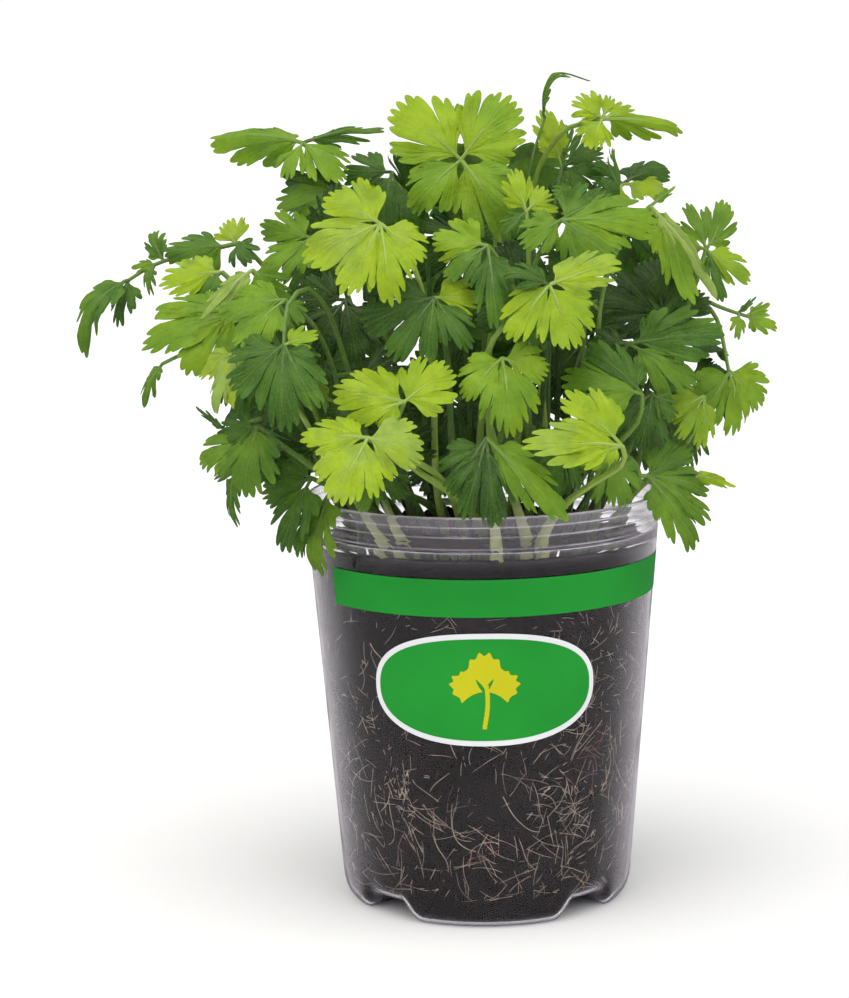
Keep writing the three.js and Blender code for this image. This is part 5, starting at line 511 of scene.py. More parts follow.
            ((-48,34,128),(-57.6,42,106.3),(-0.66,0.56,0.50),31.2,0.12,0.20,1.2,0.08,33,33),
            ((-48,34,128),(-63.7,23,119.5),(-0.66,0.56,0.50),26.4,0.12,0.20,1.2,0.08,51,32),
            ((-48,34,128),(-39.9,51.4,119.5),(-0.66,0.56,0.50),26.4,0.12,0.20,1.2,0.08,32,80),
            ((-48,34,128),(-47.9,24.7,138.5),(-0.66,0.56,0.50),19.2,0.12,0.20,1.2,0.08,60,34),
        ]),
    "leaf_back_low": ("leaf_mid",
        [(-5.4,25.7,98.1),(-5.6,27.8,101.4),(-6,30.5,104.4),(-6.6,33.5,107),(-7.3,36.7,109.2),(-7.9,40,111.3),(-8.4,43.4,113.2),(-8.6,46.9,115.2),(-8.5,50.3,117.2),(-7.7,53.5,119.5),(-6,56,122)],
        [],
        [
            ((-6,56,122),(-6.4,68.2,99),(-0.03,0.88,0.47),33.6,0.12,0.20,1.0,0.08,33,33),
            ((-6,56,122),(-25.9,59.8,113.5),(-0.03,0.88,0.47),28.8,0.12,0.20,1.0,0.08,80,32),
            ((-6,56,122),(13.6,61.2,113.5),(-0.03,0.88,0.47),28.8,0.12,0.20,1.0,0.08,32,48),
            ((-6,56,122),(1.7,50.2,133.5),(-0.03,0.88,0.47),21.6,0.12,0.20,1.0,0.08,33,59),
        ]),
    "leaf_back_right_low": ("leaf_mid",
        [(21.9,18.8,97.6),(23.7,20.3,101.5),(25.9,21.9,105.2),(28.2,23.6,108.6),(30.8,25.3,111.9),(33.5,27.2,115.1),(36.2,29.2,118.1),(38.7,31.4,121.1),(41,33.9,124),(42.9,36.8,127),(44,40,130)],
        [[(33.5,27.2,115.1),(36.2,20.4,118.2)],[(41.7,34.9,125),(36.8,36,126.5)],[(37.9,30.6,120.1),(38.2,34.1,119.9)]],
        [
            ((44,40,130),(53,48.7,108.3),(0.62,0.60,0.50),31.2,0.12,0.20,1.3,0.08,33,33),
            ((44,40,130),(34.7,56.8,121.5),(0.62,0.60,0.50),26.4,0.12,0.20,1.3,0.08,56,32),
            ((44,40,130),(60.4,30.1,121.5),(0.62,0.60,0.50),26.4,0.12,0.20,1.3,0.08,32,80),
            ((44,40,130),(35.9,38.9,141.4),(0.62,0.60,0.50),19.2,0.12,0.20,1.3,0.08,56,38),
            ((36.2,20.4,118.2),(34.4,0.4,117.1),(0.49,-0.10,0.87),19.0,0.14,0.15,0.1,0.12,77,70),
            ((36.8,36,126.5),(26.3,49.2,128),(0.23,0.15,0.96),19.6,0.12,0.25,0.8,0.12,80,71),
            ((38.2,34.1,119.9),(39.9,46.7,116.8),(0.55,0.50,0.67),19.5,0.11,0.20,0.1,0.12,69,80),
        ]),
    "leaf_back_left_high": ("leaf_mid",
        [(-17.3,19.3,98.2),(-20.1,20.4,105.8),(-22.2,21.2,113.7),(-23.7,21.7,121.7),(-24.6,22,129.9),(-25.1,22.3,138),(-25.5,22.6,146.2),(-26.1,23.2,154.4),(-27.4,24.5,162.4),(-29.9,26.7,169.8),(-34,30,176)],
        [[(-25.1,22.3,138),(-29.4,26.9,139.2)],[(-25.9,23,151.6),(-25.6,21.1,153.3)]],
        [
            ((-34,30,176),(-45.2,42.4,157.4),(-0.50,0.55,0.67),31.2,0.12,0.20,1.8,0.08,35,35),
            ((-34,30,176),(-52.1,21.4,169.7),(-0.50,0.55,0.67),27.6,0.12,0.20,1.8,0.08,63,32),
            ((-34,30,176),(-23.6,47.1,169.7),(-0.50,0.55,0.67),27.6,0.12,0.20,1.8,0.08,32,63),
            ((-34,30,176),(-27.3,22.5,187.1),(-0.50,0.55,0.67),21.6,0.12,0.20,1.8,0.08,46,46),
            ((-29.4,26.9,139.2),(-25.7,29.2,153.3),(-0.70,0.54,0.47),17.0,0.14,0.27,0.0,0.12,66,78),
            ((-25.6,21.1,153.3),(-28.2,11.2,163.6),(-0.74,-0.26,0.62),20.2,0.12,0.27,0.5,0.12,80,71),
        ]),
    "leaf_back_high": ("leaf_mid",
        [(-0.3,18.2,99.3),(0.3,20.5,108.3),(0.7,21.9,117.4),(1.1,22.6,126.6),(1.3,22.9,135.9),(1.5,23.1,145.1),(1.7,23.4,154.4),(2,24.3,163.6),(2.4,26.3,172.6),(3.1,30,181.1),(4,36,188)],
        [[(1.1,22.7,129.7),(5.1,22.8,130.5)],[(1.5,23.1,145.1),(4.3,30.6,149)]],
        [
            ((4,36,188),(4.6,53.7,170.3),(0.02,0.71,0.71),32.4,0.12,0.20,2.2,0.08,34,34),
            ((4,36,188),(-15,42.7,182),(0.02,0.71,0.71),28.8,0.12,0.20,2.2,0.08,63,32),
            ((4,36,188),(23.4,41.4,182),(0.02,0.71,0.71),28.8,0.12,0.20,2.2,0.08,32,63),
            ((4,36,188),(3.6,25.4,198.6),(0.02,0.71,0.71),21.6,0.12,0.20,2.2,0.08,45,45),
            ((5.1,22.8,130.5),(21.5,23.4,125.8),(0.53,-0.24,0.81),20.3,0.11,0.22,0.0,0.12,79,71),
            ((4.3,30.6,149),(11.6,40,156.9),(0.94,0.35,-0.05),20.0,0.14,0.26,0.6,0.12,75,80),
        ]),
    "leaf_back_right_high": ("leaf_mid",
        [(22.5,14.6,98),(24.5,16.4,105.4),(26,17.7,113.1),(27.2,18.7,120.8),(28.1,19.5,128.6),(29,20.3,136.4),(29.9,21.1,144.2),(31.2,22.2,151.9),(33.1,23.9,159.4),(36,26.4,166.3),(40,30,172)],
        [[(33.9,24.6,161.8),(31.6,27.2,163)],[(30.7,21.8,149.4),(36.4,26.2,151.2)]],
        [
            ((40,30,172),(51.9,40.8,152.8),(0.57,0.51,0.64),31.2,0.12,0.20,1.7,0.08,34,34),
            ((40,30,172),(31.8,48,164.9),(0.57,0.51,0.64),27.6,0.12,0.20,1.7,0.08,80,32),
            ((40,30,172),(57,19.9,164.9),(0.57,0.51,0.64),27.6,0.12,0.20,1.7,0.08,32,80),
            ((31.6,27.2,163),(23.7,39.1,167.6),(0.07,0.23,0.97),20.8,0.07,0.25,0.6,0.12,70,68),
            ((36.4,26.2,151.2),(50.6,33.1,154.9),(0.74,-0.66,0.15),20.4,0.15,0.13,1.0,0.12,79,67),
        ]),
    "leaf_back_mid": ("leaf_mid",
        [(-0.7,24.3,98.4),(-0.5,27,104.1),(-0.2,29.4,109.9),(0,31.7,115.7),(0.2,33.9,121.5),(0.4,36.2,127.4),(0.7,38.5,133.2),(0.9,41.1,138.8),(1.2,44.2,144.3),(1.6,47.8,149.4),(2,52,154)],
        [[(0.8,40.2,137),(1.4,44,137.2)],[(1.3,45.3,146.1),(9.3,45.8,146.2)]],
        [
            ((2,52,154),(2,65.8,132),(0.00,0.85,0.53),33.6,0.12,0.20,1.5,0.08,33,33),
            ((2,52,154),(-17.8,57.1,145.8),(0.00,0.85,0.53),28.8,0.12,0.20,1.5,0.08,80,32),
            ((2,52,154),(21.8,57.1,145.8),(0.00,0.85,0.53),28.8,0.12,0.20,1.5,0.08,32,80),
            ((1.4,44,137.2),(7.6,56.8,139.1),(0.14,-0.18,0.97),20.1,0.11,0.12,0.5,0.12,69,76),
            ((9.3,45.8,146.2),(25.1,44.4,140.4),(0.15,-0.13,0.98),18.3,0.10,0.30,0.6,0.12,67,66),
        ]),
    "leaf_back_left_mid": ("leaf_mid",
        [(-23.8,11.5,98.1),(-26.9,11.9,103.8),(-29.8,12.3,109.5),(-32.5,12.7,115.4),(-35.2,13.1,121.3),(-37.9,13.5,127.1),(-40.7,13.9,132.9),(-43.8,14.3,138.6),(-47.3,14.8,144),(-51.4,15.3,149),(-56.1,16,153.4)],
        [[(-33.4,12.9,117.3),(-40,14,113.8)],[(-48.6,15,145.8),(-53.9,16.3,139.7)]],
        [
            ((-56.1,16,153.4),(-68.2,19.9,133),(-0.81,0.26,0.53),31.2,0.12,0.20,1.4,0.08,33,33),
            ((-56.1,16,153.4),(-66.1,0.3,145.9),(-0.81,0.26,0.53),26.4,0.12,0.20,1.4,0.08,80,32),
            ((-56.1,16,153.4),(-55,34.5,145.9),(-0.81,0.26,0.53),26.4,0.12,0.20,1.4,0.08,32,80),
            ((-40,14,113.8),(-53.9,17.4,109.2),(-0.47,0.06,0.88),16.2,0.15,0.29,0.9,0.12,76,77),
            ((-53.9,16.3,139.7),(-68,19.4,126.1),(-0.85,-0.10,0.52),20.8,0.06,0.24,0.8,0.12,68,71),
        ]),
}


# ---- numbers ----
def unit(v):
    v = np.asarray(v, float)
    return v / max(np.linalg.norm(v), 1e-12)


def smooth(lo, hi, x):
    t = np.clip((np.asarray(x, float) - lo) / (hi - lo), 0, 1)
    return t * t * (3 - 2 * t)


class Wobble:
    """Smooth repeatable noise: a sum of seeded waves. p is in millimetres."""

    def __init__(self, seed, size, waves=9):
        r = np.random.default_rng(seed)
        d = r.normal(size=(waves, 3))
        d /= np.linalg.norm(d, axis=1)[:, None]
        self.k = d * (2 * math.pi / size) * r.uniform(0.6, 1.7, waves)[:, None]
        self.f = r.uniform(0, 2 * math.pi, waves)
        self.n = math.sqrt(waves / 2)

    def __call__(self, p):
        return np.sin(np.asarray(p) @ self.k.T + self.f).sum(-1) / self.n


def through(points, count):
    """A smooth curve through the points, evenly spaced, as count points."""
    p = np.asarray(points, float)
    if len(p) < 3:
        t = np.linspace(0, 1, count)[:, None]
        return p[0] * (1 - t) + p[-1] * t
    q = np.vstack([2 * p[0] - p[1], p, 2 * p[-1] - p[-2]])
    fine = []
    for i in range(1, len(q) - 2):
        t = np.linspace(0, 1, 12, endpoint=False)[:, None]
        a, b, c, d = q[i - 1 : i + 3]
        fine.append(
            0.5
            * (
                2 * b
                + (c - a) * t
                + (2 * a - 5 * b + 4 * c - d) * t**2
                + (3 * b - a - 3 * c + d) * t**3
            )
        )
    fine = np.vstack([*fine, p[-1:]])
    s = np.r_[0, np.cumsum(np.linalg.norm(np.diff(fine, axis=0), axis=1))]
    at = np.linspace(0, s[-1], count)
    return np.stack([np.interp(at, s, fine[:, k]) for k in range(3)], 1)


# ---- meshes ----
class Shape:
    """Gathers vertices, faces, a material number for each face and two vectors for each vertex."""

    def __init__(self):
        self.v, self.f, self.m, self.a, self.b, self.n = [], [], [], [], [], 0

    def add(self, verts, faces, material=0, a=None, b=None):
        verts = np.asarray(verts, float).reshape(-1, 3)
        zero = np.zeros((len(verts), 3))
        self.v.append(verts)
        self.a.append(zero if a is None else np.asarray(a, float).reshape(-1, 3))
        self.b.append(zero if b is None else np.asarray(b, float).reshape(-1, 3))
        self.f += [tuple(i + self.n for i in f) for f in faces]
        self.m += (
            [material] * len(faces) if np.isscalar(material) else list(material)
        )
        self.n += len(verts)

    def make(self, name, materials, sharp=50, names=("vein", "tint")):
        me = bpy.data.meshes.new(name)
        v = np.vstack(self.v) * MM
        me.from_pydata(v.tolist(), [], self.f)
        for m in materials:
            me.materials.append(m)
        me.polygons.foreach_set("material_index", np.array(self.m, np.int32))
        me.polygons.foreach_set("use_smooth", np.ones(len(self.f), bool))
        for label, data in zip(names, (self.a, self.b)):
            at = me.attributes.new(label, "FLOAT_VECTOR", "POINT")
            at.data.foreach_set("vector", np.vstack(data).astype(np.float32).ravel())
        me.validate()
        me.update()
        if sharp:
            me.set_sharp_from_angle(angle=math.radians(sharp))
        ob = bpy.data.objects.new(name, me)
        SCENE.collection.objects.link(ob)
        return ob


def grid_faces(rows, cols, start=0, closed=False, flip=False):
    out = []
    for i in range(rows - 1):
        for j in range(cols if closed else cols - 1):
            k = (j + 1) % cols
            q = (
                start + i * cols + j,
                start + i * cols + k,
                start + (i + 1) * cols + k,
                start + (i + 1) * cols + j,
            )
            out.append(q[::-1] if flip else q)
    return out


def tube(shape, path, radius, sides=8, material=0, a=None, b=None, ribs=0.0):
    """A closed round rod along path, its radius given at each point."""
    p = np.asarray(path, float)
    n = len(p)
    r = np.broadcast_to(np.asarray(radius, float), (n,))
    tan = np.gradient(p, axis=0)
    tan /= np.linalg.norm(tan, axis=1)[:, None] + 1e-12
    x = unit(np.cross(tan[0], [0.31, 0.52, 0.8]))
    rings = []
    turn = np.linspace(0, 2 * math.pi, sides, endpoint=False)
    for i in range(n):
        x = unit(x - (x @ tan[i]) * tan[i])
        y = np.cross(tan[i], x)
        rr = r[i] * (1 + ribs * np.cos(turn * (sides // 2)))
        rings.append(
            p[i] + np.outer(np.cos(turn) * rr, x) + np.outer(np.sin(turn) * rr, y)
        )
    verts = np.vstack(
        [*rings, p[:1] - tan[:1] * r[0] * 0.5, p[-1:] + tan[-1:] * r[-1] * 0.5]
    )
    faces = grid_faces(n, sides, closed=True)
    for j in range(sides):
        k = (j + 1) % sides
        faces.append((n * sides, k, j))
        faces.append((n * sides + 1, (n - 1) * sides + j, (n - 1) * sides + k))

    def spread(w):
        if w is None:
            return None
        w = np.broadcast_to(np.asarray(w, float), (n, 3))
        return np.vstack([np.repeat(w, sides, 0), w[:1], w[-1:]])

    shape.add(verts, faces, material, spread(a), spread(b))


# ---- materials ----
def new_material(name):
    m = bpy.data.materials.new(name)
    m.use_nodes = True
    nt = m.node_tree
    nt.nodes.clear()
    out = nt.nodes.new("ShaderNodeOutputMaterial")
    return m, nt, out


def node(nt, kind, **values):
    n = nt.nodes.new(kind)
    for key, value in values.items():
        if hasattr(n, key):
            setattr(n, key, value)
        else:
            n.inputs[key.replace("_", " ")].default_value = value
    return n


def noise(nt, coords, scale, detail=3.0, rough=0.55):
    n = nt.nodes.new("ShaderNodeTexNoise")
    n.inputs["Scale"].default_value = scale
    n.inputs["Detail"].default_value = detail
    n.inputs["Roughness"].default_value = rough
    nt.links.new(coords, n.inputs["Vector"])
    return n.outputs["Fac"]


def ramp(nt, value, stops, mode="LINEAR"):
    n = nt.nodes.new("ShaderNodeValToRGB")
    n.color_ramp.interpolation = mode
    e = n.color_ramp.elements
    while len(e) < len(stops):
        e.new(0.5)
    for item, (at, colour) in zip(e, stops):
        item.position = at
        item.color = (*colour, 1.0) if len(colour) == 3 else colour
    nt.links.new(value, n.inputs["Fac"])
    return n.outputs["Color"]


def span(nt, value, lo, hi, a=0.0, b=1.0, kind="SMOOTHSTEP"):
    n = nt.nodes.new("ShaderNodeMapRange")
    n.interpolation_type = kind
    nt.links.new(value, n.inputs["Value"])
    n.inputs["From Min"].default_value = lo
    n.inputs["From Max"].default_value = hi
    n.inputs["To Min"].default_value = a
    n.inputs["To Max"].default_value = b
    return n.outputs["Result"]


def calc(nt, op, a, b=None, c=None):
    n = nt.nodes.new("ShaderNodeMath")
    n.operation = op
    for i, v in enumerate((a, b, c)):
        if v is None:
            continue
        if isinstance(v, (int, float)):
            n.inputs[i].default_value = v
        else:
            nt.links.new(v, n.inputs[i])
    return n.outputs[0]


def mix(nt, fac, a, b, kind="MIX"):
    n = nt.nodes.new("ShaderNodeMix")
    n.data_type = "RGBA"
    n.blend_type = kind
    n.clamp_result = False
    for sock, v in ((n.inputs["Factor"], fac), (n.inputs[6], a), (n.inputs[7], b)):
        if isinstance(v, (int, float)):
            sock.default_value = v
        elif isinstance(v, tuple):
            sock.default_value = (*v, 1.0)
        else:
            nt.links.new(v, sock)
    return n.outputs[2]


def where(nt):
    """The point in the piece's own frame, in metres."""
    return nt.nodes.new("ShaderNodeTexCoord").outputs["Object"]


def attribute(nt, name):
    n = nt.nodes.new("ShaderNodeAttribute")
    n.attribute_name = name
    s = nt.nodes.new("ShaderNodeSeparateXYZ")
    nt.links.new(n.outputs["Vector"], s.inputs[0])
    return s.outputs


def leaf_material():
    m, nt, out = new_material("coriander_leaf")
    at = where(nt)
    phase, main, pitch = attribute(nt, "vein")
    tone, under, reach = attribute(nt, "tint")
    broad = noise(nt, at, 95, 2.0)
    patch = noise(nt, at, 420, 3.0)
    cells = nt.nodes.new("ShaderNodeTexVoronoi")
    cells.feature = "DISTANCE_TO_EDGE"
    cells.inputs["Scale"].default_value = 900
    cells.inputs["Randomness"].default_value = 0.9
    nt.links.new(at, cells.inputs["Vector"])
    net = span(nt, cells.outputs["Distance"], 0.0, 0.16, 1.0, 0.0)
    # tone from 0, the darkest, to 4, a pale underside: partly the leaf's own colour, old and dark or young and yellow,
    # and partly painted light and shade, bright on leaves in the light and dark on leaves deep in the clump; the broad
    # noise on it adds painted patches of light and shade
    tone_light_and_shade = calc(
        nt, "MULTIPLY", calc(nt, "ADD", tone, span(nt, broad, 0.3, 0.7, -0.35, 0.35)), 0.25
    )
    top = ramp(nt, tone_light_and_shade, LEAF_TONE_LIGHT_AND_SHADE)
    # veins: one down each lobe, and one to each tooth
    fract = calc(nt, "FRACT", phase)
    off = calc(nt, "ABSOLUTE", calc(nt, "SUBTRACT", fract, 0.5))
    side = calc(nt, "MULTIPLY", off, pitch)
    side = span(nt, side, 0.08, 0.34, 1.0, 0.0)
    side = calc(nt, "MULTIPLY", side, span(nt, reach, 0.16, 0.4))
    side = calc(nt, "MULTIPLY", side, span(nt, reach, 0.9, 1.0, 1.0, 0.25))
    rib = span(nt, main, 0.12, 0.42, 1.0, 0.0)
    rib = calc(nt, "MULTIPLY", rib, span(nt, reach, 0.55, 0.95, 1.0, 0.2))
    vein = calc(nt, "MAXIMUM", calc(nt, "MULTIPLY", side, 0.55), rib)
    # colour
    shade_blotch = noise(nt, at, 190, 3.0, 0.6)
    colour = mix(nt, calc(nt, "MULTIPLY", net, 0.07), top, (0.42, 0.62, 0.08))
    # painted shade: darker mottled patches, for the shade and show-through of the leaves beneath
    colour = mix(nt, span(nt, patch, 0.35, 0.75, 0.0, 0.34), colour, MOTTLED_SHADE, "MULTIPLY")
    colour = mix(nt, span(nt, shade_blotch, 0.46, 0.66, 0.0, 0.42), colour, MOTTLED_SHADE, "MULTIPLY")
    paler = mix(nt, 0.35, colour, VEIN)
    colour = mix(nt, calc(nt, "MULTIPLY", vein, 0.36), colour, paler)
    colour = mix(nt, span(nt, reach, 0.93, 1.0, 0.0, 0.22), colour, (0.36, 0.50, 0.07))
    pale = mix(nt, 0.62, colour, UNDERSIDE)
    colour = mix(nt, under, colour, pale)
    # relief
    height = calc(
        nt,
        "ADD",
        calc(nt, "MULTIPLY", vein, -0.75),
        calc(nt, "MULTIPLY", net, -0.28),
    )
    height = calc(nt, "ADD", height, calc(nt, "MULTIPLY", patch, 0.9))
    # on the underside the veins stand out instead
    height = calc(nt, "MULTIPLY", height, span(nt, under, 0, 1, 1.0, -0.8, "LINEAR"))
    bump = node(nt, "ShaderNodeBump", Strength=0.75, Distance=0.00028)
    nt.links.new(height, bump.inputs["Height"])
    rough = calc(
        nt,
        "ADD",
        span(nt, patch, 0.2, 0.8, 0.38, 0.56, "LINEAR"),
        calc(nt, "MULTIPLY", under, 0.12),
    )
    skin = nt.nodes.new("ShaderNodeBsdfPrincipled")
    skin.inputs["Specular IOR Level"].default_value = 0.32
    nt.links.new(colour, skin.inputs["Base Color"])
    nt.links.new(rough, skin.inputs["Roughness"])
    nt.links.new(bump.outputs[0], skin.inputs["Normal"])
    through_light = nt.nodes.new("ShaderNodeBsdfTranslucent")
    glow = mix(nt, 0.55, colour, (0.62, 0.80, 0.08), "MULTIPLY")
    glow = mix(nt, 1.0, glow, (1.5, 1.5, 0.7), "MULTIPLY")
    nt.links.new(glow, through_light.inputs["Color"])
    nt.links.new(bump.outputs[0], through_light.inputs["Normal"])
    both = nt.nodes.new("ShaderNodeMixShader")
    both.inputs[0].default_value = 0.34
    nt.links.new(skin.outputs[0], both.inputs[1])
    nt.links.new(through_light.outputs[0], both.inputs[2])
    nt.links.new(both.outputs[0], out.inputs["Surface"])
    return m


def stalk_material():
    m, nt, out = new_material("coriander_stalk")
    at = where(nt)
    _, _, _ = attribute(nt, "vein")
    tone, along, blanched = attribute(nt, "tint")
    stretched = nt.nodes.new("ShaderNodeMapping")
    stretched.inputs["Scale"].default_value = (1.0, 1.0, 0.12)
    nt.links.new(at, stretched.inputs["Vector"])
    streaks = noise(nt, stretched.outputs[0], 2600, 2.0)
    spots = noise(nt, at, 260, 3.0)
    # painted light and shade: the stalks take the tone of their leaves, dark inside the clump
    green = ramp(nt, calc(nt, "MULTIPLY", tone, 0.25), STALK_TONE_LIGHT_AND_SHADE)
    # painted shade: the stalks darken towards their feet by the compost
    foot = span(nt, along, 0.03, 0.30, 1.0, 0.0)
    colour = mix(nt, calc(nt, "MULTIPLY", foot, 0.92), green, (0.30, 0.34, 0.24), "MULTIPLY")
    pale = span(nt, along, 0.07, 0.19, 1.0, 0.0)
    colour = mix(nt, calc(nt, "MULTIPLY", pale, blanched), colour, (0.62, 0.66, 0.30))
    colour = mix(nt, span(nt, streaks, 0.4, 0.7, 0.0, 0.16), colour, (0.46, 0.58, 0.20))
    colour = mix(nt, span(nt, spots, 0.45, 0.8, 0.0, 0.45), colour, (0.55, 0.70, 0.45), "MULTIPLY")
    bump = node(nt, "ShaderNodeBump", Strength=0.5, Distance=0.0001)
    nt.links.new(streaks, bump.inputs["Height"])
    p = nt.nodes.new("ShaderNodeBsdfPrincipled")
    nt.links.new(colour, p.inputs["Base Color"])
    nt.links.new(span(nt, spots, 0.2, 0.8, 0.34, 0.52, "LINEAR"), p.inputs["Roughness"])
    nt.links.new(bump.outputs[0], p.inputs["Normal"])
    t = nt.nodes.new("ShaderNodeBsdfTranslucent")
    nt.links.new(colour, t.inputs["Color"])
    both = nt.nodes.new("ShaderNodeMixShader")
    both.inputs[0].default_value = 0.2
    nt.links.new(p.outputs[0], both.inputs[1])
    nt.links.new(t.outputs[0], both.inputs[2])
    nt.links.new(both.outputs[0], out.inputs["Surface"])
    return m


def peat_material():
    m, nt, out = new_material("peat")
    at = where(nt)
    coarse = noise(nt, at, 190, 5.0, 0.62)
    fine = noise(nt, at, 760, 2.0, 0.5)
    fibre_map = nt.nodes.new("ShaderNodeMapping")
    fibre_map.inputs["Scale"].default_value = (1.0, 1.0, 4.0)
    fibre_map.inputs["Rotation"].default_value = (0.4, 0.9, 0.3)
    nt.links.new(at, fibre_map.inputs["Vector"])
    fibres = noise(nt, fibre_map.outputs[0], 420, 2.0, 0.5)
    crumbs = nt.nodes.new("ShaderNodeTexVoronoi")
    crumbs.inputs["Scale"].default_value = 620
    nt.links.new(at, crumbs.inputs["Vector"])
    broad = noise(nt, at, 52, 3.0, 0.6)
    colour = ramp(
        nt,
        coarse,
        [
            (0.30, (0.0036, 0.0022, 0.0028)),
            (0.50, (0.0080, 0.0050, 0.0062)),
            (0.66, (0.0170, 0.0110, 0.0125)),
            (0.84, (0.0380, 0.0255, 0.0235)),
        ],
    )
    colour = mix(nt, span(nt, broad, 0.38, 0.70, 0.0, 0.45), colour, (0.0200, 0.0135, 0.0165))
    colour = mix(nt, span(nt, fine, 0.56, 0.76, 0.0, 0.45), colour, (0.032, 0.0215, 0.0205))
    colour = mix(nt, span(nt, fibres, 0.68, 0.76, 0.0, 0.45), colour, (0.10, 0.052, 0.030))
    colour = mix(nt, 1.0, colour, (0.62, 0.56, 0.62), "MULTIPLY")
    height = calc(nt, "ADD", calc(nt, "MULTIPLY", coarse, 1.3), fine)
    height = calc(nt, "SUBTRACT", height, calc(nt, "MULTIPLY", crumbs.outputs["Distance"], 0.5))
    bump = node(nt, "ShaderNodeBump", Strength=0.35, Distance=0.0005)
    nt.links.new(height, bump.inputs["Height"])
    p = nt.nodes.new("ShaderNodeBsdfPrincipled")
    p.inputs["Specular IOR Level"].default_value = 0.06
    nt.links.new(colour, p.inputs["Base Color"])
    nt.links.new(span(nt, fine, 0.3, 0.7, 0.62, 0.95, "LINEAR"), p.inputs["Roughness"])
    nt.links.new(bump.outputs[0], p.inputs["Normal"])
    nt.links.new(p.outputs[0], out.inputs["Surface"])
    return m


def root_material():
    m, nt, out = new_material("fine_root")
    at = where(nt)
    kind, _, _ = attribute(nt, "tint")
    n1 = noise(nt, at, 700, 3.0)
    n2 = noise(nt, at, 110, 2.0)
    pale = ramp(nt, n1, [(0.25, (0.23, 0.17, 0.13)), (0.55, (0.46, 0.37, 0.29)), (0.8, (0.66, 0.56, 0.46))])
    rusty = ramp(nt, n1, [(0.3, (0.10, 0.030, 0.012)), (0.7, (0.26, 0.095, 0.035))])
    colour = mix(nt, kind, pale, rusty)
    colour = mix(nt, span(nt, n2, 0.48, 0.68, 0.0, 0.70), colour, (0.10, 0.070, 0.060))
    bump = node(nt, "ShaderNodeBump", Strength=0.4, Distance=0.0001)
    nt.links.new(n1, bump.inputs["Height"])
    p = nt.nodes.new("ShaderNodeBsdfPrincipled")
    p.inputs["Roughness"].default_value = 0.6
    nt.links.new(colour, p.inputs["Base Color"])
    nt.links.new(bump.outputs[0], p.inputs["Normal"])
    nt.links.new(p.outputs[0], out.inputs["Surface"])
    return m


def pot_material():
    """Clear thermoformed plastic, a little milky, that lets the lamps through, with a painted sheen towards the lip,
    painted highlight lines on the rings and a whiter edge, partly painted sheen, where it is seen edge on.
    """
    m, nt, out = new_material("clear_plastic")
    at = where(nt)
    waves = noise(nt, at, 42, 2.0)
    scuffs = noise(nt, at, 900, 4.0, 0.7)
    clouds = noise(nt, at, 55, 4.0, 0.6)
    bump = node(nt, "ShaderNodeBump", Strength=0.28, Distance=0.0006)
    nt.links.new(waves, bump.inputs["Height"])
    glass = nt.nodes.new("ShaderNodeBsdfPrincipled")
    glass.inputs["Base Color"].default_value = (0.97, 0.965, 0.985, 1)
    glass.inputs["Transmission Weight"].default_value = 1.0
    glass.inputs["IOR"].default_value = 1.30
    nt.links.new(span(nt, scuffs, 0.4, 0.8, 0.004, 0.028, "LINEAR"), glass.inputs["Roughness"])
    nt.links.new(bump.outputs[0], glass.inputs["Normal"])
    milk_and_sheen = nt.nodes.new("ShaderNodeBsdfPrincipled")
    milk_and_sheen.inputs["Roughness"].default_value = 0.45
    nt.links.new(
        ramp(nt, clouds, [(0.3, (0.57, 0.51, 0.60)), (0.7, (0.75, 0.70, 0.78))]),
        milk_and_sheen.inputs["Base Color"],
    )
    height = nt.nodes.new("ShaderNodeSeparateXYZ")
    nt.links.new(at, height.inputs[0])
    z = height.outputs[2]
    edge_on = nt.nodes.new("ShaderNodeLayerWeight")
    edge_on.inputs["Blend"].default_value = 0.5
    haze_and_sheen = span(nt, clouds, 0.35, 0.7, MILK[0], MILK[1], "LINEAR")
    # painted sheen: milkier in steps towards the lip, for the bright rim
    haze_and_sheen = calc(nt, "ADD", haze_and_sheen, span(nt, z, 0.0930, 0.0985, 0.0, 0.05))
    haze_and_sheen = calc(nt, "ADD", haze_and_sheen, span(nt, z, 0.1015, 0.1060, 0.0, 0.07))
    # painted highlights: thin white lines along the crests of the rings
    broken = span(nt, noise(nt, at, 38, 2.0), 0.38, 0.62, 0.35, 1.0)
    for level, wide, strong in ((0.10725, 0.00045, 0.55), (0.1049, 0.00030, 0.50), (0.1024, 0.00026, 0.55), (0.0994, 0.00030, 0.42)):
        off = calc(nt, "ABSOLUTE", calc(nt, "SUBTRACT", z, level))
        line = calc(nt, "MULTIPLY", span(nt, off, 0.0, wide, strong, 0.0), broken)
        haze_and_sheen = calc(nt, "ADD", haze_and_sheen, line)
    # whiter where the wall is seen edge on: partly the milkiness of a longer path through the plastic, partly a painted
    # sheen for its reflection
    haze_and_sheen = calc(nt, "ADD", haze_and_sheen, span(nt, edge_on.outputs["Facing"], 0.34, 1.0, 0.0, 0.42))
    body = nt.nodes.new("ShaderNodeMixShader")
    nt.links.new(haze_and_sheen, body.inputs[0])
    nt.links.new(glass.outputs[0], body.inputs[1])
    nt.links.new(milk_and_sheen.outputs[0], body.inputs[2])
    path = nt.nodes.new("ShaderNodeLightPath")
    clear = node(nt, "ShaderNodeBsdfTransparent", Color=(0.93, 0.92, 0.95, 1))
    lamp = calc(nt, "MAXIMUM", path.outputs["Is Shadow Ray"], path.outputs["Is Diffuse Ray"])
    final = nt.nodes.new("ShaderNodeMixShader")
    nt.links.new(lamp, final.inputs[0])
    nt.links.new(body.outputs[0], final.inputs[1])
    nt.links.new(clear.outputs[0], final.inputs[2])
    nt.links.new(final.outputs[0], out.inputs["Surface"])
    return m


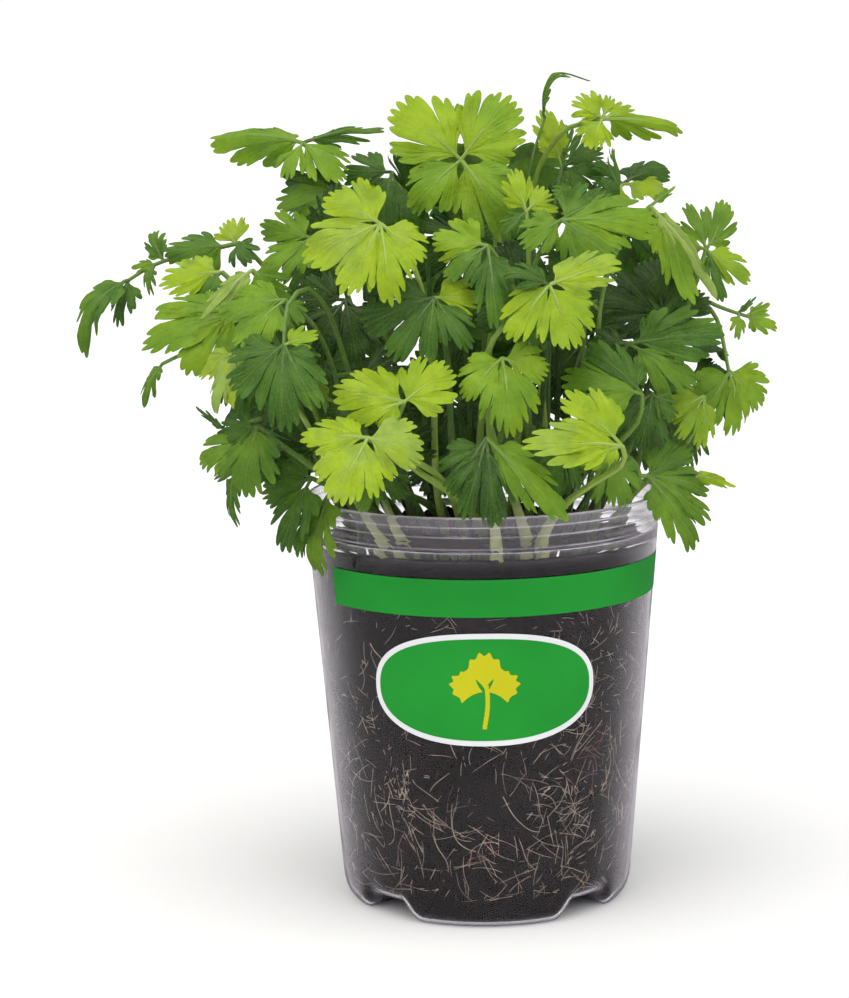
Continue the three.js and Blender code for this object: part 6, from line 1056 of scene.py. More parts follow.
def ink_material(name, dark, light, rough=0.34):
    m, nt, out = new_material(name)
    at = where(nt)
    broad = noise(nt, at, 30, 2.0)
    grain = noise(nt, at, 2200, 2.0)
    colour = ramp(nt, broad, [(0.3, dark), (0.7, light)])
    colour = mix(nt, span(nt, grain, 0.5, 0.75, 0.0, 0.16), colour, light)
    bump = node(nt, "ShaderNodeBump", Strength=0.15, Distance=0.00005)
    nt.links.new(grain, bump.inputs["Height"])
    p = nt.nodes.new("ShaderNodeBsdfPrincipled")
    p.inputs["Specular IOR Level"].default_value = 0.12
    nt.links.new(colour, p.inputs["Base Color"])
    nt.links.new(span(nt, grain, 0.3, 0.7, rough - 0.05, rough + 0.08, "LINEAR"), p.inputs["Roughness"])
    nt.links.new(bump.outputs[0], p.inputs["Normal"])
    nt.links.new(p.outputs[0], out.inputs["Surface"])
    return m


def floor_material():
    m, nt, out = new_material("pale_floor")
    at = where(nt)
    n = noise(nt, at, 6, 3.0)
    p = nt.nodes.new("ShaderNodeBsdfPrincipled")
    p.inputs["Roughness"].default_value = 0.9
    p.inputs["Specular IOR Level"].default_value = 0.1
    pale = ramp(nt, n, [(0.2, (0.86, 0.86, 0.86)), (0.8, (0.89, 0.89, 0.89))])
    # its mirror image in the cup is kept faint
    path = nt.nodes.new("ShaderNodeLightPath")
    mirrored = calc(nt, "SUBTRACT", path.outputs["Is Glossy Ray"], path.outputs["Is Transmission Ray"])
    nt.links.new(
        mix(nt, span(nt, mirrored, 0.0, 1.0, 0.0, 0.88, "LINEAR"), pale, (0.0, 0.0, 0.0)),
        p.inputs["Base Color"],
    )
    nt.links.new(p.outputs[0], out.inputs["Surface"])
    return m


# leaf colours by tone: partly the leaves' own colour, partly painted light and shade, dark for shaded and inner leaves,
# bright for lit ones
LEAF_TONE_LIGHT_AND_SHADE = [
    (0.00, (0.022, 0.070, 0.013)),
    (0.25, (0.072, 0.190, 0.018)),
    (0.50, (0.215, 0.385, 0.018)),
    (0.75, (0.405, 0.545, 0.010)),
    (1.00, (0.370, 0.500, 0.110)),
]
# stalk colours by tone: partly their own colour, partly painted light and shade, dark on the inner stalks
STALK_TONE_LIGHT_AND_SHADE = [
    (0.00, (0.035, 0.085, 0.014)),
    (0.25, (0.075, 0.170, 0.022)),
    (0.50, (0.200, 0.340, 0.045)),
    (0.75, (0.340, 0.480, 0.080)),
    (1.00, (0.380, 0.480, 0.160)),
]
VEIN = (0.46, 0.62, 0.10)
# the colour of the painted mottled shade on the leaves
MOTTLED_SHADE = (0.62, 0.72, 0.55)
UNDERSIDE = (0.26, 0.38, 0.15)
MILK = (0.0, 0.003)

LEAF = leaf_material()
STALK = stalk_material()


# ---- leaves ----
def envelope(a):
    return 1 - 0.42 * (np.abs(a) / 80) ** 2.2


def outline(Lb, k, left, right, rng, ragged=1.0):
    """The toothed edge of a leaflet as angles and radii, and its lobes."""
    cuts = []
    for side, limit in ((-1, right), (1, left)):
        b = 27 + rng.uniform(-4, 5)
        if limit > b + 9:
            cuts.append((side * b, min(0.78, ragged * rng.uniform(0.34, 0.58))))
        b2 = b + rng.uniform(23, 30)
        if limit > b2 + 9:
            cuts.append((side * b2, min(0.66, ragged * rng.uniform(0.22, 0.42))))
    cuts.sort()
    if not cuts and left + right > 34:
        cuts = [((left - right) / 2 + rng.uniform(-4, 4), rng.uniform(0.28, 0.45))]
    marks = [-right, *[c[0] for c in cuts], left]
    ang, rad, phase, lobes, tooth = [], [], [], [], 0
    size = float(np.clip(Lb * 0.118, 1.5, 2.6))
    for i in range(len(marks) - 1):
        lo, hi = marks[i], marks[i + 1]
        mid = (lo + hi) / 2
        m = math.radians(mid)
        per_deg = (
            Lb * float(envelope(mid)) * math.hypot(math.sin(m), k * math.cos(m))
        ) * math.pi / 180
        slit = min(0.60 * ragged**1.6 / max(per_deg, 0.05), 0.15 * (hi - lo))
        a0 = lo + (slit if i else 0)
        a1 = hi - (slit if i < len(marks) - 2 else 0)
        count = max(1, round((a1 - a0) * per_deg / size))
        bounds = np.linspace(a0, a1, count + 1)
        bounds[1:-1] += rng.uniform(-0.16, 0.16, count - 1) * (a1 - a0) / count
        if i:
            d = cuts[i - 1][1]
            base = float(envelope(lo))
            ang += [lo, lo + slit * 0.5]
            rad += [base * (1 - d), base * (1 - d * 0.55)]
            phase += [tooth, tooth]
        deep = float(np.clip(size * 0.92 / max(Lb, 4), 0.09, 0.20))
        notch = deep * rng.uniform(0.60, 1.25, count + 1)
        notch[rng.uniform(0, 1, count + 1) < 0.28] *= 1.75
        for j in range(count):
            t0, t1 = bounds[j], bounds[j + 1]
            lean = rng.uniform(-0.07, 0.07)
            short = rng.uniform(0.0, 0.035)
            for f in (0.0, 0.11, 0.26, 0.42, 0.58, 0.74, 0.89):
                a = t0 + (t1 - t0) * f
                x = abs(2 * (f - 0.5 - lean * (0 < f)))
                lift = notch[j] if f < 0.5 else notch[j + 1]
                x_lobe = abs(a - mid) / max((hi - lo) / 2, 1)
                round_off = 1 - 0.10 * x_lobe**2.6
                end = min(a + right, left - a)
                round_off *= 1 - 0.16 * (1 - smooth(0, 9, end))
                ang.append(a)
                rad.append(float(envelope(a)) * round_off * (1 - short - lift * min(x, 1) ** 2.1))
                phase.append(tooth + f)
            tooth += 1
        if i == len(marks) - 2:
            a = a1
            ang.append(a)
            rad.append(float(envelope(a)) * 0.90 * 0.84 * (1 - deep))
            phase.append(tooth)
        else:
            base = float(envelope(hi))
            ang += [a1, hi - slit * 0.5]
            rad += [base * 0.90 * (1 - deep), base * (1 - cuts[i][1] * 0.55)]
            phase += [tooth, tooth]
        lobes.append((lo, hi, mid, bounds))
    order = np.argsort(ang, kind="stable")
    return np.array(ang)[order], np.array(rad)[order], lobes


ROWS = np.array([0.045, 0.15, 0.28, 0.42, 0.56, 0.69, 0.80, 0.89, 0.95, 1.0])
THICK = 0.24  # of a leaflet, millimetres
RIPPLE = Wobble(5, 9.0)
SWELL = Wobble(6, 26.0)


def leaflet(shape, data, seed, fill=1.0):
    foot, tip, up, width, arch, fold, tone, stem, left, right = data
    rng = np.random.default_rng(seed)
    A, T = np.array(foot, float), np.array(tip, float)
    left, right = min(84.0, left * 1.24 + 4), min(84.0, right * 1.24 + 4)
    stem *= 0.6
    grow = fill * (1.16 if tone < 0.95 else 1.05)
    T = A + (T - A) * (1 + (grow - 1) * 0.55)
    width *= grow
    L = np.linalg.norm(T - A)
    e = (T - A) / L
    n = unit(np.array(up, float) - (np.array(up, float) @ e) * e)
    s = np.cross(n, e)
    Lb = L * (1 - stem)
    k = width / (1.35 * Lb)
    ragged = float(np.interp(tone, [0.8, 2.0, 3.0], [1.35, 1.1, 0.92])) * rng.uniform(0.88, 1.12)
    ang, rad, lobes = outline(Lb, k, left, right, rng, ragged)
    # a row for the middle of each lobe, where its main vein runs
    for lo, hi, mid, _ in lobes:
        if np.abs(ang - mid).min() > 0.15:
            i = np.searchsorted(ang, mid)
            r = np.interp(mid, ang, rad)
            ang, rad = np.insert(ang, i, mid), np.insert(rad, i, r)
        else:
            ang[np.abs(ang - mid).argmin()] = mid
    env = envelope(ang)
    rho = ROWS[:, None] * rad[None, :]
    a = np.broadcast_to(ang[None, :], rho.shape)
    reach = rho / env[None, :]
    # lobes: which one, how far across it, and the tooth that a vein here leads to
    which = np.clip(
        np.searchsorted([x[1] for x in lobes], ang, side="left"), 0, len(lobes) - 1
    )
    mids = np.array([x[2] for x in lobes])[which]
    halves = np.array([(x[1] - x[0]) / 2 for x in lobes])[which]
    across = (ang - mids) / np.maximum(halves, 1)
    w = 0.10 + 0.90 * np.clip(reach, 0, 1) ** 1.15
    aim = mids[None, :] + (a - mids[None, :]) / w
    phase = np.zeros_like(rho)
    pitch = np.zeros_like(rho)
    first = 0
    for i, (_, _, _, bounds) in enumerate(lobes):
        cols = which == i
        number = np.arange(len(bounds)) + first
        phase[:, cols] = np.interp(aim[:, cols], bounds, number)
        pitch[:, cols] = (bounds[-1] - bounds[0]) / (len(bounds) - 1)
        first += len(bounds) - 1
    rad_a = np.radians(a)
    per_rad = Lb * rho * np.hypot(np.sin(rad_a), k * np.cos(rad_a))
    pitch = np.radians(pitch) * w * per_rad
    main = np.abs(np.radians(a - mids[None, :])) * per_rad
    # place on the blade
    squeeze = 0.80 + 0.20 * smooth(0.0, 0.55, rho)
    b = np.radians(a * squeeze)
    u = stem * L + Lb * rho * np.cos(b)
    v = Lb * rho * np.sin(b) * k
    q = u / L
    h = -4 * arch * L * (q * q - q)
    h -= (np.sqrt(v * v + 0.8) - math.sqrt(0.8)) * math.sin(fold)
    h += 0.032 * Lb * np.clip(reach, 0, 1) ** 1.3 * (across[None, :] ** 2 - 0.35)
    turns = rng.uniform(2.2, 4.2)
    h += (
        rng.uniform(0.014, 0.036)
        * Lb
        * reach**3
        * np.sin(np.radians(a) * turns + rng.uniform(0, 6.28))
    )
    h -= rng.uniform(-0.02, 0.095) * Lb * reach**4
    flex = rng.uniform(-1, 1, 64)
    h += 0.45 * flex[np.clip(phase.astype(int), 0, 63)] * smooth(0.78, 1.0, reach)
    vc = v * math.cos(fold)
    P = A + u[..., None] * e + vc[..., None] * s + h[..., None] * n
    h2 = 0.46 * RIPPLE(P) * smooth(0.1, 0.5, reach) + 0.80 * SWELL(P) * reach
    P = P + h2[..., None] * n
    # two skins, a rim between them
    da = np.gradient(P, axis=1)
    dr = np.gradient(P, axis=0)
    N = np.cross(dr, da)
    N /= np.linalg.norm(N, axis=-1)[..., None] + 1e-12
    N *= np.sign((N @ n).mean())
    thick = THICK * (1 - 0.45 * smooth(0.9, 1.0, ROWS))[:, None, None]
    up_skin, low_skin = P + N * thick / 2, P - N * thick / 2
    rows, cols = rho.shape
    m = rows * cols
    flat = np.cross(up_skin[1, 0] - up_skin[0, 0], up_skin[0, 1] - up_skin[0, 0])
    upwards = bool((np.cross(dr, da).mean((0, 1)) @ n) < 0)
    faces = grid_faces(rows, cols, 0, flip=not upwards)
    faces += grid_faces(rows, cols, m, flip=upwards)
    ring = (
        [j for j in range(cols)]
        + [i * cols + cols - 1 for i in range(1, rows)]
        + [(rows - 1) * cols + j for j in range(cols - 2, -1, -1)]
        + [i * cols for i in range(rows - 2, 0, -1)]
    )
    for x, y in zip(ring, ring[1:] + ring[:1]):
        f = (x, x + m, y + m, y)
        faces.append(f if upwards else f[::-1])
    tones = np.full(m, tone + rng.uniform(-0.12, 0.12))
    va = np.stack([phase.ravel(), main.ravel(), pitch.ravel()], 1)
    tb = np.stack([tones, np.zeros(m), reach.ravel()], 1)
    tb2 = tb.copy()
    tb2[:, 1] = 1
    shape.add(
        np.vstack([up_skin.reshape(-1, 3), low_skin.reshape(-1, 3)]),
        faces,
        0,
        np.vstack([va, va]),
        np.vstack([tb, tb2]),
    )
    # its own short stalk, which runs on under the blade as the midrib
    mid_col = int(np.abs(ang).argmin())
    under = P[:, mid_col] - N[:, mid_col] * 0.12
    line = np.vstack([A[None], A + e * stem * L * 0.55 + n * h[0, mid_col] * 0.5, under[:7]])
    line = through(line, 14)
    t = np.linspace(0, 1, 14)
    tube(
        shape,
        line,
        (0.50 - 0.36 * smooth(0.1, 1.0, t)) * (0.75 + 0.25 * min(Lb / 20, 1.3)),
        6,
        1,
        b=np.stack([np.full(14, tone), 0.6 + 0.4 * t, 0 * t], 1),
    )


# the stalks that stand against the front of the cup, blanched and swollen at the foot
PALE_FOOT = (
    "leaf_left_hanging", "leaf_left_curled", "leaf_center_bright", "leaf_center_right", "leaf_right_yellow",
)


def leaf(name, stalk, arms, leaflets, seed):
    rng = np.random.default_rng(seed)
    shape = Shape()
    tone = float(np.mean([x[6] for x in leaflets]))
    line = np.array(stalk, float)
    down = unit(line[0] - line[1])
    line = np.vstack([line[:1] + down * 3.2, line])
    length = np.linalg.norm(np.diff(line, axis=0), axis=1).sum()
    count = int(np.clip(length / 4.5, 16, 46))
    path = through(line, count)
    t = np.linspace(0, 1, count)
    path = path + np.stack([np.sin(t * 9 + seed), np.cos(t * 7 + seed), 0 * t], 1) * (
        0.35 * np.sin(t * math.pi)
    )[:, None]
    thick = 0.5 if name == "leaf_top_sprig" else rng.uniform(0.80, 1.02)
    mm = t * length
    blanched = name in PALE_FOOT
    foot_wide = 1.35 if blanched else 0.45
    r = thick * ((1.0 - 0.36 * t) + foot_wide * np.exp(-mm / 8.0))
    tube(
        shape, path, r, 10, 1, b=np.stack([np.full(count, tone), np.minimum(mm / 100, 1), np.full(count, 1.0 if blanched else 0.0)], 1), ribs=0.07
    )
    for arm in arms:
        pts = through(arm, 10)
        tube(shape, pts, np.linspace(0.62, 0.46, 10), 8, 1, b=(tone, 0.8, 0.0))
    fill = 1.0
    if "_back_" in name or "inner" in name:
        fill = 1.24 if name != "leaf_upper_left_back" else 1.0
    for i, x in enumerate(leaflets):
        leaflet(shape, x, seed * 37 + i, fill)
    ob = shape.make(name + "_fine", [LEAF, STALK])
    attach(ob, "root")
    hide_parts(name)
    return ob


for number, (name, (slot, stalk, arms, leaflets)) in enumerate(LEAVES.items()):
    leaf(name, stalk, arms, leaflets, 101 + number)


# ---- cup ----
LIP_TOP = float(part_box("pot")[1].z) / MM
WALL = 0.5
FLOOR_THICK = 0.6
NOTCH = 5.0
HEEL = [(34.4, 0.0), (35.2, 0.22), (36.2, 0.85), (37.05, 1.9), (37.6, 3.1), (37.95, 4.6), (38.2, 6.5)]
RINGS = [
    (45.80, 98.3), (45.72, 98.55), (45.42, 98.85), (45.30, 99.3), (45.30, 100.0), (45.38, 100.45),
    (45.68, 100.85), (45.86, 101.25), (45.92, 101.7), (45.86, 102.15), (45.68, 102.55), (45.38, 102.9),
    (45.30, 103.3), (45.32, 103.75), (45.50, 104.25), (45.75, 104.7), (45.84, 105.2), (45.84, 106.5),
    (45.78, 107.0), (45.60, 107.34), (45.38, 107.46),
]
RINGS = [(45.66 + (r - 45.66) * 0.8, z) for r, z in RINGS]


def wall_radius(z):
    return 38.2 + (45.8 - 38.2) * (z - 6.5) / (98.3 - 6.5)


def at_angle(r, z, phi):
    """phi is 0 at the front and grows towards +X."""
    r, z, phi = np.broadcast_arrays(r, z, phi)
    return np.stack([r * np.sin(phi), -r * np.cos(phi), z], -1)


def notch_lift(r, phi):
    """How far the underside is raised at this place, by the four gaps between the feet."""
    lift = np.zeros(np.broadcast(r, phi).shape)
    for c in (45, 135, 225, 315):
        d = (phi - math.radians(c) + math.pi) % (2 * math.pi) - math.pi
        t = np.abs(r * np.sin(d)) + 50 * (np.abs(d) > 1.2)
        side = NOTCH * smooth(10.0, 5.0, t)
        lift = np.maximum(lift, side * smooth(23.8, 26.2, r))
    return lift


def cup():
    around = 224
    phi = np.linspace(0, 2 * math.pi, around, endpoint=False)
    out = [(r, 0.0) for r in (3, 8, 13, 18, 22, 23.8, 24.6, 25.4, 26.2, 28, 30, 32, 33.4)]
    out += HEEL
    out += [(float(wall_radius(z)), z) for z in np.linspace(6.5, 98.3, 30)[1:-1]]
    out += RINGS
    out = np.array(out)
    # the inside follows the outside at the wall's thickness
    tan = np.gradient(out, axis=0)
    nrm = np.stack([-tan[:, 1], tan[:, 0]], 1)
    nrm /= np.linalg.norm(nrm, axis=1)[:, None]
    inner = out + nrm * WALL
    keep = (out[:, 1] > 6) & (out[:, 1] < 106.9)
    inner_wall = inner[keep]
    low = [(r, FLOOR_THICK) for r in (3, 8, 13, 18, 22, 23.8, 24.6, 25.4, 26.2, 28, 30, 31.5, 33)]
    low += [(34.4, 0.78), (35.5, 1.3), (36.5, 2.3), (37.1, 3.5), (37.42, 4.9)]
    lip = np.array([(45.28, 107.5), (45.16, 107.46), (45.08, 107.28)])
    prof = np.vstack([out, lip, inner_wall[::-1], np.array(low)[::-1]])
    r = prof[:, 0][:, None]
    z = prof[:, 1][:, None]
    lift = notch_lift(np.minimum(r, 38.5), phi[None, :]) * smooth(16.0, 3.0, z) ** 0
    top = 15.0
    share = np.clip(1 - z / top, 0, 1)
    zz = z + lift * share
    P = at_angle(r, zz, phi[None, :])
    shape = Shape()
    rows = len(prof)
    verts = np.vstack([P.reshape(-1, 3), [[0, 0, 0.0], [0, 0, FLOOR_THICK]]])
    faces = grid_faces(rows, around, closed=True)
    k = rows * around
    for j in range(around):
        i = (j + 1) % around
        faces.append((k, i, j))
        faces.append((k + 1, (rows - 1) * around + j, (rows - 1) * around + i))
    shape.add(verts, faces)
    ob = shape.make("cup_fine", [pot_material()], sharp=None)
    fix_outward(ob)
    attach(ob, "root")
    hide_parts("pot")
    return ob


def fix_outward(ob):
    """Turns the faces out, judged by the mesh's own volume."""
    me = ob.data
    me.calc_loop_triangles()
    v = np.zeros(len(me.vertices) * 3)
    me.vertices.foreach_get("co", v)
    v = v.reshape(-1, 3)
    t = np.zeros(len(me.loop_triangles) * 3, np.int64)
    me.loop_triangles.foreach_get("vertices", t)
    t = t.reshape(-1, 3)
    a, b, c = v[t[:, 0]], v[t[:, 1]], v[t[:, 2]]
    if (a * np.cross(b, c)).sum() < 0:
        me.flip_normals()


# ---- compost ----
SOIL_GAP = 0.12
CRUMB = Wobble(21, 6.0, 24)
CRUMB_SMALL = Wobble(22, 2.6, 40)
CLOD = Wobble(23, 17.0, 12)


def soil_radius(z):
    return wall_radius(z) - WALL - SOIL_GAP


def soil_top(r):
    return 99.6 - 0.0033 * r * r


def compost():
    around = 360
    phi = np.linspace(0, 2 * math.pi, around, endpoint=False)
    edge = 93.3
    low = [(r, 0.78) for r in (2, 8, 14, 20, 24, 26, 29, 32, 33.6)] + [(35.0, 1.2), (36.1, 2.3), (36.85, 3.7), (37.2, 4.9)]
    side = [(float(soil_radius(z)), z) for z in np.linspace(6.2, edge - 0.6, 92)]
    over = [(float(soil_radius(edge)) - d, soil_top(44.0) - 0.2 + d * 0.1) for d in (0.5,)]
    over += [(r, float(soil_top(r))) for r in np.linspace(42.4, 1.0, 58)]
    prof = np.array(low + side + over)
    kind = np.array([0] * len(low) + [1] * len(side) + [2] * len(over))
    r = prof[:, 0][:, None]
    z = prof[:, 1][:, None]
    lift = notch_lift(r, phi[None, :])
    zz = z + lift * np.clip(1 - z / 15.0, 0, 1)
    P = at_angle(r, zz, phi[None, :])
    flat = P.reshape(-1, 3)
    d = (0.5 * CRUMB(flat) + 0.5 * CRUMB_SMALL(flat)).reshape(P.shape[:2])
    clod = CLOD(flat).reshape(P.shape[:2])
    out = at_angle(1.0, 0.0, phi[None, :])
    # the side is pressed against the cup, so it only falls back from it
    inwards = np.clip(-0.35 - d * 0.5, 0, 1.0) + np.clip(-clod - 1.25, 0, 1) * 1.3
    P = P - out * (inwards * (kind == 1)[:, None])[..., None]
    rise = 0.75 * d + 0.8 * clod * smooth(44, 36, r)
    rise = np.where(r > 42, np.minimum(rise, 0.3), rise)
    P[..., 2] += rise * (kind == 2)[:, None]
    P[..., 2] += (0.35 * d - 0.2) * (kind == 0)[:, None] * 0
    shape = Shape()
    rows = len(prof)
    verts = np.vstack([P.reshape(-1, 3), [[0, 0, 0.78], [0, 0, 99.6 + 0.5]]])
    faces = grid_faces(rows, around, closed=True)
    k = rows * around
    for j in range(around):
        i = (j + 1) % around
        faces.append((k, i, j))
        faces.append((k + 1, (rows - 1) * around + j, (rows - 1) * around + i))
    shape.add(verts, faces)
    rng = np.random.default_rng(77)
    # loose crumbs on the top
    ico_v, ico_f = lump_base()
    for i in range(420):
        rr = 43.4 * math.sqrt(rng.uniform(0.02, 1))
        ph = rng.uniform(0, 2 * math.pi)
        size = rng.uniform(0.35, 1.0) ** 1.5 * 1.5 + 0.25
        rr = min(rr, 43.7 - size)
        c = at_angle(rr, soil_top(rr) + 0.25 * size + rng.uniform(-0.2, 0.5), ph)
        bumps = 1 + 0.28 * np.sin(ico_v @ rng.normal(size=3) * 2.6 + rng.uniform(0, 6)) + 0.12 * np.sin(
            ico_v @ rng.normal(size=3) * 6 + rng.uniform(0, 6)
        )
        v = ico_v * bumps[:, None] * rng.uniform(0.6, 1.2, 3) * size
        shape.add(v + c, ico_f)
    ob = shape.make("compost_fine", [peat_material()], sharp=None)
    fix_outward(ob)
    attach(ob, "root")
    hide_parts("soil")
    return ob


def lump_base():
    """A ball of 42 points, the start of a crumb."""
    t = (1 + 5**0.5) / 2
    v = [
        (-1, t, 0), (1, t, 0), (-1, -t, 0), (1, -t, 0), (0, -1, t), (0, 1, t),
        (0, -1, -t), (0, 1, -t), (t, 0, -1), (t, 0, 1), (-t, 0, -1), (-t, 0, 1),
    ]
    f = [
        (0, 11, 5), (0, 5, 1), (0, 1, 7), (0, 7, 10), (0, 10, 11), (1, 5, 9), (5, 11, 4),
        (11, 10, 2), (10, 7, 6), (7, 1, 8), (3, 9, 4), (3, 4, 2), (3, 2, 6), (3, 6, 8),
        (3, 8, 9), (4, 9, 5), (2, 4, 11), (6, 2, 10), (8, 6, 7), (9, 8, 1),
    ]
    v = [unit(x) for x in v]
    seen, out = {}, []

    def middle(a, b):
        key = (min(a, b), max(a, b))
        if key not in seen:
            v.append(unit(v[a] + v[b]))
            seen[key] = len(v) - 1
        return seen[key]

    for a, b, c in f:
        x, y, z = middle(a, b), middle(b, c), middle(c, a)
        out += [(a, x, z), (b, y, x), (c, z, y), (x, y, z)]
    return np.array(v), out


# ---- roots against the wall ----
def roots():
    rng = np.random.default_rng(404)
    shape = Shape()

    def strand(phi, z, heading, length, thick, kind, curl):
        step = 1.2
        pts, h = [], heading
        bend = rng.normal(0, curl)
        for _ in range(max(4, int(length / step))):
            pts.append((phi, z))
            bend = 0.8 * bend + rng.normal(0, curl)
            h += bend
            phi += step * math.cos(h) / wall_radius(z)
            z += step * math.sin(h)
            if z < 6.5 or z > 91.5:
                break
        if len(pts) < 4:
            return
        p = np.array(pts)
        r = wall_radius(p[:, 1]) - WALL - 0.03 - thick
        # both ends dive back into the compost
        t = np.linspace(-1, 1, len(p))
        r = r - 0.9 * np.abs(t) ** 5 - rng.uniform(0, 0.12)
        path = at_angle(r, p[:, 1], p[:, 0])
        tube(
            shape, path, thick * (1 - 0.35 * np.abs(t) ** 2), 5 if thick > 0.1 else 4, 0,
            b=(kind, 0, 0),
        )

    def patch(count, phi0, dphi, z0, dz, lengths, thick=(0.10, 0.22), kind=0.0, curl=0.16, lean=None):
        for _ in range(count):
            phi = math.radians(phi0 + rng.normal(0, dphi))
            z = float(np.clip(z0 + rng.normal(0, dz), 8, 90))
            head = rng.uniform(0, 2 * math.pi) if lean is None else rng.normal(lean, 0.6)
            strand(phi, z, head, rng.uniform(*lengths), rng.uniform(*thick), kind, curl)

    # all round, thicker towards the bottom
    for _ in range(1500):
        z = 8 + 80 * rng.uniform(0, 1) ** 1.3
        strand(
            rng.uniform(-math.pi, math.pi), z, rng.uniform(0, 2 * math.pi),
            rng.uniform(4, 18) * (1.15 if z < 45 else 0.75), rng.uniform(0.045, 0.09), 0.0, 0.06,
        )
    # denser mats, as they show through the front
    patch(48, 34, 8, 58, 8, (3, 13), (0.048, 0.109), curl=0.07)
    patch(36, 42, 7, 70, 7, (3, 12), (0.048, 0.098), curl=0.06)
    patch(22, -45, 8, 56, 6, (4, 16), (0.048, 0.098), curl=0.08)
    patch(56, -34, 6, 36, 7, (5, 21), (0.061, 0.131), lean=-0.9, curl=0.06)
    patch(14, -36, 2.5, 38, 2.5, (3, 7), (0.093, 0.182), curl=0.05)
    patch(36, 24, 12, 34, 8, (5, 22), (0.061, 0.120), curl=0.07)
    patch(36, 36, 7, 45, 4.5, (5, 17), (0.048, 0.109), kind=1.0, lean=-0.3, curl=0.07)
    patch(22, -2, 3.5, 20, 1.6, (2, 6), (0.062, 0.126), kind=1.0, curl=0.1)
    patch(22, 8, 18, 80, 4, (3, 9), (0.036, 0.076), curl=0.06)
    patch(36, 0, 34, 18, 5, (4, 17), (0.048, 0.098), curl=0.07)
    for c, z in ((118, 40), (160, 60), (-150, 34), (-110, 55), (190, 25), (80, 30)):
        patch(36, c, 10, z, 7, (5, 20), (0.048, 0.120), curl=0.07)
    # long ones that wander down
    for phi, z, head, length in (
        (-30, 47, -1.1, 36), (-38, 40, -1.5, 26), (3, 42, -1.45, 30), (14, 44, -1.2, 22),
        (26, 42, -0.6, 22), (36, 52, -0.5, 18), (-12, 36, -1.7, 24), (42, 38, -1.9, 26),
        (-20, 56, -0.4, 18), (8, 27, -0.5, 20), (30, 26, 0.25, 22), (22, 22, 0.35, 18),
        (-22, 30, -1.4, 22), (120, 60, -1.4, 40), (170, 50, -1.2, 36), (-140, 55, -1.6, 40),
        (-100, 45, -1.2, 34),
    ):
        strand(math.radians(phi), z, head, length, 0.125, 0.0, 0.08)
    ob = shape.make("roots", [root_material()], sharp=None)
    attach(ob, "root")
    return ob


# ---- print on the wall ----
def on_wall(x, z, out):
    """x in millimetres round the wall from the front, at height z, out from it by out."""
    r = wall_radius(np.asarray(z, float))
    return at_angle(r + out, z, np.asarray(x, float) / r)


def sheet_solid(shape, rows, cols, inner, outer, material, closed=False):
    """Two skins given as grids of points, closed at their edges."""
    m = rows * cols
    faces = grid_faces(rows, cols, 0, closed) + grid_faces(rows, cols, m, closed, True)
    ring_low = list(range(cols))
    if closed:
        for base, back in ((0, False), ((rows - 1) * cols, True)):
            for j in range(cols):
                k = (j + 1) % cols
                q = (base + j, base + j + m, base + k + m, base + k)
                faces.append(q[::-1] if back else q)
    else:
        ring = (
            ring_low
            + [i * cols + cols - 1 for i in range(1, rows)]
            + [(rows - 1) * cols + j for j in range(cols - 2, -1, -1)]
            + [i * cols for i in range(rows - 2, 0, -1)]
        )
        for x, y in zip(ring, ring[1:] + ring[:1]):
            faces.append((y, y + m, x + m, x)[::-1])
    shape.add(np.vstack([outer.reshape(-1, 3), inner.reshape(-1, 3)]), faces, material)


GREEN = ink_material("print_green", (0.0110, 0.240, 0.026), (0.0150, 0.285, 0.031))
WHITE = ink_material("print_white", (0.66, 0.67, 0.70), (0.72, 0.73, 0.75))
YELLOW = ink_material("print_yellow", (0.46, 0.45, 0.010), (0.52, 0.50, 0.012))


def band():
    a = np.radians(np.linspace(-57.5, 236, 200))
    z = np.linspace(82.3, 91.9, 5)
    Z, A = np.meshgrid(z, a, indexing="ij")
    shape = Shape()
    R = wall_radius(Z)
    sheet_solid(shape, 5, 200, at_angle(R + 0.02, Z, A), at_angle(R + 0.10, Z, A), 0)
    ob = shape.make("printed_band", [GREEN], sharp=40)
    fix_outward(ob)
    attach(ob, "root")
    return ob


def disc(shape, cx, cz, edge, lo, hi, material, rings=18):
    """A thin plate on the wall with this edge, a closed run of (x, z) about its middle."""
    e = np.asarray(edge, float)
    cols = len(e)
    t = np.linspace(0.08, 1, rings)[:, None, None]
    g = np.array([cx, cz]) + e[None] * t
    inner = on_wall(g[..., 0], g[..., 1], lo)
    outer = on_wall(g[..., 0], g[..., 1], hi)
    m = rings * cols
    faces = grid_faces(rings, cols, 0, True) + grid_faces(rings, cols, m, True, True)
    for j in range(cols):
        k = (j + 1) % cols
        b = (rings - 1) * cols
        faces.append((b + j, b + j + m, b + k + m, b + k))
    faces.append(tuple(range(cols - 1, -1, -1)))
    faces.append(tuple(m + j for j in range(cols)))
    shape.add(np.vstack([outer.reshape(-1, 3), inner.reshape(-1, 3)]), faces, material)


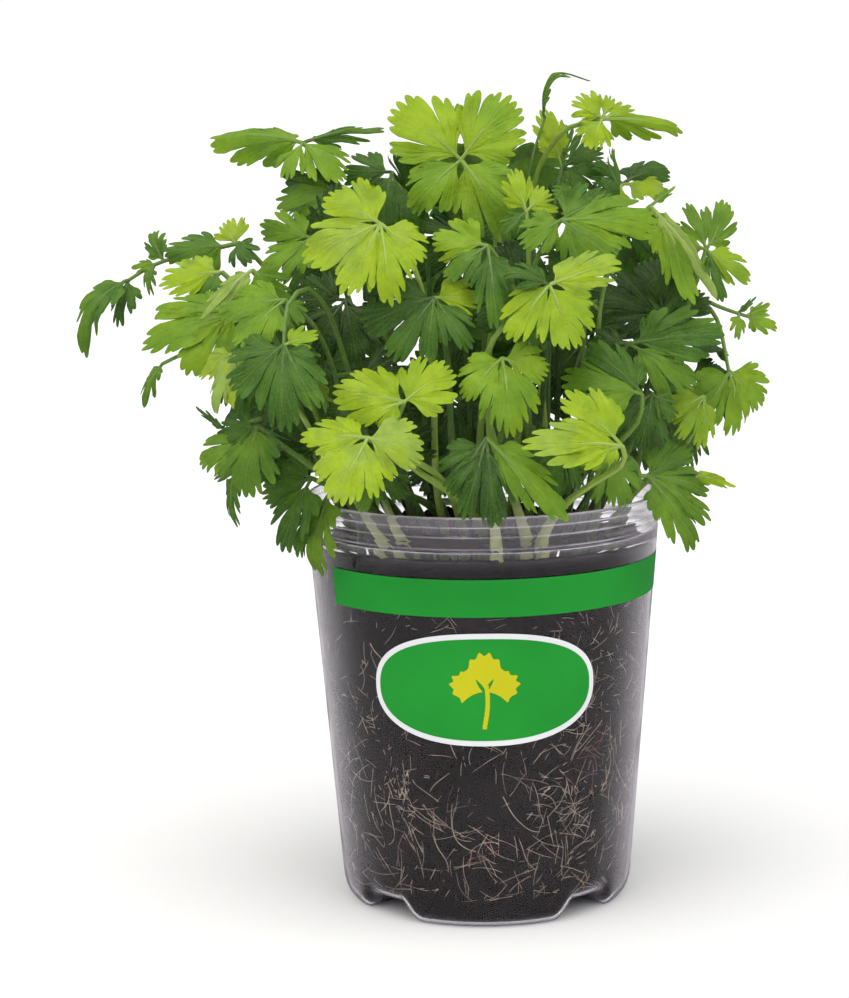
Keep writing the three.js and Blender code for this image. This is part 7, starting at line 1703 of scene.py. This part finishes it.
def sprig(shape, lo, hi, material):
    """A plain three-leaved sprig."""
    def blade(x, z, turn, long, wide):
        a = np.radians(np.linspace(-64, 64, 61))
        scallop = 1 - 0.11 * np.abs(np.sin(a / math.radians(64) * math.pi * 2.5 + math.pi / 2)) ** 1.5
        arc = np.stack([np.sin(a) * wide * 0.56, np.cos(a) * long], 1) * scallop[:, None]
        side = np.linspace(0, 1, 9)[1:-1, None]
        foot = np.array([[0.0, 0.0]])
        up_side = foot + (arc[0] - foot) * side + np.array([[0.5, 0.25]]) * np.sin(side * math.pi) * 1.1
        down_side = arc[-1] + (foot - arc[-1]) * side + np.array([[-0.5, 0.25]]) * np.sin(side * math.pi) * 1.1
        edge = np.vstack([foot, up_side, arc, down_side])
        mid = np.array([0.0, long * 0.5])
        edge = edge - mid
        c, s = math.cos(turn), math.sin(turn)
        spin = np.array([[c, s], [-s, c]])
        mid = mid @ spin + np.array([x, z])
        disc(shape, mid[0], mid[1], edge @ spin, lo, hi, material, 10)

    blade(0, 64.0, 0.0, 9.6, 10.4)
    blade(-0.5, 63.2, 1.22, 8.8, 9.0)
    blade(0.5, 63.2, -1.22, 8.8, 9.0)
    z = np.linspace(53.6, 64.8, 12)
    x = 0.9 * np.sin((z - 53.6) / 11.2 * 2.4) - 0.2
    for i in range(len(z) - 1):
        w = 0.55
        edge = np.array([(-w, -0.62), (w, -0.62), (w, 0.62), (-w, 0.62)])
        disc(shape, (x[i] + x[i + 1]) / 2, (z[i] + z[i + 1]) / 2, edge, lo, hi, material, 2)


def badge():
    t = np.linspace(0, 2 * math.pi, 120, endpoint=False)
    shape = Shape()

    def oval(w, h):
        p = 2.35
        return np.stack(
            [
                w * np.sign(np.cos(t)) * np.abs(np.cos(t)) ** (2 / p),
                h * np.sign(np.sin(t)) * np.abs(np.sin(t)) ** (2 / p),
            ],
            1,
        )

    disc(shape, 0, 63.6, oval(29.6, 14.6), 0.02, 0.09, 1)
    disc(shape, 0, 63.6, oval(28.2, 13.2), 0.10, 0.15, 0)
    sprig(shape, 0.165, 0.21, 2)
    ob = shape.make("printed_badge", [GREEN, WHITE, YELLOW], sharp=40)
    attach(ob, "root")
    return ob


cup()
compost()
roots()
band()
badge()

# ---- floor, light and camera ----
DOME, KEY, FILL = 0.58, 2.45, 0.70


def floor():
    shape = Shape()
    xs = np.linspace(-9000, 9000, 25)
    X, Y = np.meshgrid(xs, xs)
    shape.add(np.stack([X, Y, 0 * X - 0.02], -1), grid_faces(25, 25))
    ob = shape.make("floor", [floor_material()], sharp=None)


floor()

world = bpy.data.worlds.new("studio")
SCENE.world = world
world.use_nodes = True
wn = world.node_tree
sky = wn.nodes["Background"]
sky.inputs["Color"].default_value = (1.0, 1.0, 1.0, 1)
rays = wn.nodes.new("ShaderNodeLightPath")
seen = calc(wn, "MAXIMUM", rays.outputs["Is Camera Ray"], rays.outputs["Is Transmission Ray"])
wn.links.new(span(wn, seen, 0.0, 1.0, DOME, 1.05, "LINEAR"), sky.inputs["Strength"])


def sun(name, azimuth, height, strength, spread, colour=(1, 1, 1)):
    """A wide soft light from that side: azimuth 0 is from the front, 90 from +X."""
    data = bpy.data.lights.new(name, "SUN")
    data.energy = strength
    data.angle = math.radians(spread)
    data.color = colour
    ob = bpy.data.objects.new(name, data)
    SCENE.collection.objects.link(ob)
    a, h = math.radians(azimuth), math.radians(height)
    z = np.array([math.sin(a) * math.cos(h), -math.cos(a) * math.cos(h), math.sin(h)])
    x = unit(np.cross([0, 0, 1.0], z))
    y = np.cross(z, x)
    ob.matrix_world = Matrix([[x[i], y[i], z[i], z[i]] for i in range(3)] + [[0, 0, 0, 1]])
    return ob


sun("key", -24, 62, KEY, 80, (1.0, 0.985, 0.95))
sun("fill", 60, 35, FILL, 70, (0.97, 0.98, 1.0))

cam_data = bpy.data.cameras.new("camera")
cam_data.sensor_width = 36
cam_data.lens = 2727.5 / 998 * 36
cam_data.clip_start, cam_data.clip_end = 0.05, 60
cam = bpy.data.objects.new("camera", cam_data)
SCENE.collection.objects.link(cam)
yaw, pitch, roll = (math.radians(x) for x in (-1.23, 8.91, -0.92))
flat = np.array([math.sin(yaw), math.cos(yaw), 0])
forward = flat * math.cos(pitch) - np.array([0, 0, 1]) * math.sin(pitch)
right = np.array([math.cos(yaw), -math.sin(yaw), 0])
up = np.cross(right, forward)
c, s = math.cos(-roll), math.sin(-roll)
right, up = right * c - up * s, right * s + up * c
cam.matrix_world = Matrix(
    [
        [right[0], up[0], -forward[0], 0.0],
        [right[1], up[1], -forward[1], -0.7055],
        [right[2], up[2], -forward[2], 0.21583],
        [0, 0, 0, 1],
    ]
)
SCENE.camera = cam
SCENE.view_settings.view_transform = "Standard"
SCENE.cycles.max_bounces = 14
SCENE.cycles.denoising_input_passes = "RGB_ALBEDO"
SCENE.cycles.transparent_max_bounces = 16
SCENE.cycles.transmission_bounces = 10
